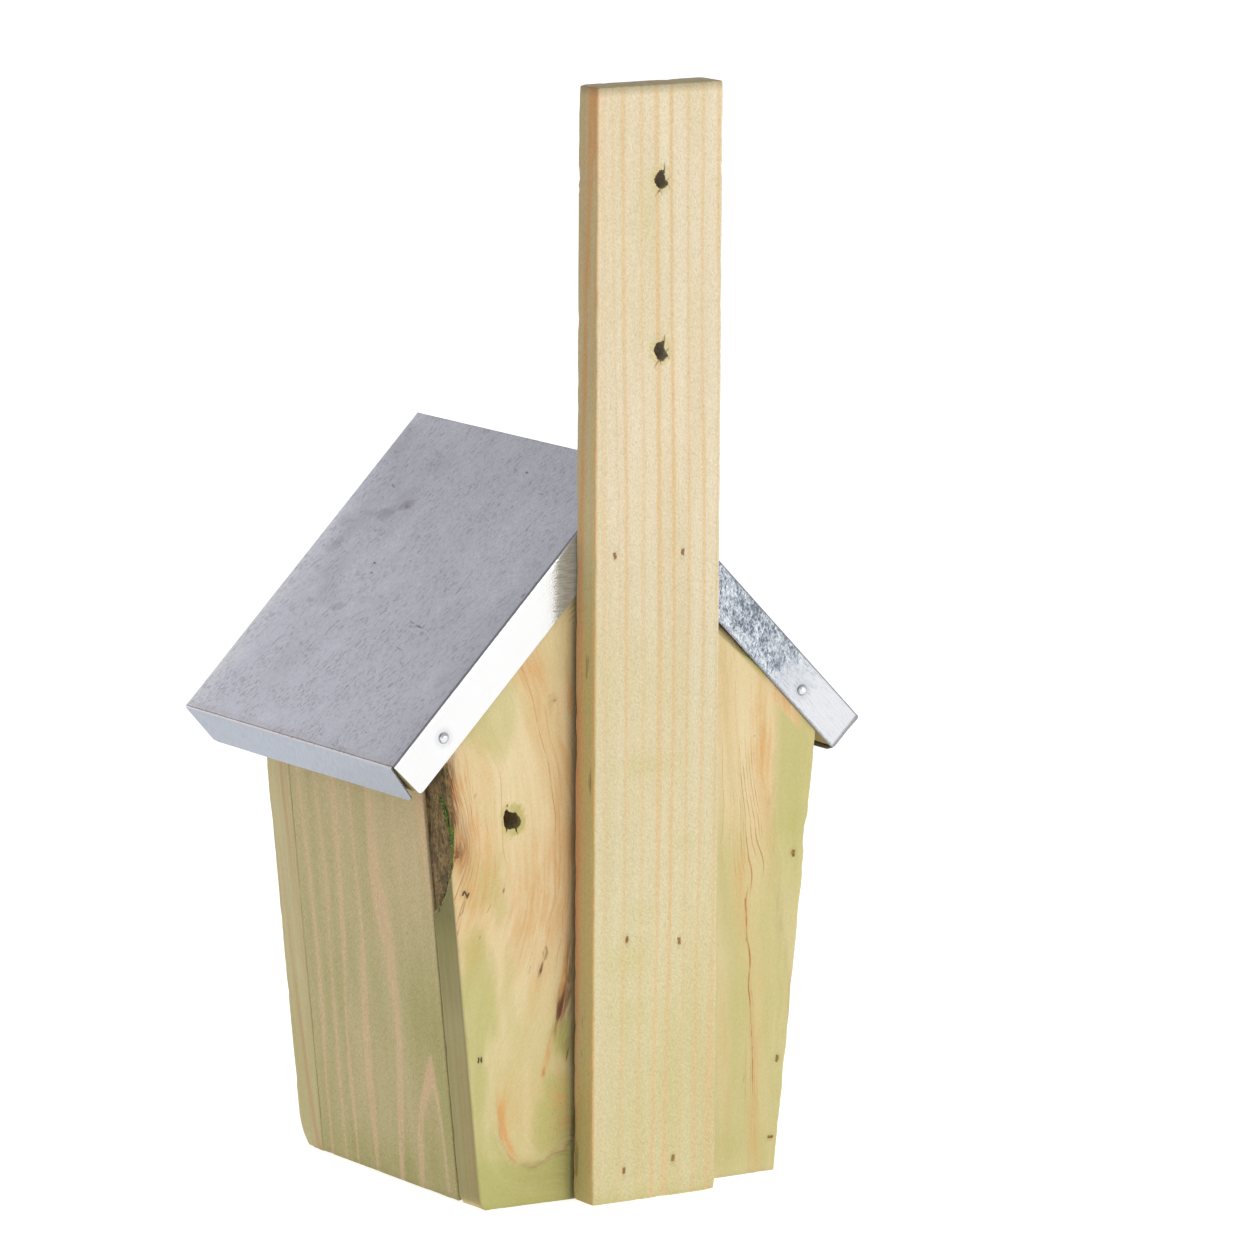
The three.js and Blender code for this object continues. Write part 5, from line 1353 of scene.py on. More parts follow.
def build_door():
    L = (DOOR_Y1 - DOOR_Y0, 155.0, 15.0)
    r = 0.6
    slot = stop_slot()
    cutters = [y_cylinder(PIVOT[0], PIVOT[1], 34.0, 50.0, 1.3), y_cylinder(PIVOT[0], PIVOT[1], -46.0, -28.4, 1.3),
               loft([(39.1, slot), (50.0, slot)]), loft([(-44.6, slot), (-33.7, slot)])]

    def shape(v, p, nrm):
        y, z = v[:, 1], v[:, 2]
        out = (1 - smooth(0, 3, p[:, 2]))
        # small knocks: a bruise near the front edge and one below the middle
        for cy, cz, rr, dd in ((15.5, 116.5, 1.2, 0.28), (29, 91, 1.0, 0.22), (-8, 3, 2.6, 0.3), (33, 2.0, 3.0, 0.35)):
            v[:, 0] -= out * dd * np.exp(-(((y - cy) / rr) ** 2 + ((z - cz) / rr) ** 2))
        return v

    obj = board("side_door_board", L, spread(L[0], 0.5, r), spread(155.0, 2.2, r), spread(15.0, 1.4, r), r, door_place,
                "side_door", "side_door", 201, 0.10, 21, 0.3, shape, cutters)
    v = points_of(obj)
    x, y, z = v.T
    zs = [5, 10, 25, 35, 50, 60, 70, 80, 90, 100, 110, 130, 150]
    rows = [
        ([-35, -35, -34.7, -34.6, -34, -33.6, -33, -33.2, -33.4, -33.6, -34, -35.5, -36], [.8, .8, .8, .8, 1, 1.2, 1.2, 1.2, 1.2, 1.2, 1.1, .9, .9], 0.78),
        ([-25.5, -25.5, -25.4, -25.6, -25, -24.7, -24.3, -23.9, -23.3, -22.7, -23.3, -24.5, -25], [.5, .6, .8, 1, .8, .6, .5, .4, .9, 1.4, 1, .8, .8], 0.75),
        ([-17.5, -17.5, -17.5, -18, -17.5, -16.8, -15.5, -14, -13.6, -13.2, -12.8, -12.8, -13], [.6, .7, 1.1, 1.2, .8, .7, .6, 1.4, 1.7, 1.8, 1.9, 2, 2], 0.85),
        ([-5, -4.8, -5, -5.5, -4.6, -3.8, -3, -2.2, -1.6, -1.8, -2.1, -2.5, -2.7], [1, 1.2, 1.8, 2.2, 2, 1.9, 1.7, 1.3, 1, .9, .7, .8, .9], 0.9),
        ([11.5, 12, 14, 15.3, 17, 17.4, 17, 16, 14.2, 12.2, 10.4, 10.5, 10.5], [1.5, 1.7, 1.9, 2, 1.9, 2.1, 2.4, 3.2, 4, 4.2, 3.4, 1.8, 1.8], 0.95),
    ]
    depth = (57.8 + LEAN * z) - x
    ye = y - 0.10 * depth
    sdf = np.full(len(x), 30.0)
    amp = np.zeros(len(x))
    warp = 0.35 * vnoise(np.stack([y / 12.0, z / 26.0, z * 0], 1), 215)
    for k, (cs, hw, a) in enumerate(rows):
        cen, h = np.interp(z, zs, cs), np.interp(z, zs, hw)
        d = np.abs(ye + warp - cen) - h * (1 + 0.12 * vnoise(np.stack([z / 14.0, z * 0 + k, z * 0], 1), 217))
        amp = np.where(d < sdf, a, amp)
        sdf = np.minimum(sdf, d)
    extra, eamp = poly_sdf(ye, z, [
        [(44.6, 152, 2.1, 0.62), (45.0, 128, 2.0, 0.6), (45.6, 115, 1.6, 0.5), (46.2, 97, 0.6, 0.25)],
        [(37.4, 50, 0.5, 0.8), (36.8, 44, 2.0, 0.95), (35.0, 40.5, 2.6, 0.95), (32.4, 36.5, 2.2, 0.95), (29.6, 31.5, 1.8, 0.95), (27.4, 26, 1.7, 0.9), (25.6, 18, 1.7, 0.9), (24.8, 8, 1.6, 0.85), (24.6, 2, 1.5, 0.8)],
        [(37.0, 44, 1.8, 0.95), (38.8, 37, 1.2, 0.95), (40.4, 28, 0.9, 0.9), (41.5, 15, 0.8, 0.85), (42, 3, 0.8, 0.8)],
        [(27.2, 152, 0.3, 0.25), (27.0, 110, 0.5, 0.3), (27.6, 84, 0.4, 0.25)],
        [(-9.2, 60, 0.2, 0.2), (-9.5, 30, 0.35, 0.25), (-9.2, 5, 0.3, 0.2)],
        [(3.6, 150, 0.3, 0.22), (3.2, 120, 0.4, 0.25), (4.0, 100, 0.2, 0.15)],
    ])
    amp = np.where(extra < sdf, eamp, amp)
    sdf = np.minimum(sdf, extra)
    marks, mamp = poly_sdf(y, z, [
        [(14.9, 116.9, 0.3, 0.45), (16.1, 116.2, 0.35, 0.5)], [(28.8, 91.4, 0.25, 0.45), (29.3, 90.6, 0.3, 0.5)],
        [(12.6, 96.5, 0.12, 0.3), (12.9, 90, 0.12, 0.3)], [(-2.3, 64, 0.1, 0.3), (-2.8, 58, 0.12, 0.35)],
        [(27.3, 26, 0.1, 0.35), (26.4, 19, 0.12, 0.35)],
    ])
    out = smooth(2.0, 0.6, depth)
    marks = np.where(out > 0.4, marks, 30.0)
    green = 0.34 + 0.30 * np.clip(fbm(v / np.array([20.0, 9.0, 30.0]), 3, 219), 0, 1) + 0.15 * smooth(60, 0, z)
    green += blobs(y, z, [(-39.5, 75, 3.2, 90, 0.08), (34, 16, 5.5, 14, 0.35), (34, 62, 13, 24, 0.52), (44, 36, 4.5, 40, 0.45), (22, 96, 4, 26, 0.20), (4, 70, 4.5, 40, 0.18), (-29.5, 90, 2.6, 60, 0.24),
                          (-10, 70, 3.6, 14, 0.35), (-20, 66, 3.0, 60, 0.18), (0, 4, 40, 9, 0.35), (3, 118, 4, 26, 0.15), (32, 120, 14, 18, -0.22)])
    green -= blobs(y, z, [(22, 90, 8, 24, 0.2), (-8, 130, 7, 20, 0.14), (-20, 140, 4, 20, 0.12)])
    pink = blobs(y, z, [(30, 118, 14, 24, 0.24), (35.6, 41.5, 2.6, 5.0, 0.75), (10, 102, 4, 12, 0.22), (45, 140, 3.4, 22, 0.55), (36, 44, 3, 4, 0.2), (13, 118, 6, 24, 0.12), (33, 26, 4, 12, 0.30)])
    # painted shade: a little darker towards the top under the eave, and at the back end in the joint with the back
    # gable
    brown = 0.03 * smooth(45.4, 46.6, y) + 0.03 * smooth(105, 135, z)
    dirt_and_shade = 0.2 * (1 - smooth(0.3, 2.0, z)) + 0.12 * smooth(3, 14, depth) * 0
    dirt_and_shade = np.maximum(dirt_and_shade, 0.26 * smooth(0.35, 0.1, DOOR_Y1 - y))
    dress(obj, DOOR_WOOD, sdf, amp, ye, z, depth, green=np.clip(green, 0, 1), pink=np.clip(pink, 0, 1), brown=brown, sdf2=marks, amp2=mamp, dirt_and_shade=dirt_and_shade)
    return obj


# ------------------------------------------------------------------ the fixed side
def side_place(p):
    c = p[:, 2] / 15.0
    z = p[:, 1] / 153.0 * (153.05 + 13.91 * c)
    return np.stack([-(60.8 + LEAN * z) + 15.08 * c, -42.1 + p[:, 0], z], 1)


def build_side():
    L = (89.6, 153.0, 15.0)
    obj = board("side_board", L, spread(L[0], 1.3, 0.6), spread(153.0, 2.6, 0.6), spread(15.0, 1.6, 0.6), 0.6, side_place,
                "house", "side_panel", 231, 0.11, 20, 0.3)
    v = points_of(obj)
    x, y, z = v.T
    depth = x + (60.8 + LEAN * z)
    knots = [(18.0, 92.0, 4.0)]
    X, sdf, amp = ring_face(y + 0.25 * depth, z, knots, 9.6, 1.05, 23, bend=2.4)
    marks, mamp, kb = knot_marks(y, z, knots)
    out = smooth(2.0, 0.6, depth)
    green = 0.38 + 0.3 * np.clip(fbm(v / np.array([20.0, 14.0, 40.0]), 3, 237), 0, 1) + 0.25 * smooth(60, 0, z)
    pink = blobs(y, z, [(-20, 120, 8, 30, 0.25), (30, 40, 8, 30, 0.2)])
    dress(obj, SIDE_WOOD, sdf, amp, X, z, depth, green=np.clip(green, 0, 1), pink=pink, brown=np.clip(kb * out, 0, 1),
          sdf2=np.where(out > 0.4, marks, 30.0), amp2=mamp, dirt_and_shade=0.2 * (1 - smooth(0, 1.5, z)))
    return obj


def build_floor_board():
    L = (89.6, 101.0, 15.0)

    def place(p):
        z = 4.5 + p[:, 2]
        a, b = -(45.72 + LEAN * z) + 0.4, 42.72 + LEAN * z - 0.7
        return np.stack([a + p[:, 1] / 101.0 * (b - a), -42.1 + p[:, 0], z], 1)

    obj = board("floor_piece", L, spread(L[0], 1.6, 0.5), spread(101.0, 1.8, 0.5), spread(15.0, 1.8, 0.5), 0.5, place,
                "house", "floor_board", 241, 0.12, 18, 0.3)
    v = points_of(obj)
    x, y, z = v.T
    knots = [(-22.0, 10.0, 4.6)]
    X, sdf, amp = ring_face(x + 0.3 * z, y, knots, 8.2, 0.9, 29, bend=2.0)
    marks, mamp, kb = knot_marks(x, y, knots)
    green = 0.15 + 0.3 * np.clip(fbm(v / 16.0, 3, 247), 0, 1)
    dirt_and_shade = 0.18 + 0.25 * np.clip(fbm(v / 9.0, 3, 249), 0, 1)
    dress(obj, FLOOR_WOOD, sdf, amp, X, y, z, green=green, brown=np.clip(kb, 0, 1), sdf2=marks, amp2=mamp, dirt_and_shade=dirt_and_shade)
    return obj


# ------------------------------------------------------------------ roof boards
def on_slope(s, d):
    return s * COS - d * SIN, RIDGE_Z - s * SIN - d * COS


def build_roof_board(side):
    end = SLOPE_LEN - 0.8
    far = BOARD_TOP if side > 0 else BOARD_UNDER + 0.3
    L = (134.0, 136.6, BOARD_UNDER - BOARD_TOP)

    def place(p):
        a = BOARD_TOP + p[:, 2]
        cx, cz = (far - a) / (2 * SIN), RIDGE_Z - (a + far) / (2 * COS)
        ex, ez = on_slope(end, a)
        t = p[:, 0] / 134.0
        return np.stack([side * (cx + (ex - cx) * t), -74.0 + p[:, 1], cz + (ez - cz) * t], 1)

    tag = "door_side" if side > 0 else "fixed_side"
    obj = board("roof_piece_" + tag, L, spread(134.0, 1.9, 0.5), spread(136.6, 2.4, 0.5), spread(L[2], 1.5, 0.5), 0.5, place,
                "house", "roof_board_" + tag, 251 if side > 0 else 261, 0.10, 18, 0.25)
    v = points_of(obj)
    x, y, z = v.T
    d = (RIDGE_Z - side * x * TAN - z) * COS
    s = (side * x + d * SIN) / COS
    knots = [(88.0, -20.0, 5.0)] if side > 0 else [(52.0, 24.0, 4.2)]
    X, sdf, amp = ring_face(s + 0.45 * d, y, knots, 8.8, 0.95, 31 + side, bend=2.2)
    marks, mamp, kb = knot_marks(s, y, knots)
    under = smooth(11.8, 13.2, d)
    green = 0.25 + 0.4 * np.clip(fbm(v / 18.0, 3, 257), 0, 1)
    dirt_and_shade = 0.15 + 0.22 * np.clip(fbm(v / 12.0, 3, 259), 0, 1)
    dress(obj, ROOF_WOOD, sdf, amp, X, y, d, green=green, brown=np.clip(kb * under, 0, 1), sdf2=np.where(under > 0.4, marks, 30.0), amp2=mamp, dirt_and_shade=dirt_and_shade)
    return obj


# ------------------------------------------------------------------ the folded sheet roof
FOLD_R, RIDGE_R = 0.9, 0.8
LIPS = {1: (16.5, math.radians(6)), -1: (15.0, math.radians(2))}
RIDGE_S = RIDGE_R * TAN
RAKE_NAILS = {(1, 1): (73.9, 164.0), (1, -1): (69.9, 167.3), (-1, 1): (71.5, 166.0), (-1, -1): (72.0, 165.2)}  # (end, side): x, z


class Sheet:
    """Outer surface of bent sheet as quads; then a second skin behind it and the cut edges between."""

    def __init__(self):
        self.v, self.a, self.b, self.c, self.q = [], [], [], [], []

    def grid(self, P, A, B, C):
        """P (m, n, 3) points; A, B, C (m, n, 3) attributes."""
        m, n = P.shape[:2]
        base = sum(len(x) for x in self.v)
        for store, arr in ((self.v, P), (self.a, A), (self.b, B), (self.c, C)):
            store.append(arr.reshape(-1, 3))
        idx = base + np.arange(m * n).reshape(m, n)
        self.q.append(np.stack([idx[:-1, :-1], idx[1:, :-1], idx[1:, 1:], idx[:-1, 1:]], -1).reshape(-1, 4))

    def weld(self):
        v = np.concatenate(self.v)
        q = np.concatenate(self.q)
        key = np.round(v / 0.004).astype(np.int64)
        _, first, inv = np.unique(key, axis=0, return_index=True, return_inverse=True)
        inv = inv.ravel()
        q = inv[q]
        good = np.array([len(set(r)) == 4 for r in q.tolist()])
        return v[first], q, good, [np.concatenate(x)[first] for x in (self.a, self.b, self.c)]


def build_roof_sheet():
    sh = Sheet()
    y_lo, y_hi = ROOF_FRONT_Y + FOLD_R, ROOF_BACK_Y - FOLD_R
    ys = np.array(sorted(set(np.linspace(y_lo, y_hi, 62).tolist())))
    for side in (1, -1):
        lip_len, opened = LIPS[side]
        n1 = np.array([SIN, COS])
        ldir = np.array(on_slope(SLOPE_LEN + lip_len * math.sin(opened), lip_len * math.cos(opened))) - np.array(on_slope(SLOPE_LEN, 0))
        ldir /= np.linalg.norm(ldir)
        n2 = np.array([-ldir[1], ldir[0]])
        if n2[0] < 0:
            n2 = -n2
        turn = math.acos(float(np.clip(n1 @ n2, -1, 1)))
        tl = FOLD_R * math.tan(turn / 2)
        E = np.array(on_slope(SLOPE_LEN, 0))
        cen = E - (n1 + n2) / (1 + n1 @ n2) * FOLD_R
        a1, a2 = math.atan2(n1[1], n1[0]), math.atan2(n2[1], n2[0])
        s_end = SLOPE_LEN - tl
        s_flat = np.linspace(RIDGE_S, s_end, 58)
        # the profile: (x, z, nx, nz, developed distance from the ridge, distance below the eave fold)
        prof = []
        for t in np.linspace(0, ANG, 6)[:-1]:
            prof.append((RIDGE_R * math.sin(t), RIDGE_Z - RIDGE_R / COS + RIDGE_R * math.cos(t), math.sin(t), math.cos(t), RIDGE_S * t / ANG, 0, -1.0))
        for s in s_flat:
            x, z = on_slope(s, 0)
            prof.append((x, z, SIN, COS, s, 0, s - SLOPE_LEN))
        k_top = len(prof)
        for t in np.linspace(0, 1, 7)[1:]:
            a = a1 + (a2 - a1) * t
            prof.append((cen[0] + FOLD_R * math.cos(a), cen[1] + FOLD_R * math.sin(a), math.cos(a), math.sin(a), SLOPE_LEN - tl + 2 * tl * t, 0, tl * (2 * t - 1)))
        prof = np.array(prof)
        m, n = k_top, len(ys)

        def pack(rows, Y):
            """Turns profile rows and y places into points and the developed coordinates."""
            P = np.zeros((len(rows), len(Y), 3))
            P[..., 0] = side * rows[:, 0][:, None]
            P[..., 1] = Y[None, :]
            P[..., 2] = rows[:, 1][:, None]
            A = np.zeros_like(P)
            A[..., 0] = side * rows[:, 4][:, None]
            A[..., 1] = Y[None, :]
            A[..., 2] = rows[:, 6][:, None]
            return P, A

        # top, with the two flat skins a little wavy
        P, A = pack(prof[:k_top], ys)
        q = np.stack([A[..., 0] / 34.0, A[..., 1] / 46.0, A[..., 0] * 0 + 3], -1).reshape(-1, 3)
        ripple = (0.10 * fbm(q, 3, 301)).reshape(P.shape[:2])
        s_here = np.abs(A[..., 0])
        ripple *= smooth(0, 8, s_here) * smooth(0, 6, SLOPE_LEN - s_here) * smooth(y_lo, y_lo + 6, A[..., 1]) * smooth(y_hi, y_hi - 6, A[..., 1])
        P[..., 0] += side * SIN * ripple
        P[..., 2] += COS * ripple
        # the ridge runs out to the full length between the cut lips
        full = np.clip(1 - s_here / RIDGE_S, 0, 1) ** 0.5 * (FOLD_R - 0.1)
        P[..., 1] += full * (2 * (ys[None, :] - y_lo) / (y_hi - y_lo) - 1) ** 41
        B = np.zeros_like(P)
        C = np.zeros_like(P)
        sh.grid(P, A, B, C)
        # eave fold and lip: the ends are snipped back, their corners rounded off
        rows = prof[k_top - 1 :]
        lip_ws = np.concatenate([[0.0], np.cumsum(np.full(9, 1.0))]) / 9.0
        front_cut, rear_cut = (1.9, 2.4) if side > 0 else (2.4, 2.0)
        rr0, rr1 = (0.8, 1.9) if side > 0 else (1.2, 1.0)
        base = prof[-1]
        rest = lip_len - tl
        near = [0, 0.25, 0.6, 1.1, 1.9, 3.0]
        Yq = np.array(near + list(np.linspace(4.5, (y_hi - y_lo) - 4.5, 54)) + [(y_hi - y_lo) - t for t in near[::-1]])
        Yq = np.unique(np.round(Yq, 6))
        # the top grid's own row of points is used for the fold so that the two weld
        Yq = ys - y_lo
        total = y_hi - y_lo
        allrows = len(rows) + len(lip_ws) - 1
        P = np.zeros((allrows, n, 3))
        A = np.zeros_like(P)
        B = np.zeros_like(P)
        C = np.zeros_like(P)
        w_of_row = np.concatenate([rows[:, 6], tl + rest * lip_ws[1:]])
        for j, yq in enumerate(Yq):
            # rounded lower corners and a belly along the lower edge
            d0, d1 = yq, total - yq
            short = 0.0
            if d0 < rr0:
                short = max(short, rr0 - math.sqrt(max(rr0**2 - (rr0 - d0) ** 2, 0)))
            if d1 < rr1:
                short = max(short, rr1 - math.sqrt(max(rr1**2 - (rr1 - d1) ** 2, 0)))
            belly = (0.0 if side > 0 else 0.1) * math.sin(math.pi * yq / total)
            out = 0.28 * math.sin(math.pi * yq / total) ** 2 - 0.1
            for i in range(allrows):
                if i < len(rows):
                    x, z, nx, nz = rows[i][:4]
                    w = rows[i][6]
                    frac = 0.0
                else:
                    frac = lip_ws[i - len(rows) + 1]
                    w = frac * (rest - short + belly)
                    x, z = base[0] + ldir[0] * w + n2[0] * 0, base[1] + ldir[1] * w
                    push = -abs(out) * frac * 0.35 + 0.08 * float(vnoise(np.array([[yq / 16.0, frac * 1.2, 5.0 + side]]), 305)[0]) * frac
                    x, z = x + n2[0] * push, z + n2[1] * push
                    w += tl
                depth_frac = np.clip((w + tl) / (lip_len + tl), 0, 1)
                y0 = y_lo + (front_cut) * np.clip(w / lip_len, 0, 1)
                y1 = y_hi - (rear_cut) * np.clip(w / lip_len, 0, 1)
                P[i, j] = (side * x, y0 + (y1 - y0) * yq / total, z)
                A[i, j] = (side * (SLOPE_LEN + w), y0 + (y1 - y0) * yq / total, w)
                lipness = float(smooth(-0.2, 0.6, w))
                C[i, j] = (0, 0, lipness)
        sh.grid(P, A, B, C)
        # gable-end folds and lips
        cols = prof[5:k_top]
        s_cols = cols[:, 4]
        phis = np.linspace(0, math.pi / 2, 6)
        ds = list(FOLD_R * (1 - np.cos(phis))) + list(np.concatenate([np.linspace(FOLD_R, 13.4, 11)[1:], [14.0, 14.5, 14.8, 15.0]]))
        for end in (1, -1):
            yo, yc = (ROOF_BACK_Y, y_hi) if end > 0 else (ROOF_FRONT_Y, y_lo)
            nx_, nz_ = RAKE_NAILS[(end, side)]
            nd = (RIDGE_Z - nx_ * TAN - nz_) * COS
            nails = (nx_ + nd * SIN) / COS
            P = np.zeros((len(s_cols), len(ds), 3))
            A = np.zeros_like(P)
            B = np.zeros_like(P)
            C = np.zeros_like(P)
            for k, d in enumerate(ds):
                y = yc + end * FOLD_R * math.sin(phis[k]) if k < len(phis) else yo
                smin = max(RIDGE_S, (0.3 + d * SIN) / COS)
                rc = 1.5
                smax = s_cols[-1] - (rc - math.sqrt(max(rc * rc - max(d - (15 - rc), 0) ** 2, 0)))
                s = smin + (smax - smin) * (s_cols - s_cols[0]) / (s_cols[-1] - s_cols[0])
                x, z = on_slope(s, d)
                wave = 0.07 * fbm(np.stack([s / 26.0, s * 0 + d / 20.0, s * 0 + 7 * end + side], 1), 2, 309) * float(smooth(0.9, 4, d))
                dent = -0.20 * np.exp(-(((s - nails) ** 2 + (d - nd) ** 2) / 3.0**2))
                P[:, k, 0] = side * x
                P[:, k, 1] = y + end * (wave + dent * (k >= len(phis)))
                P[:, k, 2] = z
                A[:, k, 0] = side * s
                A[:, k, 1] = yo + end * d
                A[:, k, 2] = s - SLOPE_LEN
                lipness = float(smooth(0.1, 0.7, d))
                if end > 0:
                    C[:, k, 0 if side > 0 else 1] = lipness
                B[:, k, 0] = lipness
                B[:, k, 1] = d
                B[:, k, 2] = end
            sh.grid(P, A, B, C)
    v, q, good, (a, b, c) = sh.weld()
    q = q[good]
    # face all quads outwards: away from the middle of the house's ridge line, per vertex average
    fc = v[q].mean(1)
    fn = np.cross(v[q[:, 2]] - v[q[:, 0]], v[q[:, 3]] - v[q[:, 1]])
    away = fc - np.stack([np.zeros(len(fc)), np.clip(fc[:, 1], -60, 50), np.full(len(fc), 150.0)], 1)
    flip = (fn * away).sum(1) < 0
    q[flip] = q[flip][:, ::-1]
    nrm = vertex_normals(v, q)
    inner = v - nrm * SHEET_T
    n = len(v)
    skins = 2 * len(q)
    edges = {}
    for f in q.tolist():
        for i in range(4):
            e = (f[i], f[(i + 1) % 4])
            edges[e] = edges.get(e, 0) + 1
    faces = q.tolist() + [[i + n for i in f[::-1]] for f in q.tolist()]
    for (i, j) in edges:
        if (j, i) not in edges:
            faces.append([j, i, i + n, j + n])
    obj = new_object("roof_metal", np.concatenate([v, inner]), faces, "house", ["roof_sheet"])
    for name, arr in (("ma", a), ("mb", b), ("mc", c)):
        write_vec(obj, name, np.concatenate([arr, arr]))
    obj.data.materials.append(SHEET_STEEL)
    obj.data.materials.append(CUT_STEEL)
    obj.data.polygons.foreach_set("material_index", [0] * skins + [1] * (len(faces) - skins))
    return obj


def sheet_metal():
    g = Nodes("galvanised_steel")
    a, b, w = g.xyz(g.attr("ma"))
    lip, d, end = g.xyz(g.attr("mb"))
    lip_r, lip_l, eave = g.xyz(g.attr("mc"))
    P = g.object_mm()
    c15, s15 = math.cos(math.radians(15)), math.sin(math.radians(15))
    across = g.sub(g.mul(a, c15), g.mul(b, s15))
    length = g.add(g.mul(a, s15), g.mul(b, c15))
    streak = g.noise(g.vec(g.mul(across, 0.75), g.mul(length, 0.035), 1.0), 1.0, 3.0, 0.6)
    streak2 = g.noise(g.vec(g.mul(across, 2.6), g.mul(length, 0.09), 7.0), 1.0, 2.0, 0.6)
    cloud = g.noise(g.scaled(P, 0.030, 0.022, 0.030), 1.0, 3.0, 0.55)
    cell = g.voronoi(g.scaled(P, 0.16, 0.13, 0.16), 1.0)
    spangle = g.noise(g.scaled(P, 0.42, 0.42, 0.42), 1.0, 4.0, 0.62)
    spangle2 = g.noise(g.scaled(P, 1.15, 1.15, 1.15), 1.0, 3.0, 0.6)
    grain = g.noise(g.scaled(P, 3.4, 3.4, 3.4), 1.0, 2.0, 0.6)

    top = g.sub(1.0, g.math("MAXIMUM", lip, eave))
    # flecks: short dark strokes rolled into the zinc, running up the slope and leaning to the back
    ca, sa_ = math.cos(math.radians(14)), math.sin(math.radians(14))
    bend = g.mul(g.sub(g.noise(g.scaled(P, 0.05, 0.05, 0.05), 1.0, 2.0, 0.5), 0.5), 3.0)
    fl_long = g.add(g.mul(a, -ca), g.mul(b, sa_))
    wide_b = g.add(g.add(g.mul(a, sa_), g.mul(b, ca)), bend)
    fleck = g.noise(g.vec(g.mul(wide_b, 0.85), g.mul(fl_long, 0.30), 3.0), 1.0, 3.0, 0.60, 0.25)
    fleck2 = g.noise(g.vec(g.mul(wide_b, 1.35), g.mul(fl_long, 0.50), 13.0), 1.0, 2.0, 0.55, 0.3)
    rolled = g.noise(g.vec(g.mul(wide_b, 2.1), g.mul(fl_long, 0.72), 23.0), 1.0, 2.0, 0.60, 0.2)
    rolled2 = g.noise(g.vec(g.mul(wide_b, 0.30), g.mul(fl_long, 0.14), 33.0), 1.0, 3.0, 0.66)
    column = g.noise(g.vec(g.mul(b, 0.20), g.mul(a, 0.03), 43.0), 1.0, 3.0, 0.62)
    damp = g.noise(g.scaled(P, 0.075, 0.075, 0.075, (0.3, 0.2, 0.6)), 1.0, 4.0, 0.66)
    up = g.sub(SLOPE_LEN, a)
    f = g.mul(g.sub(column, 0.5), 0.10)
    f = g.add(f, g.mul(g.sub(cloud, 0.5), 0.14))
    f = g.add(f, g.mul(g.sub(damp, 0.5), 0.12))
    f = g.add(f, g.mul(g.sub(grain, 0.5), 0.08))
    f = g.add(f, g.mul(g.sub(fleck, 0.5), 0.26))
    f = g.add(f, g.mul(g.sub(fleck2, 0.5), 0.46))
    f = g.add(f, g.mul(g.sub(rolled, 0.5), 0.60))
    f = g.add(f, g.mul(g.sub(rolled2, 0.5), 0.10))
    f = g.mul(f, g.sub(1.0, g.mul(eave, 0.45)))
    f = g.mul(f, g.sub(1.20, g.mul(g.step(g.math("ABSOLUTE", a), 55.0, 112.0), 0.34)))
    tone = g.add(1.0, f)
    # painted light and shade: paler at the front and the eave, darker towards the ridge and the strip
    painted_light_and_shade = g.sub(1.262, g.add(g.mul(g.add(b, 65.0), 0.0014), g.mul(g.sub(122.0, g.math("ABSOLUTE", a)), 0.00172)))
    painted_light_and_shade = g.add(painted_light_and_shade, g.mul(g.math("POWER", g.step(b, -56.0, -76.0), 1.6), g.sub(0.24, g.mul(g.step(up, 60.0, 125.0), 0.12))))
    painted_light_and_shade = g.sub(painted_light_and_shade, g.mul(g.step(b, 46.0, 63.0), 0.085))
    # painted shade: darker at the front end of the ridge and behind it; painted light: a little paler high up at the
    # back
    off_ridge = g.math("ABSOLUTE", a)
    painted_light_and_shade = g.sub(painted_light_and_shade, g.mul(g.mul(g.mul(g.step(b, -60.0, -70.0), g.step(off_ridge, 27.0, 13.0)), g.step(off_ridge, 3.0, 8.0)), 0.20))
    painted_light_and_shade = g.sub(painted_light_and_shade, g.mul(g.mul(g.mul(g.step(b, -24.0, -54.0), g.step(off_ridge, 60.0, 38.0)), g.step(off_ridge, 9.0, 15.0)), 0.10))
    painted_light_and_shade = g.add(painted_light_and_shade, g.mul(g.mul(g.mul(g.step(b, 4.0, 34.0), g.step(off_ridge, 18.0, 28.0)), g.step(off_ridge, 72.0, 54.0)), 0.07))
    painted_light_and_shade = g.add(g.mul(painted_light_and_shade, top), g.sub(1.0, top))
    tone = g.mul(tone, painted_light_and_shade)
    c = g.mix(1.0, lin(218, 218, 228), g.vec(tone, tone, g.add(tone, 0.004)), "MULTIPLY")
    dark = g.mul(g.mul(g.step(fleck, 0.50, 0.64), g.step(damp, 0.34, 0.54)), top)
    c = g.mix(g.mul(dark, 0.40), c, lin(154, 145, 155))
    dark2 = g.mul(g.mul(g.step(fleck2, 0.55, 0.66), g.step(damp, 0.36, 0.56)), top)
    c = g.mix(g.mul(dark2, 0.50), c, lin(136, 129, 137))
    dark3 = g.mul(g.mul(g.step(rolled, 0.58, 0.70), g.step(damp, 0.40, 0.58)), top)
    c = g.mix(g.mul(dark3, 0.50), c, lin(122, 116, 124))
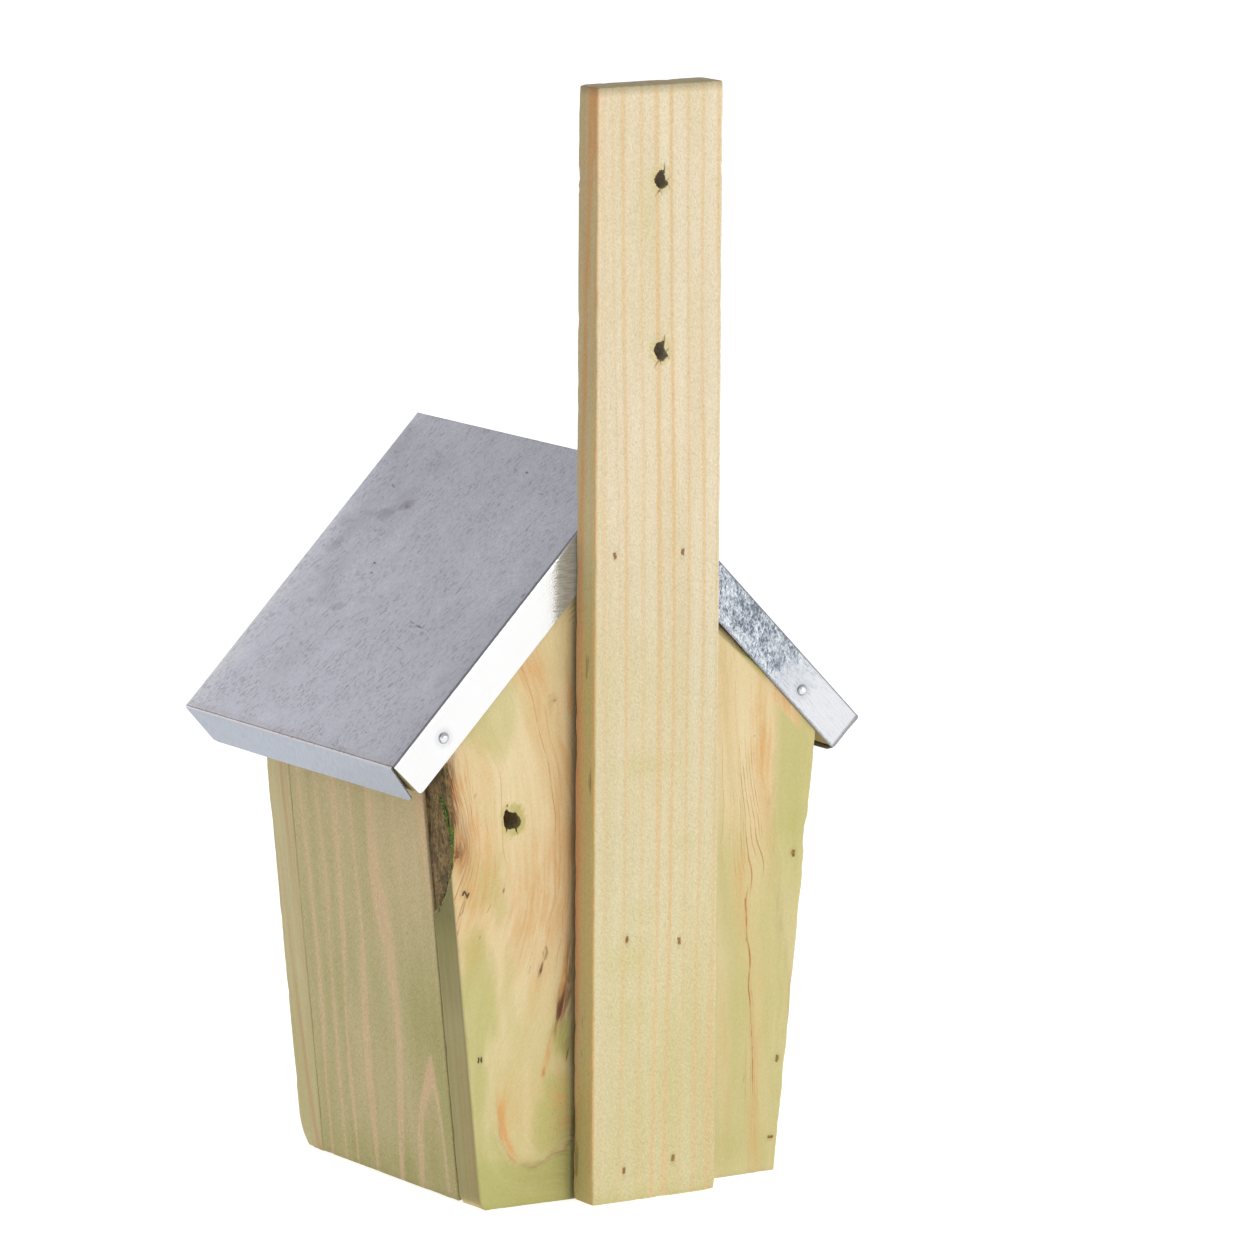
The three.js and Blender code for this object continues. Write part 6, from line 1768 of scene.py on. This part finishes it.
    # brownish smears on the front half: two dark blotches, the rest hardly there
    for y0, up_, ry, rs, k in ((-39.5, 97.6, 4.5, 2.4, 0.80), (-47.5, 92.6, 5.0, 2.6, 0.75), (-56.5, 91.0, 4.0, 1.6, 0.45), (-43, 100, 6, 5, 0.25), (-62, 76, 3.6, 3.4, 0.55), (-60, 84, 4.0, 5.0, 0.28), (-67, 86, 4, 3, 0.3),
                               (-34, 53, 3.4, 1.8, 0.55), (-50, 66, 6, 8, 0.26), (-44, 56, 7, 5, 0.24), (-21, 58, 7, 1.6, 0.22), (-38, 116, 6, 5, 0.26), (54, 36, 2.2, 2.6, 0.3), (56, 96, 2.0, 1.2, 0.3), (-38, 26, 6, 10, 0.22)):
        u = g.mul(g.sub(b, y0), 1.0 / ry)
        v = g.mul(g.sub(up, up_), 1.0 / rs)
        v = g.sub(v, g.mul(u, 0.35 if rs < 4 else 0.0))
        r2 = g.add(g.add(g.mul(u, u), g.mul(v, v)), g.mul(g.sub(fleck, 0.5), 5.0))
        c = g.mix(g.mul(g.mul(g.mul(g.step(r2, 1.7, 0.0), top), g.add(0.35, g.mul(g.step(g.add(g.mul(fleck2, 0.5), g.mul(rolled, 0.5)), 0.40, 0.58), 0.65))), 0.66 * k), c, lin(140, 128, 128))
    marks = None
    for y0, up_, ry, rs, dip, k in ((12.2, 121, 1.2, 0.5, 0.3, 0.75), (-32, 72.7, 0.8, 0.4, 0.3, 1.0), (-29.5, 68.8, 1.1, 0.5, 0, 0.6), (19.2, 53.6, 2.6, 0.45, 0.5, 0.75),
                               (14, 54.4, 1.8, 0.5, 0, 0.42), (14.5, 52.8, 1.6, 0.4, 0, 0.36), (18.0, 43.6, 3.2, 0.35, 1.6, 0.40), (25.2, 70.5, 0.6, 1.9, 0, 0.42), (-55.2, 103.6, 1.9, 0.55, 1.2, 0.55),
                               (4.8, 121, 1.3, 0.6, 0.4, 0.40), (29, 114.2, 1.7, 0.4, 0, 0.48), (-12, 110.3, 0.7, 0.8, 0, 0.42), (18.8, 106.8, 0.7, 0.6, 0, 0.40), (18.4, 117, 0.6, 1.1, 0, 0.34),
                               (-31, 103.4, 0.4, 1.2, 0, 0.42), (-38.4, 97, 1.6, 0.9, 0, 0.35), (61.4, 75, 0.7, 1.2, 0, 0.6), (35, 10.1, 0.7, 0.4, 0, 0.5), (51.5, 27.4, 1.4, 0.7, 0, 0.3),
                               (-6.5, 123.7, 0.7, 0.35, 0, 0.4), (11.6, 99.4, 0.7, 0.35, 0, 0.36), (-56.5, 112.4, 0.6, 0.9, 0, 0.35), (-69, 117, 1.6, 0.5, 0.4, 0.3), (23, 2.2, 1.2, 0.4, 0.6, 0.3)):
        u = g.mul(g.sub(b, y0), 1.0 / ry)
        v = g.add(g.mul(g.sub(up, up_), 1.0 / rs), g.mul(u, dip))
        r2 = g.add(g.mul(u, u), g.mul(v, v))
        r2 = g.add(r2, g.mul(g.sub(spangle2, 0.5), 1.2))
        one = g.mul(g.step(r2, 1.3, 0.1), k)
        marks = one if marks is None else g.math("MAXIMUM", marks, one)
    marks = g.mul(marks, top)
    c = g.mix(marks, c, lin(84, 74, 74))
    # painted reflection: the two rake lips at the back are one sheet, but the door-side lip is coloured paler for its
    # brighter reflection and the fixed-side lip darker, more so towards the ridge
    sa = g.math("ABSOLUTE", a)
    brush = g.noise(g.vec(g.mul(a, 0.06), g.mul(b, 1.9), 2.0), 1.0, 3.0, 0.62)
    kb = g.add(1.0, g.mul(g.sub(brush, 0.5), 0.22))
    left_c = g.mix(g.step(sa, 116.0, 94.0), lin(210, 211, 214), lin(192, 197, 202))
    left_c = g.mix(1.0, left_c, g.vec(kb, kb, kb), "MULTIPLY")
    px, py, pz = g.xyz(P)
    stand = g.noise(g.vec(g.mul(px, 1.45), g.mul(pz, 0.66), 5.0), 1.0, 3.0, 0.62, 0.9)
    cluster = g.noise(g.vec(g.mul(px, 0.26), g.mul(pz, 0.20), 15.0), 1.0, 2.0, 0.55, 0.6)
    stand = g.add(stand, g.mul(g.sub(cluster, 0.5), 0.50))
    stand = g.add(stand, g.sub(g.mul(g.step(sa, 56.0, 74.0), 0.050), g.add(g.mul(g.step(sa, 90.0, 106.0), 0.09), g.mul(g.step(d, 9.0, 13.5), 0.08))))
    swirl2 = g.noise(g.turned(P, (0.0, -0.25, 0.0), 0.95, 0.95, 0.60), 1.0, 3.0, 0.60, 1.0)
    scratch = g.noise(g.vec(g.mul(a, 0.22), 4.0, g.mul(d, 1.9)), 1.0, 3.0, 0.66, 0.3)
    patch = g.noise(g.scaled(P, 0.10, 0.10, 0.10), 1.0, 2.0, 0.5)
    mz = g.mul(g.step(g.add(sa, g.mul(g.sub(patch, 0.5), 30.0)), 112.0, 88.0), g.step(patch, 0.22, 0.40))
    left_c = g.mix(g.mul(mz, 0.12), left_c, lin(120, 130, 142))
    left_c = g.mix(g.mul(g.mul(mz, g.step(stand, 0.45, 0.38)), 0.50), left_c, lin(236, 241, 246))
    left_c = g.mix(g.mul(g.mul(mz, g.step(stand, 0.48, 0.56)), 0.60), left_c, lin(124, 134, 147))
    left_c = g.mix(g.mul(g.mul(mz, g.step(stand, 0.55, 0.63)), 0.74), left_c, lin(64, 74, 88))
    left_c = g.mix(g.mul(g.mul(mz, g.step(scratch, 0.52, 0.60)), 0.42), left_c, lin(126, 134, 145))
    left_c = g.mix(g.mul(g.step(scratch, 0.53, 0.62), 0.16), left_c, lin(150, 155, 164))
    left_c = g.mix(g.mul(g.mul(g.step(sa, 128.0, 100.0), g.step(scratch, 0.54, 0.62)), 0.34), left_c, lin(150, 156, 164))
    rim_l = g.math("MAXIMUM", g.step(d, 0.95, 0.35), g.step(g.add(d, g.mul(g.sub(swirl2, 0.5), 1.2)), 13.9, 14.8))
    rim_l = g.math("MAXIMUM", rim_l, g.step(g.add(w, g.mul(g.sub(swirl2, 0.5), 0.8)), -2.6, -1.5))
    left_c = g.mix(g.mul(rim_l, 0.62), left_c, lin(84, 82, 88))
    c = g.mix(lip_l, c, left_c)
    right_c = g.mix(g.mul(g.step(d, 0.9, 0.3), 0.55), (0.755, 0.755, 0.75), lin(120, 112, 116))
    right_c = g.mix(g.mul(g.step(brush, 0.56, 0.70), 0.10), right_c, lin(180, 182, 186))
    # painted reflection of the strip's side face on the lip beside it, with a feathered edge of fine hairs
    feather = g.noise(g.vec(g.mul(pz, 1.5), g.mul(px, 0.20), 2.0), 1.0, 4.0, 0.70, 0.3)
    strip_reflection = g.mul(g.step(g.add(px, g.mul(g.sub(feather, 0.5), 9.0)), 31.0, 28.2), lip_r)
    right_c = g.mix(g.mul(strip_reflection, 0.88), right_c, g.mix(g.step(feather, 0.35, 0.65), lin(142, 139, 126), lin(172, 170, 158)))
    c = g.mix(lip_r, c, right_c)
    drawn_down = g.noise(g.vec(g.mul(g.add(b, g.mul(w, 0.55)), 1.5), g.mul(w, 0.22), 41.0), 1.0, 4.0, 0.70, 0.3)
    eave_c = g.mix(1.0, lin(160, 166, 177), g.vec(kb, kb, kb), "MULTIPLY")
    ke = g.add(1.03, g.mul(g.sub(drawn_down, 0.5), 0.95))
    eave_c = g.mix(1.0, eave_c, g.vec(ke, ke, ke), "MULTIPLY")
    eave_c = g.mix(g.mul(g.step(drawn_down, 0.58, 0.70), 0.35), eave_c, lin(128, 134, 146))
    c = g.mix(eave, c, eave_c)
    # the eave fold: a grimy band and a dark line above it, and a painted highlight on the turn
    edge_n = g.mul(g.sub(spangle2, 0.5), 0.9)
    waver = g.mul(g.sub(g.noise(g.vec(g.mul(b, 0.10), 3.0, 1.0), 1.0, 3.0, 0.7), 0.5), 0.8)
    not_rake = g.sub(1.0, lip)
    ww = g.add(w, waver)
    fold_highlight = g.mul(g.step(g.math("ABSOLUTE", g.add(g.sub(ww, 0.05), g.mul(edge_n, 0.35))), 0.46, 0.12), not_rake)
    c = g.mix(g.mul(fold_highlight, 0.62), c, lin(188, 172, 154))
    line = g.step(g.math("ABSOLUTE", g.add(g.add(ww, 0.70), g.mul(edge_n, 0.4))), 0.42, 0.10)
    c = g.mix(g.mul(g.mul(line, not_rake), 0.60), c, lin(96, 84, 84))
    band = g.mul(g.step(g.math("ABSOLUTE", g.add(g.sub(w, -2.0), edge_n)), 1.4, 0.3), not_rake)
    c = g.mix(g.mul(band, 0.28), c, lin(158, 146, 140))
    rk = g.math("MAXIMUM", g.step(g.math("ABSOLUTE", g.sub(b, ROOF_BACK_Y + 0.12)), 0.55, 0.15), g.step(g.math("ABSOLUTE", g.sub(b, ROOF_FRONT_Y - 0.12)), 0.55, 0.15))
    c = g.mix(g.mul(g.mul(rk, g.sub(1.0, eave)), 0.60), c, lin(84, 78, 82))
    # shadowed dents round the nails
    ring = None
    for (e_, side_), (nx_, nz_) in RAKE_NAILS.items():
        nd = (RIDGE_Z - nx_ * TAN - nz_) * COS
        ns = (nx_ + nd * SIN) / COS
        yo = ROOF_BACK_Y if e_ > 0 else ROOF_FRONT_Y
        u, v = g.sub(a, side_ * ns), g.sub(b, yo + e_ * nd)
        r = g.math("SQRT", g.add(g.mul(u, u), g.mul(v, v)))
        one = g.add(g.mul(g.step(g.math("ABSOLUTE", g.sub(r, 1.75)), 0.45, 0.1), 0.50), g.mul(g.step(g.add(r, g.mul(g.sub(spangle2, 0.5), 2.0)), 4.6, 1.8), 0.22))
        ring = one if ring is None else g.math("MAXIMUM", ring, one)
    c = g.mix(g.mul(ring, lip), c, lin(118, 126, 138))
    g.put(g.bsdf.inputs["Base Color"], c)
    rough = g.add(0.40, g.mul(g.sub(spangle, 0.5), 0.10))
    rough = g.add(rough, g.mul(dark, 0.08))
    rough = g.add(rough, g.mul(marks, 0.3))
    rough = g.add(g.mul(rough, g.sub(1.0, lip)), g.mul(lip, g.add(0.17, g.mul(brush, 0.08))))
    g.put(g.bsdf.inputs["Roughness"], rough)
    g.put(g.bsdf.inputs["Metallic"], g.sub(1.0, g.math("MAXIMUM", g.mul(g.math("MAXIMUM", marks, g.mul(band, 0.4)), 0.6), g.mul(strip_reflection, 0.82))))
    h = g.add(g.mul(fleck2, 0.45), g.mul(grain, 0.25))
    h = g.add(h, g.mul(rolled, 0.60))
    h = g.add(h, g.mul(spangle, 0.25))
    h = g.add(h, g.mul(marks, -0.8))
    h = g.add(h, g.mul(g.mul(brush, lip), 0.3))
    g.put(g.bsdf.inputs["Normal"], g.bump(h, 0.45, 0.00014))
    return g.mat


def cut_edge():
    g = Nodes("cut_sheet_edge")
    P = g.object_mm()
    n = g.noise(g.scaled(P, 2.4, 2.4, 2.4), 1.0, 3.0, 0.6)
    g.put(g.bsdf.inputs["Base Color"], g.mix(g.step(n, 0.35, 0.65), lin(92, 84, 80), lin(140, 134, 132)))
    g.put(g.bsdf.inputs["Roughness"], g.add(0.45, g.mul(n, 0.25)))
    g.bsdf.inputs["Metallic"].default_value = 0.8
    g.put(g.bsdf.inputs["Normal"], g.bump(n, 0.5, 0.0001))
    return g.mat


# ------------------------------------------------------------------ nails
def nail_material(name, clean, rust, dark, amount, metallic=0.75, rough=0.45, seed=0.0):
    g = Nodes(name)
    P = g.object_mm()
    n1 = g.noise(g.scaled(P, 1.1, 1.1, 1.1), 1.0, 4.0, 0.65)
    n2 = g.noise(g.scaled(P, 3.6, 3.6, 3.6), 1.0, 3.0, 0.6)
    r = g.step(g.add(n1, g.mul(g.sub(n2, 0.5), 0.4)), 0.62 - 0.3 * amount, 0.78 - 0.3 * amount)
    c = g.mix(r, clean, rust)
    c = g.mix(g.mul(g.step(n2, 0.52, 0.66), 0.5), c, dark)
    g.put(g.bsdf.inputs["Base Color"], c)
    g.put(g.bsdf.inputs["Metallic"], g.mul(g.sub(1.0, g.mul(r, 0.85)), metallic))
    g.put(g.bsdf.inputs["Roughness"], g.add(rough, g.add(g.mul(r, 0.35), g.mul(g.sub(n2, 0.5), 0.2))))
    g.put(g.bsdf.inputs["Normal"], g.bump(g.add(n1, g.mul(n2, 0.6)), 0.5, 0.00018))
    return g.mat


def dome_nail(name, node, x, z, y, end, seed):
    prof = [(1.66, -0.12), (1.72, 0.05), (1.72, 0.20), (1.64, 0.42), (1.46, 0.66), (1.18, 0.88), (0.84, 1.05), (0.46, 1.15), (0.18, 1.19)]
    n = 28
    verts, faces = [], []
    for k, (r, h) in enumerate(prof):
        for i in range(n):
            t = 2 * math.pi * i / n
            rr = r * (1 + 0.02 * math.sin(3 * t + seed) + 0.015 * math.sin(5 * t + 2 * seed))
            hh = h - 0.05 * max(0.0, math.cos(t - seed)) * (r / 1.7)
            verts.append((x + rr * math.cos(t), y + end * min(hh, 1.2), z + rr * math.sin(t)))
    for k in range(len(prof) - 1):
        for i in range(n):
            j = (i + 1) % n
            faces.append((k * n + i, k * n + j, (k + 1) * n + j, (k + 1) * n + i))
    verts.append((x, y + end * 1.2, z))
    top = len(verts) - 1
    for i in range(n):
        faces.append(((len(prof) - 1) * n + i, (len(prof) - 1) * n + (i + 1) % n, top))
    # flat underside and the shank
    base = len(verts)
    rings = [(0.8, -0.12), (0.8, -12.2), (0.45, -13.4), (0.12, -14.4)]
    for r, h in rings:
        for i in range(n):
            t = 2 * math.pi * i / n
            verts.append((x + r * math.cos(t), y + end * h, z + r * math.sin(t)))
    for i in range(n):
        j = (i + 1) % n
        faces.append((j, i, base + i, base + j))
    for k in range(len(rings) - 1):
        for i in range(n):
            j = (i + 1) % n
            faces.append((base + k * n + j, base + k * n + i, base + (k + 1) * n + i, base + (k + 1) * n + j))
    verts.append((x, y + end * -14.7, z))
    tip = len(verts) - 1
    for i in range(n):
        j = (i + 1) % n
        faces.append((base + (len(rings) - 1) * n + j, base + (len(rings) - 1) * n + i, tip))
    obj = new_object(name, verts, orient(verts, faces), "house", [node])
    obj.data.materials.append(SHEET_NAIL_STEEL)
    finish_mesh(obj, 60)
    return obj


# ------------------------------------------------------------------ moss on the bark
def ico(level=1):
    t = (1 + 5**0.5) / 2
    v = [(-1, t, 0), (1, t, 0), (-1, -t, 0), (1, -t, 0), (0, -1, t), (0, 1, t), (0, -1, -t), (0, 1, -t), (t, 0, -1), (t, 0, 1), (-t, 0, -1), (-t, 0, 1)]
    v = [np.array(p) / np.linalg.norm(p) for p in v]
    f = [(0, 11, 5), (0, 5, 1), (0, 1, 7), (0, 7, 10), (0, 10, 11), (1, 5, 9), (5, 11, 4), (11, 10, 2), (10, 7, 6), (7, 1, 8),
         (3, 9, 4), (3, 4, 2), (3, 2, 6), (3, 6, 8), (3, 8, 9), (4, 9, 5), (2, 4, 11), (6, 2, 10), (8, 6, 7), (9, 8, 1)]
    for _ in range(level):
        mids, nf = {}, []
        for a, b, c in f:
            m = []
            for i, j in ((a, b), (b, c), (c, a)):
                k = (min(i, j), max(i, j))
                if k not in mids:
                    p = (v[i] + v[j]) / 2
                    v.append(p / np.linalg.norm(p))
                    mids[k] = len(v) - 1
                m.append(mids[k])
            nf += [(a, m[0], m[2]), (b, m[1], m[0]), (c, m[2], m[1]), (m[0], m[1], m[2])]
        f = nf
    return np.array(v), np.array(f)


def build_moss(panel):
    """Small cushions of moss along the waney corner, each pressed into the bark."""
    pv = points_of(panel)
    rng = np.random.default_rng(7)
    base, tri = ico(1)
    verts, faces = [], []
    paths = [([(56.2, 142.5), (58.2, 139), (60.0, 134.5), (61.4, 130), (61.9, 125), (61.7, 121)], 84, 1.0),
             ([(61.7, 121), (59.6, 116), (57.0, 111.5), (54, 107.5), (51.5, 103.5)], 26, 0.5)]
    for path, count, size in paths:
        p = np.array(path, float)
        seg = np.linalg.norm(np.diff(p, axis=0), axis=1)
        t = np.concatenate([[0], np.cumsum(seg)])
        for k_ in range(count):
            clump = size > 0.8 and k_ % 5 < 2
            u = float(np.clip(rng.normal(6.5, 2.6), 0, t[-1])) if clump else rng.uniform(0, t[-1])
            wide_ = 0.85 if clump else 0.30
            yy = np.interp(u, t, p[:, 0]) + rng.normal(-0.4 * clump, wide_ * size)
            zz = np.interp(u, t, p[:, 1]) + rng.normal(0, 0.5)
            yy = min(yy, 62.3)
            near = np.argsort((pv[:, 1] - yy) ** 2 + (pv[:, 2] - zz) ** 2 + np.where(pv[:, 0] > right_x(zz) - 4.5, 0, 1e6))[:4]
            xx = pv[near, 0].max()
            r = rng.uniform(0.18, 0.50) * (0.70 + 0.30 * size)
            k = 1 + 0.34 * vnoise(base * 1.9 + rng.uniform(0, 40, 3), 411)
            q = base * k[:, None] * np.array([r * 0.75, r, r * rng.uniform(0.9, 1.4)])
            off = sum(len(a) for a in verts)
            verts.append(q + np.array([xx - 0.1 * r, yy, zz]))
            faces.append(tri + off)
    verts = np.concatenate(verts)
    faces = np.concatenate(faces)
    obj = new_object("moss", verts, faces.tolist(), "house")
    obj.data.materials.append(MOSS)
    finish_mesh(obj, 70)
    return obj


def moss_material():
    g = Nodes("moss_green")
    P = g.object_mm()
    n1 = g.noise(g.scaled(P, 1.0, 1.0, 1.0), 1.0, 3.0, 0.6)
    n2 = g.noise(g.scaled(P, 5.5, 5.5, 5.5), 1.0, 3.0, 0.7)
    c = g.mix(g.step(n1, 0.35, 0.68), lin(66, 80, 28), lin(126, 138, 58))
    c = g.mix(g.mul(g.step(n2, 0.5, 0.34), 0.7), c, lin(40, 48, 16))
    g.put(g.bsdf.inputs["Base Color"], c)
    g.put(g.bsdf.inputs["Roughness"], g.add(0.78, g.mul(n2, 0.15)))
    g.put(g.bsdf.inputs["Normal"], g.bump(n2, 0.8, 0.0003))
    return g.mat


SHEET_STEEL = sheet_metal()
CUT_STEEL = cut_edge()
SHEET_NAIL_STEEL = nail_material("bright_nail", lin(226, 226, 230), lin(150, 128, 104), lin(120, 116, 118), 0.15, metallic=0.95, rough=0.26)
NAIL_STEEL = nail_material("dull_nail", lin(92, 86, 78), lin(96, 62, 36), lin(34, 28, 22), 0.6, metallic=0.7, rough=0.5)
BRAD_STEEL = nail_material("rusty_brad", lin(144, 104, 58), lin(172, 128, 74), lin(70, 42, 22), 0.95, metallic=0.25, rough=0.66)
MOSS = moss_material()

build_batten()
back = build_back()
build_front()
build_door()
build_side()
build_floor_board()
build_roof_board(1)
build_roof_board(-1)
metal = build_roof_sheet()
finish_mesh(metal, 60)
dome_nail("dome_back_door_side", "sheet_nail_back_door_side", 73.9, 164.0, ROOF_BACK_Y, 1, 0.4)
dome_nail("dome_back_fixed_side", "sheet_nail_back_fixed_side", -69.9, 167.3, ROOF_BACK_Y, 1, 1.9)
dome_nail("dome_front_door_side", "sheet_nail_front_door_side", 71.5, 166.0, ROOF_FRONT_Y, -1, 3.1)
dome_nail("dome_front_fixed_side", "sheet_nail_front_fixed_side", -72.0, 165.2, ROOF_FRONT_Y, -1, 4.4)
build_moss(back)

for name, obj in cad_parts.items():
    if obj.hide_render:
        continue
    steel = BRAD_STEEL if "brad" in name else NAIL_STEEL
    for slot in obj.material_slots:
        slot.material = steel
    if not obj.material_slots:
        obj.data.materials.append(steel)

# ------------------------------------------------------------------ studio
fm = Nodes("floor_paper")
paper = fm.noise(fm.scaled(fm.object_mm(), 0.02, 0.02, 0.02), 1.0, 2.0, 0.5)
fm.put(fm.bsdf.inputs["Base Color"], fm.mix(paper, (0.54, 0.54, 0.54), (0.56, 0.56, 0.56)))
fm.bsdf.inputs["Roughness"].default_value = 0.95
fm.bsdf.inputs["Specular IOR Level"].default_value = 0.0
fm.bsdf.inputs["Emission Color"].default_value = (1.0, 1.0, 1.0, 1.0)
fm.bsdf.inputs["Emission Strength"].default_value = 0.78
mesh = bpy.data.meshes.new("floor")
H = 20.0
mesh.from_pydata([(-H, -H, -0.0002), (H, -H, -0.0002), (H, H, -0.0002), (-H, H, -0.0002)], [], [(0, 1, 2, 3)])
ground = bpy.data.objects.new("floor", mesh)
ground.data.materials.append(fm.mat)
scene.collection.objects.link(ground)


def area_light(name, place, aim, size, power, color=(1, 1, 1)):
    d = bpy.data.lights.new(name, "AREA")
    d.shape = "DISK"
    d.size = size
    d.energy = power
    d.color = color
    o = bpy.data.objects.new(name, d)
    o.location = place
    o.rotation_euler = (Vector(aim) - Vector(place)).to_track_quat("-Z", "Y").to_euler()
    o.visible_camera = False
    scene.collection.objects.link(o)
    return o


area_light("key", (-0.95, 2.45, 1.05), (0, 0, 0.17), 1.5, 15.5)
overhead = area_light("top", (0.1, 0.1, 2.3), (0, 0, 0.1), 1.8, 13.0)
# the sheet metal mirrors the pale studio, not this lamp
overhead.visible_glossy = False

world = bpy.data.worlds.new("studio")
scene.world = world
world.use_nodes = True
wt = world.node_tree
wt.nodes.clear()
wo = wt.nodes.new("ShaderNodeOutputWorld")
bg = wt.nodes.new("ShaderNodeBackground")
tc = wt.nodes.new("ShaderNodeTexCoord")
sep = wt.nodes.new("ShaderNodeSeparateXYZ")
ramp = wt.nodes.new("ShaderNodeMapRange")
ramp.interpolation_type = "SMOOTHSTEP"
wt.links.new(tc.outputs["Generated"], sep.inputs[0])
wt.links.new(sep.outputs[2], ramp.inputs["Value"])
ramp.inputs["From Min"].default_value = math.sin(math.radians(9))
ramp.inputs["From Max"].default_value = math.sin(math.radians(26))
ramp.inputs["To Min"].default_value = 1.08
ramp.inputs["To Max"].default_value = 0.52
wt.links.new(ramp.outputs[0], bg.inputs["Strength"])
bg.inputs["Color"].default_value = (0.985, 0.99, 1.0, 1.0)
wt.links.new(bg.outputs[0], wo.inputs["Surface"])

scene.view_settings.view_transform = "Standard"
scene.view_settings.look = "None"
scene.view_settings.exposure = 0.0
scene.view_settings.gamma = 1.0
